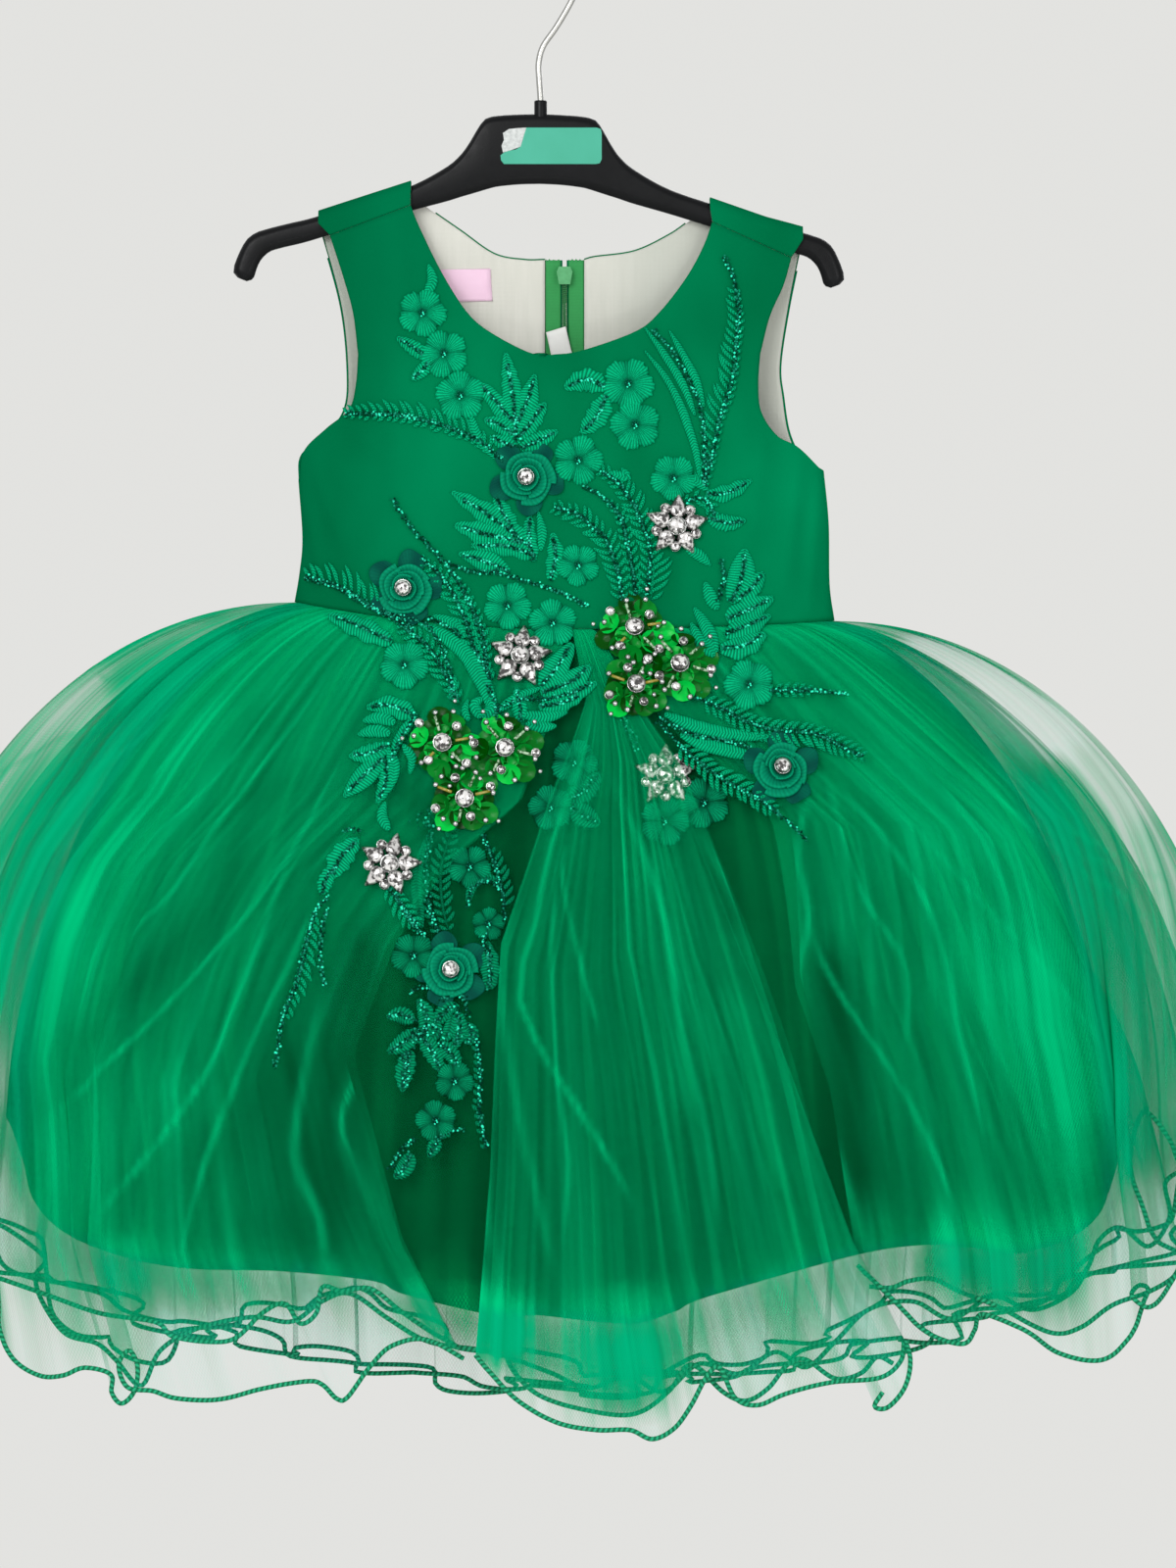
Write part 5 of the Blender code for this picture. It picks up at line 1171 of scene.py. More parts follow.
# Name, layer, edges, hem and finish, then waves, seed, columns, rows and depth, the rest, and the node
INNER = dict(cloth=INNER_CLOTH, sides=0.6, folds=0.8, streaky=0.8)
OUTER = dict(folds=1.0, sides=0.35, streaky=1.0)
PLAIN = dict(middling=0.0006, thick=0.0008)
SKIRT = (
    ("underskirt_front_satin", "underskirt", SIDE_L, SIDE_R, HEM_UNDERSKIRT, UNDERSKIRT,
     (7, 0.4, 150, 36, 0.007), PLAIN, "underskirt_front"),
    ("underskirt_back_satin", "underskirt", SIDE_L, SIDE_R, HEM_UNDERSKIRT, UNDERSKIRT,
     (4, 1.4, 110, 30, 0.004), dict(back=True, **PLAIN), "underskirt_back"),
    ("net_front_gathered", "net", SIDE_L, SIDE_R, HEM_NET, NET,
     (9, 2.1, 340, 46, 0.005), dict(cloth=NET_CLOTH, sides=0.8, folds=0.8, streaky=0.8), "net_front"),
    ("net_back_gathered", "net", SIDE_L, SIDE_R, wavy(HEM_NET, 10, 0.9, 10.0, 16.0), NET,
     (6, 0.9, 240, 36, 0.004), dict(cloth=NET_CLOTH, back=True), "net_back"),
    ("second_tulle_left", "second", SIDE_L, LEFT_INNER, HEM_LEFT_SECOND, SECOND_TULLE,
     (5, 4.1, 270, 60, 0.007), INNER, None),
    ("second_tulle_right", "second", RIGHT_INNER, SIDE_R, HEM_RIGHT_SECOND, SECOND_TULLE,
     (5, 5.3, 270, 60, 0.007), INNER, None),
    ("outer_tulle_left", "tulle", SIDE_L, LEFT_INNER, HEM_LEFT, OUTER_TULLE,
     (6, 1.7, 400, 120, 0.009), dict(rim=2.2, **OUTER), "tulle_left"),
    ("outer_tulle_right", "tulle", RIGHT_INNER, SIDE_R, HEM_RIGHT, OUTER_TULLE,
     (6, 2.9, 380, 120, 0.009), dict(rim=0.7, **OUTER), "tulle_right"),
    ("second_tulle_middle", "tulle", MIDDLE_LEFT, MIDDLE_RIGHT, HEM_MIDDLE_SECOND, SECOND_TULLE,
     (5, 6.1, 210, 60, 0.005), dict(cloth=MIDDLE_CLOTH, lift=0.006, folds=0.8, streaky=1.0), None),
    ("outer_tulle_middle", "tulle", MIDDLE_LEFT, MIDDLE_RIGHT, HEM_MIDDLE, OUTER_TULLE,
     (5, 0.3, 290, 116, 0.007), dict(cloth=MIDDLE_CLOTH, lift=0.014, folds=1.0, streaky=1.2), "tulle_middle"),
    ("second_tulle_back", "second", SIDE_L, SIDE_R, wavy(HEM_BACK, 12, 2.2, 10.0, 18.0), SECOND_TULLE,
     (11, 2.2, 260, 36, 0.005), dict(cloth=INNER_CLOTH, back=True, least=1.0), None),
    ("outer_tulle_back", "tulle", SIDE_L, SIDE_R, wavy(HEM_BACK, 10, 0.7), OUTER_TULLE,
     (10, 0.7, 320, 44, 0.008), dict(back=True, least=1.0), "tulle_back"),
)
skirt, skirt_grids = {}, {}
for name, layer, left, right, hem, finish, numbers, values, node in SKIRT:
    skirt[name], skirt_grids[name] = gathered(name, layer, left, right, hem, finish, *numbers, **values)
    if node:
        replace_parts(skirt[name], node)
    print(name, round(area_of(skirt[name]), 3), "square metres", len(skirt[name].data.polygons), "faces")

# %% [markdown]
# ## Hem cords
# Each tulle hem is rolled over a thin twisted cord, which makes it stand in loops. The cord follows
# the last row of its sheet, just below it, so the path is read from the sheet itself.

# %% Cords along the hems
CORD_RADIUS = 0.0013
HEMS = [("of_" + side, f"outer_tulle_{side}", side) for side in ("left", "middle", "right", "back")]
HEMS += [("of_net_" + side, f"net_{side}_gathered", "net_" + side) for side in ("front", "back")]
HEMS += [("second_" + side, f"second_tulle_{side}", None) for side in ("left", "right", "middle", "back")]
for name, sheet_name, node in HEMS:
    last, before = skirt_grids[sheet_name][-1], skirt_grids[sheet_name][-2]
    line = last + unit(last - before) * CORD_RADIUS * 0.6
    cord = tube("hem_cord_" + name, line, CORD_RADIUS, 7, CORD)
    if node:
        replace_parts(cord, "hem_cord_" + node)
print(len(HEMS), "hem cords")

# %% [markdown]
# ## The face that ornaments are sewn on
# Embroidery follows the cloth below it but doesn't sink into each small fold. So the cloth is felt
# from the front at many places, the highest points nearby are kept, and the result is smoothed.


# %% Feeling the cloth
NEAR = (-1, 0, 1)


def shifted(field, rows, columns):
    return np.roll(field, (rows, columns), (0, 1))


class Ground:
    """Depth of the cloth seen from the front, on a fine grid, slightly smoothed."""

    STEP = 3.0

    def __init__(self, pieces, beneath, box):
        self.u0, self.v0, u1, v1 = box
        us, vs = np.arange(self.u0, u1, self.STEP), np.arange(self.v0, v1, self.STEP)
        points, faces = [], []
        for piece in pieces:
            start = len(points)
            points += [v.co[:] for v in piece.data.vertices]
            faces += [[start + i for i in p.vertices] for p in piece.data.polygons]
        cloth = BVHTree.FromPolygons(points, faces)
        depth = np.empty((len(vs), len(us)))
        for j, v in enumerate(vs):
            for i, u in enumerate(us):
                hit = cloth.ray_cast(Vector((float(x_of(u)), -1.0, float(z_of(v)))), Vector((0, 1, 0)))[0]
                depth[j, i] = hit.y if hit is not None else beneath(u, v)
        low = np.min([shifted(depth, a, b) for a in NEAR for b in NEAR], axis=0)
        for _ in range(2):
            low = sum(shifted(low, a, b) for a, b in ((0, 0), (1, 0), (-1, 0), (0, 1), (0, -1))) / 5
        self.depth = low
        dz, dx = np.gradient(low, self.STEP * PIXEL)
        slope = np.stack([np.clip(dx, -0.7, 0.7), -np.ones_like(dx), np.clip(-dz, -0.7, 0.7)], -1)
        for _ in range(3):
            slope = sum(shifted(slope, a, b) for a in NEAR for b in NEAR) / 9
        self.slope = unit(slope)

    def sample(self, field, u, v):
        i = np.clip((u - self.u0) / self.STEP, 0, field.shape[1] - 1.001)
        j = np.clip((v - self.v0) / self.STEP, 0, field.shape[0] - 1.001)
        a, b = i.astype(int), j.astype(int)
        fi, fj = i - a, j - b
        if field.ndim == 3:
            fi, fj = fi[..., None], fj[..., None]
        return mix(mix(field[b, a], field[b, a + 1], fi), mix(field[b + 1, a], field[b + 1, a + 1], fi), fj)

    def lay(self, u, v, height):
        """Points at a height above the cloth."""
        u, v, height = np.broadcast_arrays(*(np.asarray(k, float) for k in (u, v, height)))
        at = np.stack([x_of(u), self.sample(self.depth, u, v), z_of(v)], -1)
        return at + self.sample(self.slope, u, v) * height[..., None]


def beneath_tulle(u, v):
    if v < 640:
        return float(-body_depth(np.float64(u), np.float64(v), False) - SEAM)
    x, z = float(x_of(u)), float(z_of(v))
    layer, s, q = LAYERS["tulle"], 0.0, 0.0
    for _ in range(4):
        q = max(float(waist_z(np.float64(s))) - z, 0.0)
        s = min(max((x - WAIST_X) / float(spread(layer, q)), -1), 1)
    return float(form(layer, np.float64(s), np.float64(q))[1])


front_ground = Ground([bodice_front, *(skirt["outer_tulle_" + side] for side in ("left", "middle", "right"))],
                      beneath_tulle, (255, 195, 925, 1215))
gap_ground = Ground([skirt["net_front_gathered"]], lambda u, v: -0.06, (380, 700, 800, 1240))
print("the cloth has been felt at", front_ground.depth.size + gap_ground.depth.size, "places")

# %% [markdown]
# ## Embroidery
# Machine embroidery is satin stitch: threads laid side by side over a narrow shape, so each petal
# or leaf is a small dome with fine lines across it. Flowers have five petals with the stitches
# running out from the middle. Ferns are rows of narrow leaves on a stem. Each shape is a little
# grid, raised in the middle and let down to the cloth at its edge, and its own coordinates count
# the stitches, which the thread's finish then draws.

# %% Stitched shapes
GOLDEN = 2.39996
# Painted glints: how bright each bead of a run is painted, 1 for bright mint.
GLINTS = (1.0, 0.05, 0.2, 0.0, 0.6, 0.05, 0.3, 0.0, 0.1)


def sideways(ahead):
    return np.stack([-ahead[..., 1], ahead[..., 0]], -1)


class Stitching:
    """Collects stitched shapes for one ground and makes one piece of them."""

    def __init__(self, ground):
        self.ground, self.points, self.faces, self.uv, self.tone, self.count = ground, [], [], [], [], 0
        self.beads = []

    def grid(self, u, v, height, stitch, across, tone=0.0):
        u, v, height, stitch, across, tone = np.broadcast_arrays(u, v, height, stitch, across, tone)
        self.points.append(self.ground.lay(u, v, height).reshape(-1, 3))
        self.uv.append(np.stack([stitch, across], -1).reshape(-1, 2))
        self.tone.append(np.clip(tone, 0, 1).reshape(-1))
        self.faces.append(quads(*u.shape, self.count))
        self.count += u.size

    def bead(self, u, v, angle, far, high, size, bright):
        self.beads.append((u + far * math.cos(angle), v + far * math.sin(angle), high, size, bright))

    def flower(self, u, v, r, turn, tone=0.0):
        """Five petals with the stitches running out, and a knot of beads in the middle."""
        angle = np.linspace(0, 2 * np.pi, 61)[None, :]
        rho = np.array((0.05, 0.14, 0.28, 0.48, 0.70, 0.87, 0.96, 1.0))[:, None]
        lobe = np.abs(np.cos(2.5 * (angle - math.radians(turn)))) ** 0.6
        reach = r * (0.80 + 0.20 * lobe + 0.030 * np.sin(17 * angle + u) + 0.035 * np.sin(27 * angle + v)) * rho
        dome = 0.0007 + 0.0017 * np.sin(np.pi * rho**1.1) * (0.65 + 0.35 * lobe) + 0.0006 * rho
        # Painted shade: the tone is darker in the notches between the petals and in the middle.
        notch = (1 - lobe) ** 1.5 * 0.75 * np.sqrt(rho)
        dark = notch + 0.95 * np.exp(-((rho / 0.21) ** 2)) + 0.14 * np.sin(2.5 * angle + v) * rho
        self.grid(u + reach * np.cos(angle), v + reach * np.sin(angle), np.where(rho >= 1.0, 0.0001, dome),
                  angle / (2 * np.pi) * 44, rho + 2, tone + dark)
        # Beads of the knot, every third one painted bright as a painted glint.
        for k in range(8):
            self.bead(u, v, 2.4 * k, 0.7 + 0.5 * k, 0.0017, 2.6, 1.0 if k % 3 == 0 else 0.1)

    def blade(self, points, width, tone=0.0, steps=14, high=0.0018, rib=0.55, full=0.8, rough=0.06):
        """One narrow shape in satin stitch, with a groove along its middle."""
        line = curve(points, steps)
        side = sideways(unit(np.gradient(line, axis=0)))
        t = np.linspace(0, 1, steps + 1)[:, None]
        run = t * steps_of(line).sum()
        a = np.array((-1.0, -0.86, -0.45, 0.0, 0.45, 0.86, 1.0))[None, :]
        half = width / 2 * np.sin(np.pi * np.clip(t, 0.02, 0.98) ** full) ** 0.55
        ragged = 1 + rough * np.sin(run * 1.9 + a * 3 + width)
        place = line[:, None] + side[:, None] * (half * a * ragged)[..., None]
        rise = high * (1 - a * a) ** 0.45 * np.sin(np.pi * np.clip(t, 0.04, 0.96)) ** 0.4
        rise = rise - 0.0009 * rib * np.exp(-((a / 0.28) ** 2))
        # Painted shade: the tone is darker in the groove along the middle and at the edges, where the shape drops to
        # the cloth.
        dark = 0.7 * rib * np.exp(-((a / 0.30) ** 2)) + 0.25 * (np.abs(a) > 0.95) + 0.05 * np.sin(7 * t + width)
        self.grid(place[..., 0], place[..., 1], 0.0002 + np.maximum(rise, 0), run / 3.0 + np.abs(a) * 0.9, a,
                  tone + dark)

    def leaf(self, points, width, tone=0.0, strewn=1.9):
        """A blade with a line of beads on its middle."""
        self.blade(points, width * 1.3, tone, 18, rough=0.13)
        self.bead_line((mix(points[0], points[1], 0.1), points[1], mix(points[1], points[2], 0.72)), strewn)

    def bead_line(self, points, strewn, thick=1.0):
        """A run of sequins and beads, two abreast."""
        line = curve(points, max(int(steps_of(points).sum() / 3.2), 3))
        for k, (u, v) in enumerate(line):
            for n in range(3):
                far = strewn * (0.25 + 1.0 * ((k * 7 + n * 5) % 11) / 11)
                bright = GLINTS[int(k * 5 + n * 4 + 3 * math.sin(0.7 * k + u)) % 9]
                size = thick * (2.5 + 1.4 * ((k * 5 + n * 3) % 7) / 7)
                self.bead(u, v, GOLDEN * (k * 3 + n) + u, far, 0.0019, size, bright)

    def fern(self, left, right, beads, start, stop, *points, tone=0.0):
        """A stem with slanted leaflets on both sides, so long on the left and the right of its way."""
        points = pairs(points)
        count = max(int(steps_of(points).sum() / 7.6), 3)
        line = curve(points, count)
        ahead = unit(np.gradient(line, axis=0))
        for k in range(count + 1):
            t = k / count
            if not start <= t <= stop:
                continue
            full = math.sin(math.pi * (0.16 + 0.78 * (t - start) / (stop - start))) ** 0.5
            for reach, sign in ((left, 1), (right, -1)):
                if not reach:
                    continue
                side = -sideways(ahead[k]) * sign
                long = 1.25 * reach * full * (1 + 0.16 * math.sin(5 * k + sign + line[k][0]))
                base = line[k] + side * 0.8
                tip = base + (ahead[k] * (0.66 + 0.10 * math.sin(3 * k)) + side * 0.74) * long
                bend = (base + tip) / 2 + side * long * 0.10
                self.blade((base, bend, tip), 4.7 * (0.65 + 0.35 * full), tone, 5, high=0.0015, rib=0.1, full=0.9)
        self.blade(points, 3.0, tone + 0.3, 20, high=0.0017, rib=0.0)
        if beads:
            self.bead_line(points, beads)

    def make(self, name, finish):
        return build(name, np.vstack(self.points), np.vstack(self.faces)[:, ::-1], finish,
                     uv=np.vstack(self.uv), values={"tone": np.concatenate(self.tone)})

    def finish(self, name, nodes):
        made = self.make(name, THREAD)
        mend(made, bmesh.ops.remove_doubles, "verts", dist=1e-6)
        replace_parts(made, *("applique_" + node for node in nodes.split()))
        print(name, len(made.data.polygons), "faces,", len(self.beads), "beads")


# %% Embroidery on the bodice and the tulle
front = Stitching(front_ground)
# Middle, size and turn of each flower
for spot in rows_of("""
431 319 25 6
453 361 25 30
470 404 26 50
641 392 27 10
648 434 26 40
687 488 24 20
590 470 26 0
590 577 22 24
518 618 25 12
564 636 25 48
413 679 25 15
764 699 26 33
"""):
    front.flower(*spot)
# Leaflets on the left and the right, spread of the beads, where the leaflets start and stop, and the stem
for row in rows_of("""
8 15 2.4 0.05 1 512 468 478 444 415 425 354 422
17 6 2.4 0 0.86 718 495 727 461 734 427 747 386 751 350 754 316 748 282 739 262
15 12 2.2 0 1 634 611 631 586 619 552 605 538 587 524 567 518
7 9 2.2 0 0.8 648 607 646 586 640 556 633 528 614 507 596 498
13 14 2.2 0 1 660 606 663 562 657 540 648 518 631 494 615 482
0 17 0 0 1 664 612 666 590 668 570
13 7 2.6 0 0.5 498 688 491 645 470 596 448 568 420 538 401 510
13 9 1.8 0 1 501 693 484 662 474 630 455 594 431 570
3 20 2.4 0.1 1 421 642 392 626 373 614 346 598 314 588
12 10 2.2 0 0.8 467 713 453 686 436 660 407 637 392 623
8 7 2.2 0 0.55 784 705 824 706 862 709
13 13 2.2 0.08 1 706 712 731 722 764 738 796 746 831 750 862 764 878 771
13 12 2.4 0 0.72 694 764 715 780 739 797 768 813 796 833 821 856
12 3 2.6 0.1 0.72 336 915 323 932 315 962 306 1000 292 1034 288 1060 283 1086
10 12 1.8 0 1 398 906 410 922 426 943
9 10 1.6 0 1 700 512 712 508 722 512 728 524
"""):
    front.fern(*row)
# Width of each leaf or blade, and its line
for width, *points in rows_of("""
12 438 366 424 356 405 344
11 440 368 431 378 420 388
17 527 454 524 410 516 360
16 527 434 538 410 546 382
15 529 448 543 430 557 411
14 531 458 550 450 569 440
15 524 432 508 412 488 391
13 524 444 510 434 494 428
12 527 456 514 452 501 446
18 618 396 598 388 576 396
18 618 404 610 424 593 443
13 720 505 742 503 767 490
13 722 529 742 534 761 531
18 545 562 505 530 461 502
15 527 546 514 525 506 504
19 535 554 500 546 464 536
16 548 567 515 557 481 557
12 545 573 540 548 541 525
14 562 592 567 568 564 544
16 520 584 493 572 468 565
17 400 656 368 641 335 628
20 552 702 568 682 584 657
20 552 708 580 698 603 680
17 554 715 584 708 609 697
13 550 722 574 718 596 710
12 532 737 530 718 527 702
16 424 731 400 721 375 722
15 398 761 380 769 357 772
15 393 773 375 790 352 813
12 395 778 395 798 386 820
20 745 615 756 590 760 560
19 741 632 764 622 789 610
16 739 649 762 640 786 628
18 735 663 758 660 781 647
16 753 612 766 600 779 584
19 340 893 350 874 367 855
12 330 912 336 894 348 879
"""):
    front.leaf(pairs(points), width)
for width, *points in rows_of("""
11 434 301 441 286 437 269
10 480 424 490 450 506 469
9 715 492 710 461 697 421 681 388 658 358
9 709 424 696 391 676 359 658 334
9 718 415 710 388 698 364 683 337
10 552 562 553 542 549 522
18 506 731 494 698 479 671 455 650 427 636
12 475 651 464 638 442 628
10 467 718 462 704 465 690
13 533 730 556 732 579 727
12 537 739 552 742 568 741
10 508 726 528 712 552 702
8 479 736 475 726 478 714
13 404 738 388 733 371 736
13 399 749 383 746 366 750
12 398 764 403 785 399 807
10 412 760 421 774 419 790
10 426 729 409 752 398 780
11 398 847 391 833 394 818
14 732 622 725 609 719 594
14 731 666 721 641 708 620
13 729 670 715 656 705 636
14 678 729 713 743 753 751 789 752
15 694 750 723 761 764 771 776 772
12 700 560 712 566 725 577
11 700 486 710 491 723 501
12 491 733 485 720 493 712
12 493 733 502 722 496 711
10 621 483 640 487 634 478
"""):
    front.blade(pairs(points), width, rib=0.15)
for points in rows_of("""
667 338 686 359 701 386 713 413 718 447 718 493
455 574 480 583 508 584
508 584 533 592 557 599 580 608 598 618
436 631 455 640 470 650
314 590 346 600 373 617 392 626 436 640 458 681 462 712
733 611 738 592 736 573
672 733 696 746 715 752 733 755 764 763
670 738 682 751 696 765
353 849 360 846 367 848
336 928 332 944 329 976 333 1004
405 912 420 940 434 954
508 724 530 715 556 715
498 700 505 716 507 734
425 731 408 758 400 776
"""):
    front.bead_line(pairs(points), 2.4)
front.finish("embroidery_front", """left_strap left_chest neck right_strap chest waist side_leaf left_waist
             right_waist middle_fan right_spray right_fern left_trail""")

# %% Embroidery on the net, in the gap
gap = Stitching(gap_ground)
# Painted shade: all the embroidery in the gap gets a darker tone, as it lies in shade under the tulle.
for spot in rows_of("""
586 778 24 8
562 824 23 40
678 838 25 0
718 819 26 30
480 884 22 12
423 974 23 20
465 1101 20 10
446 1141 21 44
499 942 17 60
"""):
    gap.flower(*spot, tone=0.45)
# Painted shade for the leaves, blades and ferns in the gap.
GAP_PAINTED_SHADE = 0.42
for width, *points in rows_of("""
18 582 816 597 806 612 789
18 583 823 597 833 612 841
15 428 1050 414 1062 397 1072
15 420 1070 414 1092 412 1112
15 431 1055 443 1072 451 1092
14 436 1054 436 1034 428 1018
12 478 1064 482 1052 478 1042
15 500 1008 501 985 498 960
14 421 1174 415 1188 404 1199
11 448 1158 444 1168 439 1178
13 424 1040 410 1034 396 1036
13 446 1042 458 1028 470 1026
13 448 1062 462 1074 470 1090
12 468 1030 470 1050 464 1070
"""):
    gap.leaf(pairs(points), width, GAP_PAINTED_SHADE, 3.0)
for width, *points in rows_of("""
12 431 946 426 900 434 857
11 478 920 483 903 493 895 504 897 512 904
12 440 1060 447 1050 445 1038
13 452 1062 459 1050 462 1034
"""):
    gap.blade(pairs(points), width, GAP_PAINTED_SHADE)
for row in rows_of("""
10 11 0 0 1 458 948 452 920 451 885 462 846
0 12 2.4 0.1 0.8 515 938 514 915 505 882 493 850
6 0 2.4 0 1 497 1168 490 1126 491 1090 486 1054
7 0 2.6 0 1 447 950 438 920 436 880 441 850
"""):
    gap.fern(*row, tone=GAP_PAINTED_SHADE)
# How widely the beads are strewn, how large they are, and the line
for strewn, thick, *points in rows_of("""
2.2 1 421 1012 430 1007 441 1007
7 1.15 426 842 434 832 443 840 436 846
2.2 1 452 1157 462 1152 473 1150
2.2 1 478 925 483 905 500 899 512 908
2.2 1 500 975 494 960 500 948
5 1 424 1062 440 1046 456 1058
3.4 1 412 1075 418 1092 414 1106
2.6 1 400 1188 412 1170 426 1160
3 1 450 1020 462 1012 474 1016 478 1034
4 1 630 720 640 742 650 765
"""):
    gap.bead_line(pairs(points), strewn, thick)
gap.finish("embroidery_gap", "under_tulle_left under_tulle_middle under_tulle_right gap_top gap_middle gap_bottom")

# %% [markdown]
# ## Beads, sequins and stones
# There are thousands of small hard pieces, of a few kinds. Each kind is modelled once with
# operators, from a primitive that is cut and shaped, and then copied to its places into one mesh.
# Each copy is turned a little differently, so that the small lamps make sequins glint one by one,
# and some copies are also painted bright, as painted glints.

# %% Finishes of the small hard pieces
f = Finish("sequins and seed beads", (0.01, 0.2, 0.1), 0.16, Specular_IOR_Level=0.02)
# Painted glints: the value tone turns a bead from dark green to bright mint.
f.colour(f.value("tone"), (0.0002, 0.034, 0.016), (0.035, 0.92, 0.56))
f.feed("Roughness", 0.28 - f.value("tone") * 0.16)
SEQUIN = f.made

f = Finish("cut clear stones", (0.8, 0.78, 0.76), 0.1, Metallic=0.5, Coat_Weight=0.35, Coat_Roughness=0.03)
# Painted reflections: coarse noise paints the stones' facets light and dark, and each copy's tone sets how bright
# they are painted.
painted_facet_reflections = f.noise(f.place(), 480.0, 1.0).between(0.42, 0.56)
f.colour(painted_facet_reflections * (f.value("tone") * 0.6 + 0.4), (0.085, 0.080, 0.076), (0.94, 0.91, 0.88))
STONE = f.made

f = Finish("silver settings", (0.6, 0.58, 0.56), 0.22, Metallic=1.0)
# Mottled between dark and bright silver by noise; each copy's tone sets how much bright silver shows.
silver_mottle = f.noise(f.place(), 500.0) * (f.value("tone") * 1.2 + 0.15)
f.colour(silver_mottle, (0.10, 0.105, 0.10), (0.80, 0.81, 0.79))
f.feed("Roughness", f.noise(f.place(), 700.0) * 0.25 + 0.12)
SILVER = f.made

f = Finish("cup sequins", (0.005, 0.16, 0.01), 0.2, Specular_IOR_Level=0.08)
# Painted glints: the value tone turns a cup from dark green to bright green.
f.colour(f.value("tone"), (0.0004, 0.062, 0.0006), (0.001, 0.56, 0.060))
CUP = f.made

f = Finish("bugle beads", (0.3, 0.28, 0.1), 0.15, Specular_IOR_Level=0.6, Coat_Weight=0.2, Coat_Roughness=0.04)
# Painted reflections: noise paints the cut faces of the green glass light and dark. Tone is low on the gold bugles
# and high on the green ones.
cut = f.noise(f.place(), 700.0, 1.0).between(0.40, 0.60)
f.colour(f.value("tone"), (0.32, 0.25, 0.015), f.blend(cut, (0.010, 0.085, 0.006), (0.42, 0.62, 0.40)))
BUGLE = f.made
print("finishes of sequins, stones, settings, cups and bugles are ready")

# %% Models of the small hard pieces
foot_of = lambda at, normal: normal.z < -0.9


def as_model(made):
    """The shape of an object as arrays of points and triangles. The object is then put away."""
    pick(made)
    bpy.ops.object.transform_apply(location=True, rotation=True, scale=True)
    edit(made, everything, bpy.ops.mesh.normals_make_consistent, inside=False)
    edit(made, everything, bpy.ops.mesh.quads_convert_to_tris)
    points = np.array([v.co[:] for v in made.data.vertices])
    faces = np.array([p.vertices[:] for p in made.data.polygons])
    bpy.data.objects.remove(made)
    return points, faces


def round_stone():
    """A brilliant: a girdle, a crown that steps in to a flat table, and a blunt point below."""
    made = fresh(cylinder, vertices=10, radius=1.0, depth=0.3)
    edit(made, top_of, inset, thickness=0.2)
    edit(made, lambda at, n: n.z > 0.9 and at.length < 0.2, move, value=(0, 0, 0.22))
    edit(made, lambda at, n: n.z > 0.9 and at.z > 0.3, inset, thickness=0.22)
    edit(made, lambda at, n: n.z > 0.9 and at.xy.length < 0.2, move, value=(0, 0, 0.16))
    edit(made, foot_of, resize, value=(0.5, 0.5, 1.0))
    return made


def drop_stone():
    """The same cut, drawn out to a point on one side."""
    made = round_stone()
    for v in made.data.vertices:
        reach = max(v.co.x, 0.0) ** 2
        v.co.x += reach
        v.co.y *= 1.0 - 0.85 * reach
    return made


def claw_setting():
    """A short collet with four claws standing up round the stone."""
    made = fresh(cylinder, vertices=12, radius=1.12, depth=0.55)
    edit(made, top_of, inset, thickness=0.18)
    edit(made, lambda at, n: n.z > 0.9 and at.length < 0.5, move, value=(0, 0, -0.3))
    edit(made, lambda at, n: n.z > 0.9 and at.z > 0.2 and abs(math.sin(2 * math.atan2(at.y, at.x))) > 0.8,
         extrude, TRANSFORM_OT_translate={"value": (0, 0, 0.28)})
    return made


def seed_bead():
    """A small bead, flattened on the thread's axis."""
    made = fresh(bpy.ops.mesh.primitive_ico_sphere_add, subdivisions=1, radius=1.0)
    edit(made, everything, resize, value=(1.0, 1.0, 0.62))
    edit(made, lambda at, n: n.z > 0.7, resize, value=(0.7, 0.7, 0.8))
    return made


def cup():
    """A cupped sequin: a flat middle and a rim of facets turned up."""
    made = fresh(circle, vertices=12, radius=1.0, fill_type="NGON")
    edit(made, everything, inset, thickness=0.5)
    edit(made, lambda at, n: at.xy.length < 0.1, move, value=(0, 0, -0.30))
    edit(made, lambda at, n: at.xy.length < 0.1, inset, thickness=0.3)
    edit(made, everything, resize, value=(1.0, 0.94, 1.0))
    return made


def bugle():
    """A short glass tube along X with its ends bevelled."""
    made = fresh(cylinder, vertices=7, radius=1.0, depth=2.0, rotation=(0, math.pi / 2, 0))
    bpy.ops.object.transform_apply(rotation=True)
    edit(made, lambda at, n: abs(n.x) > 0.9, inset, thickness=0.3)
    edit(made, lambda at, n: n.x > 0.9, move, value=(0.12, 0, 0))
    return made


MODELS = {f.__name__: as_model(f()) for f in (round_stone, drop_stone, claw_setting, seed_bead, cup, bugle)}
print({key: len(value[1]) for key, value in MODELS.items()}, "faces each")


# %% Copies into one mesh
def turned(angle, axis):
    return np.array(Matrix.Rotation(angle, 3, axis))


def tilt(angle, way):
    """Rotation that leans a piece by an angle towards a way round."""
    return turned(way, "Z") @ turned(angle, "Y") @ turned(-way, "Z")


def frame_at(ground, u, v, height):
    """Place on the cloth, and the axes there: right, down on the sheet turned up, and off the cloth."""
    at = ground.lay(u, v, height)
    normal = ground.sample(ground.slope, np.asarray(u, float), np.asarray(v, float))
    right = unit(np.array((1.0, 0.0, 0.0)) - normal * normal[..., :1])
    return at, np.stack([right, np.cross(normal, right), normal], -1)


def around(ground, u, v, far, angle, height):
    """The same at a place so far from a middle."""
    return frame_at(ground, u + far * math.cos(angle), v - far * math.sin(angle), height)


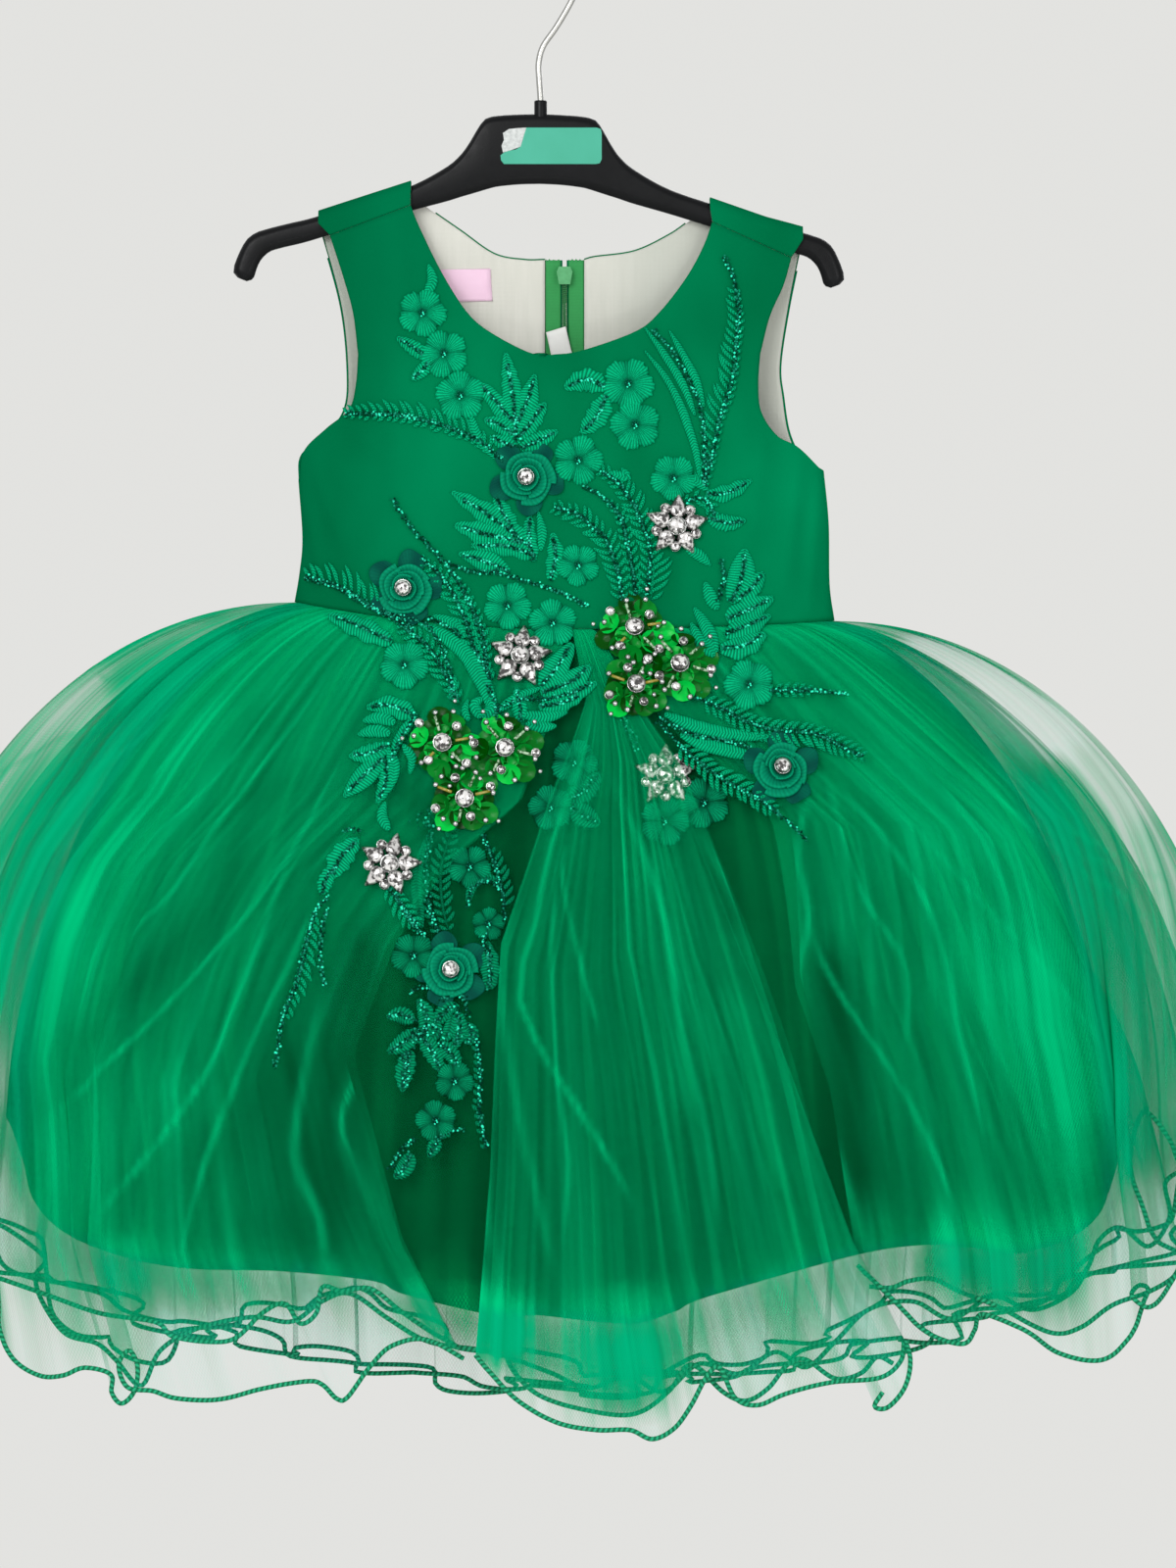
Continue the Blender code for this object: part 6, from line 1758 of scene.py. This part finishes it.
class Tray:
    """Copies of one model, collected and then made into one piece."""

    def __init__(self, model):
        self.points, self.faces = MODELS[model]
        self.places, self.turns, self.tones = [], [], []

    def put(self, at, axes, size, tone):
        self.places.append(at)
        self.turns.append(axes * np.broadcast_to(np.asarray(size, float), (3,))[None, :])
        self.tones.append(tone)

    def finish(self, name, finish):
        count, each = len(self.places), len(self.points)
        points = np.einsum("nij,kj->nki", np.array(self.turns), self.points) + np.array(self.places)[:, None]
        faces = self.faces[None] + (np.arange(count) * each)[:, None, None]
        tone = np.clip(np.repeat(self.tones, each), 0, 1)
        made = build(name, points, faces.reshape(-1, 3), finish, values={"tone": tone}, smooth=False)
        print(name, count, "copies,", len(made.data.polygons), "faces")
        return made


for stitching, name in ((front, "sequins_front"), (gap, "sequins_gap")):
    tray = Tray("seed_bead")
    at, axes = frame_at(stitching.ground, *np.array(stitching.beads)[:, :3].T)
    for k, (u, v, high, size, tone) in enumerate(stitching.beads):
        lean = tilt(0.25 + 0.5 * ((k * 7) % 10) / 10, GOLDEN * k)
        tray.put(at[k], axes[k] @ lean, (size / 2 * PIXEL, size / 2 * PIXEL, size / 2.4 * PIXEL), tone)
    tray.finish(name, SEQUIN)

# %% [markdown]
# ## Star brooches
# Five drop-shaped stones point outwards, small round ones stand between them, and a larger round
# one is in the middle. Each stone sits in its own silver setting.

# %% Stones and settings
stones, drops = Tray("round_stone"), Tray("drop_stone")
settings, drop_settings = Tray("claw_setting"), Tray("drop_stone")


# tone is how bright the stone's painted reflections are.
def set_stone(ground, u, v, high, radius, turn=0.0, tone=0.8, far=0.0, angle=0.0):
    at, axes = around(ground, u, v, far, angle, high)
    axes = axes @ turned(turn, "Z")
    size = radius * PIXEL
    stones.put(at + axes[:, 2] * size * 0.30, axes, (size, size, size * 0.8), tone)
    settings.put(at, axes, size, 0.5)


for ground, u, v, tilted in ((front_ground, 690, 537, 4), (front_ground, 531, 671, 8), (front_ground, 399, 882, 14),
                             (gap_ground, 679, 792, 0)):
    for k in range(5):
        a = math.radians(90 + 72 * k - tilted)
        at, axes = around(ground, u, v, 16.5, a, 0.0030)
        axes = axes @ turned(a, "Z") @ turned(0.22, "Y")
        size = 8.8 * PIXEL
        # Each drop's painted reflections are a different brightness.
        drops.put(at, axes, (size * 1.02, size, size * 0.8), 0.55 + 0.4 * ((k * 3) % 5) / 5)
        drop_settings.put(at - axes[:, 2] * size * 0.35, axes, (size * 1.06, size * 1.06, size * 0.6), 0.1)
        set_stone(ground, u, v, 0.0022, 4.7, k, far=21.0, angle=a + math.radians(36))
    set_stone(ground, u, v, 0.0044, 8.6, tone=0.9)
print(len(drops.places), "drops")

# %% [markdown]
# ## Bead clusters
# Each bloom is a flower of overlapping cup sequins. Glass bugle beads run out over them like rays,
# each ending in a small silver bead, and a larger set stone is in the middle.

# %% Clusters
# Three blooms of the right cluster, three of the left one: middle and size
BLOOMS = ((647, 645, 37), (693, 681, 37), (647, 703, 31), (453, 761, 36), (516, 766, 36), (474, 816, 34))
cups, bugles, silver_beads = Tray("cup"), Tray("bugle"), Tray("seed_bead")
for number, (u, v, r) in enumerate(BLOOMS):
    n = number % 3
    for k in range(11):
        a = math.radians(32.7 * k + 17 * n)
        at, axes = around(front_ground, u, v, r * (0.80, 0.58, 0.72)[k % 3], a, 0.0022 + 0.0009 * (k % 3))
        # Painted glints: one cup in five is painted bright, others a little.
        bright = 1.0 if (k * 3 + n) % 5 == 0 else 0.16 * ((k + n) % 3)
        cups.put(at, axes @ tilt(0.25 + 0.22 * (k % 3), a), 12.6 * PIXEL, bright)
    for k in range(6):
        a = math.radians(60 * k + 30 + 25 * n)
        at, axes = around(front_ground, u, v, r * 0.34, a, 0.0050)
        # The inner cups are painted at different brightness, as painted glints.
        cups.put(at, axes @ tilt(0.3, a), 9.5 * PIXEL, ((k * 3 + n) % 5) / 5)
    for k in range(7):
        a = math.radians(51.4 * k + 11 + 23 * n + 9 * math.sin(2.0 * k + n))
        start, end = 0.36 * r, (0.70 + 0.16 * ((k * 3) % 4) / 4) * r
        if k % 2 == 0:
            at, axes = around(front_ground, u, v, (start + end) / 2, a, 0.0062)
            axes = axes @ turned(a, "Z") @ turned(0.12, "Y")
            bugles.put(at, axes, ((end - start) / 2 * PIXEL, 0.0008, 0.0008), 0.1 if (k + n) % 4 == 0 else 1.0)
        for beyond, size in ((4.5, 4.1), (15.0, 3.4))[: 1 + (k + n) % 2]:
            at, axes = around(front_ground, u, v, end + beyond, a + 0.03 * beyond * math.sin(3 * k), 0.0060)
            silver_beads.put(at, axes @ tilt(0.4, k), (size * PIXEL, size * PIXEL, size * 1.1 * PIXEL), 0.9)
    set_stone(front_ground, u, v, 0.0072, 8.6, n, 0.95)
    for k in range(4):
        angle = math.radians(90 * k + 50 + 31 * n)
        set_stone(front_ground, u, v, 0.0062, 4.2, tone=0.9, far=(0.62, 0.88)[k % 2] * r, angle=angle)
cluster_sequins = cups.finish("cup_sequins", CUP)
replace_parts(cluster_sequins, "bead_cluster_left", "bead_cluster_right")
bugles.finish("bugle_beads", BUGLE)
silver_beads.finish("silver_beads", SILVER)

# %% [markdown]
# ## Cloth roses
# A rose is rolled from strips of organza: a wide, darker layer of petals lies flat below, then
# rings of cupped petals stand up round a set stone, each turned against the one below. One petal
# is a small curved sheet, and the rings are turned copies of it.

# %% Petals
f = Finish("layered organza", (0.001, 0.16, 0.085), 0.6, Specular_IOR_Level=0.03, Sheen_Weight=0.15,
           Sheen_Roughness=0.4, Sheen_Tint=(0.0, 0.6, 0.35, 1))
along, across, _ = f.parts(f.weave())
thread = (along + across * 0.3).ripple(900)
lit = f.blend(thread * 0.4 + f.noise(f.place(), 300.0) * 0.6, (0.0003, 0.190, 0.082), (0.001, 0.34, 0.170))
f.colour(f.value("tone"), lit, (0.0002, 0.060, 0.042))
f.bump(thread, 0.3, 0.0003)
ORGANZA = f.made


def petals(u, v, count, near, far, low, high, wide, tone, lip, turn):
    """Petals round a middle, in sheet units across and metres up. Each ends in a rolled lip."""
    t = np.array((0.0, 0.25, 0.5, 0.7, 0.84, 0.94, 1.0, 1.04))[:, None]
    b = np.linspace(-1, 1, 13)[None, :]
    off = 0.045 * far * (lip > 0)
    for k in range(count):
        a = 2 * np.pi * k / count + turn + b * wide * (1 - 0.10 * t)
        edge = 1 - (0.05 if lip else 0.28) * np.abs(b) ** 3 + 0.025 * np.sin(5 * b + k)
        wound = 1 + (0.10 * b + 0.06 * np.sin(2.3 * k + far)) * (lip > 0)
        reach = near + (far * edge * wound - near) * t
        rise = low + (high - low) * np.clip(t, 0, 1) ** 1.6 + 0.0004 * (k % 2) + 0.0003 * np.sin(3 * b + 2 * k) * t
        rise = rise - lip * np.clip((t - 0.93) / 0.11, 0, 1) ** 2 - 0.0006 * np.abs(b) ** 3
        # Painted shade: the standing petals are darker towards their base, deep in the rose, and the rolled lip is
        # darker where it turns under.
        inside = 0.75 * (1 - np.clip(t, 0, 1)) ** 0.8 if lip else 0.12 * np.sin(4 * b)
        yield (u + off * math.cos(far) + reach * np.cos(a), v + off * math.sin(far) + reach * np.sin(a), rise,
               b * 0.006 + k * 0.013, t * 0.008, tone + inside + 0.3 * (t > 1.02))


# Petals in a ring, inner and outer reach, height there, half width, tone, lip, and the turn of the ring
ROSE_RINGS = (
    (5, 8.0, 38.0, 0.0005, 0.0014, 0.56, 0.90, 0.0, 0.2),
    (4, 6.0, 26.0, 0.0006, 0.0038, 0.98, 0.10, 0.0016, 0.9),
    (3, 5.0, 20.0, 0.0010, 0.0054, 1.25, 0.05, 0.0016, 0.3),
    (3, 3.0, 13.0, 0.0014, 0.0064, 1.25, 0.0, 0.0014, 1.1),
)
ROSES = ((front_ground, 537, 487), (front_ground, 413, 600), (front_ground, 796, 785), (gap_ground, 461, 989))
for number, (ground, u, v) in enumerate(ROSES):
    sewn = Stitching(ground)
    for *ring, turn in ROSE_RINGS:
        for shape in petals(u, v, *ring, turn + number):
            sewn.grid(*shape)
    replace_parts(sewn.make(f"organza_rose_{number + 1}", ORGANZA), f"rose_{number + 1}")
    set_stone(ground, u, v, 0.0056, 7.6, number, 1.0)
brooches = settings.finish("stone_settings", SILVER)
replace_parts(brooches, "star_brooch_1", "star_brooch_2", "star_brooch_3", "star_brooch_4")
drop_settings.finish("drop_settings", SILVER)
stones.finish("round_stones", STONE)
drops.finish("drop_stones", STONE)

# %% [markdown]
# ## Zip, labels and sticker
# The zip's two tapes are woven bands with the nylon coil sewn along their inner edges. A coil is a
# helix, so it is made as one. The labels are bare bands of woven tape, sewn down at their ends.


# %% Tapes and coil
def make_tape(name, dark, light, rib):
    f = Finish(name, dark, 0.7, Sheen_Weight=0.2)
    across, along, _ = f.parts(f.weave())
    weave = along.ripple(rib) * 0.5 + across.ripple(rib * 1.3) * 0.5
    f.colour(weave * 0.6 + f.noise(f.place(), 120.0) * 0.4, dark, light)
    f.bump(weave, 0.4, 0.0003)
    return f.made


ZIP_TAPE = make_tape("zip tape", (0.006, 0.19, 0.035), (0.018, 0.34, 0.075), 1300)
PINK_TAPE = make_tape("pink woven tape", (0.80, 0.50, 0.66), (0.92, 0.68, 0.82), 1700)
WHITE_TAPE = make_tape("white woven tape", (0.66, 0.66, 0.63), (0.86, 0.86, 0.83), 1900)
COIL = make_tape("nylon coil", (0.005, 0.13, 0.028), (0.02, 0.26, 0.06), 800)
COIL_TURNS = 165


def band(name, u, v, inner, finish, node, thick=0.0005, ripple=0.0):
    """A band of tape that lies inside the back. u and v are rows of places, from low to high."""
    grid = on_body(u, v, True, inner)
    if ripple:
        grid[..., 1] -= ripple * (0.5 + 0.5 * np.sin(0.21 * u + 0.13 * v))
    grid = grid[:, ::-1] if u[0, 0] < u[0, -1] else grid
    made = build(name, grid, quads(*grid.shape[:2]), finish, uv=grid[..., ::2])
    apply_modifier(made, "SOLIDIFY", thickness=thick, offset=1.0)
    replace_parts(made, node)


heights = zip_heights(60)[:, None]
for side_name, near, far in (("left", -TAPE_HALF, -0.0021), ("right", 0.0021, TAPE_HALF)):
    across, rows = np.broadcast_arrays(np.linspace(u_of(ZIP_X + near), u_of(ZIP_X + far), 9)[None, :], heights)
    rows = rows.copy()
    rows[0] -= 0.8
    rows[-3:] += np.array((0.3, 0.7, 1.0))[:, None] * 1.6 * np.sin(5 * across[0])
    band(f"woven_zip_tape_{side_name}", across, rows, LINING_IN, ZIP_TAPE, f"zip_tape_{side_name}")

turns = np.linspace(0, 1, 2200)
swirl = 2 * np.pi * COIL_TURNS * turns
middle = on_body(np.full(len(turns), float(u_of(ZIP_X))), mix(WAIST_MIDDLE[1] - 1.5, 283.0, turns), True, 0.0024)
line = middle + np.stack([0.0012 * np.cos(swirl), 0.0006 * np.sin(swirl), 0 * swirl], -1)
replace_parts(tube("nylon_coil", line, 0.00038, 5, COIL), "zip_coil")
print("coil has", COIL_TURNS, "turns")

# %% Slider and pull tab
f = Finish("green enamel", (0.06, 0.33, 0.11), 0.35, Coat_Weight=0.3, Coat_Roughness=0.2)
f.colour(f.noise(f.place(), 500.0), (0.035, 0.26, 0.075), (0.085, 0.40, 0.15))
f.feed("Roughness", f.noise(f.place(), 900.0) * 0.3 + 0.25)
for node in ("zip_slider", "zip_pull"):
    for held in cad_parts[node].material_slots:
        held.material = f.made
print("slider and tab are enamelled")

# %% Labels
for name, node, corners, inner, finish in (
    ("pink_neck_label", "neck_label", "446 306 502 305 500 272 444 273", 0.0027, PINK_TAPE),
    ("white_care_label", "care_label", "572 404 593 398 577 331 557 337", 0.0040, WHITE_TAPE),
):
    a, b, c, d = pairs(corners)
    t, w = np.linspace(0, 1, 13)[:, None, None], np.linspace(0, 1, 9)[None, :, None]
    place = mix(mix(a, b, w), mix(d, c, w), t)
    band(name, place[..., 0], place[..., 1], inner, finish, node, 0.0004, 0.0005)
print("labels are bare")


# %% Size sticker
def raised(thick):
    """Gives the selected face a thickness and a softened rim."""
    bpy.ops.mesh.select_all(action="SELECT")
    extrude(TRANSFORM_OT_translate={"value": (0, -thick, 0)})
    inset(thickness=0.0004)
    move(value=(0, -thick * 0.4, 0))
    bpy.ops.mesh.select_all(action="SELECT")
    bpy.ops.mesh.normals_make_consistent(inside=False)


def flat_film(name, outline, lift, thick, finish):
    """A thin film cut to an outline, on the flat front of the hanger."""
    made = fresh(circle, vertices=len(outline), radius=1.0, fill_type="NGON", rotation=(math.pi / 2, 0, 0))
    bpy.ops.object.transform_apply(rotation=True)
    for v, (a, b) in zip(made.data.vertices, outline):
        v.co = (float(x_of(a)), -HALF_BAR - lift, float(z_of(b)))
    edit(made, everything, raised, thick=thick)
    return take_up(made, finish, name)


f = Finish("mint film", (0.09, 0.53, 0.37), 0.35, Specular_IOR_Level=0.3)
f.colour(f.noise(f.place(), 70.0), (0.048, 0.360, 0.235), (0.062, 0.415, 0.285))
STICKER = pairs("""
    613 130 614 134 614 161 612 165 608 165.8 514 165.8 511 162 510.5 157 514 154 520 152 526 151 531 148 533 142
    534 138 537 128.5 609 128.5""")
film = flat_film("mint_size_sticker", STICKER, 0.0002, 0.0003, f.made)
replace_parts(film, "size_sticker")

f = Finish("torn backing paper", (0.6, 0.62, 0.6), 0.9)
f.colour(f.noise(f.place(), 600.0, 4.0), (0.30, 0.32, 0.31), (0.80, 0.82, 0.80))
f.bump(f.noise(f.place(), 900.0, 3.0), 0.6, 0.0004)
TORN = pairs("537 128.5 534 138 531 148 520 152 513 154 511.5 147 514 141 513 134 519 130 528 129")
flat_film("torn_sticker_corner", TORN, 0.0001, 0.0001, f.made)
print("sticker is bare")

# %% [markdown]
# ## Binding
# The satin turns in at the back neckline and the back armholes and shows there as a narrow green
# line beside the lining. A seam runs down each side.

# %% Binding along the back edges
BINDING = 0.0008
for side_name, sign, side in (("left", -1, SIDE_LEFT), ("right", 1, SIDE_RIGHT)):
    rows = back_grids(sign, strip=False)[0][:10 * FINE + 1, ::-sign]
    for edge_name, line in (("neck", rows[6 * FINE:, 0]), ("armhole", rows[3 * FINE:, -1])):
        tube(f"binding_{edge_name}_{side_name}", line - (0, 0.0006, 0), BINDING, 8, SATIN)
    u, v = curve(side, 24).T
    tube(f"side_seam_{side_name}", np.stack([x_of(u), 0 * u, z_of(v)], -1), BINDING, 8, SATIN)
print("four lengths of binding and two side seams")

# %% [markdown]
# ## Cloth sizes
# Each sheet is listed with the size that it was cut to, and what it hangs from, and its area is
# printed beside that size. The size is its width and length laid flat, and its area where the cut
# isn't a rectangle.

# %% Sheets
# Name, width, length, how it is held, what it rests on, and its area
SHEETS = """
satin_bodice_front 0.3 0.25 stretched moulded_hanger 0.053
satin_bodice_back_left 0.17 0.27 hung moulded_hanger 0.029
satin_bodice_back_right 0.17 0.27 hung moulded_hanger 0.029
cotton_lining_front 0.3 0.25 stretched satin_bodice_front 0.053
cotton_lining_back_left 0.17 0.27 hung satin_bodice_back_left 0.026
cotton_lining_back_right 0.17 0.27 hung satin_bodice_back_right 0.026
underskirt_front_satin 0.62 0.37 gathered satin_bodice_front 0.2
underskirt_back_satin 0.6 0.37 gathered satin_bodice_back_left 0.195
net_front_gathered 0.7 0.4 gathered underskirt_front_satin 0.245
net_back_gathered 0.66 0.4 gathered underskirt_back_satin 0.235
second_tulle_left 0.33 0.41 gathered net_front_gathered 0.104
second_tulle_right 0.3 0.41 gathered net_front_gathered 0.09
second_tulle_middle 0.18 0.41 gathered net_front_gathered 0.057
second_tulle_back 0.75 0.41 gathered net_back_gathered 0.265
outer_tulle_left 0.38 0.42 gathered second_tulle_left 0.125
outer_tulle_right 0.32 0.42 gathered second_tulle_right 0.102
outer_tulle_middle 0.22 0.42 gathered second_tulle_middle 0.066
outer_tulle_back 0.8 0.42 gathered second_tulle_back 0.29
woven_zip_tape_left 0.0102 0.2 stretched cotton_lining_back_left
woven_zip_tape_right 0.0102 0.2 stretched cotton_lining_back_right
pink_neck_label 0.029 0.018 laid cotton_lining_back_left
white_care_label 0.0125 0.036 laid woven_zip_tape_left
"""
DOUBLE = ("satin", "cotton", "underskirt", "woven", "pink", "white")
for row in SHEETS.strip().splitlines():
    name, wide, long, held, on, *area = row.split()
    flat, area = (float(wide), float(long)), float(area[0]) if area else None
    made = bpy.data.objects[name]
    measured = area_of(made) / (2 if name.startswith(DOUBLE) else 1)
    print(f"{name}: {measured:.4f} of {area or flat[0] * flat[1]:.4f} square metres")

# %% [markdown]
# ## Floor
# A plain pale floor lies far enough below for the dress to hang free.

# %% Floor and size
floor = fresh(bpy.ops.mesh.primitive_grid_add, x_subdivisions=8, y_subdivisions=8, size=9.0, location=(0, 0, -1.62))
floor.name = "floor"
f = Finish("pale floor", (0.74, 0.74, 0.72), 0.8)
f.colour(f.noise(f.place(), 3.0), (0.73, 0.73, 0.71), (0.76, 0.76, 0.74))
floor.data.materials.append(f.made)
floor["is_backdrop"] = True

final_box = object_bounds()
total = sum(sum(len(p.vertices) - 2 for p in o.data.polygons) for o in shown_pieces() if o.type == "MESH")
print("triangles:", total)
for low, high, axis in zip(*final_box, "xyz"):
    print(axis, round(low, 4), round(high, 4))
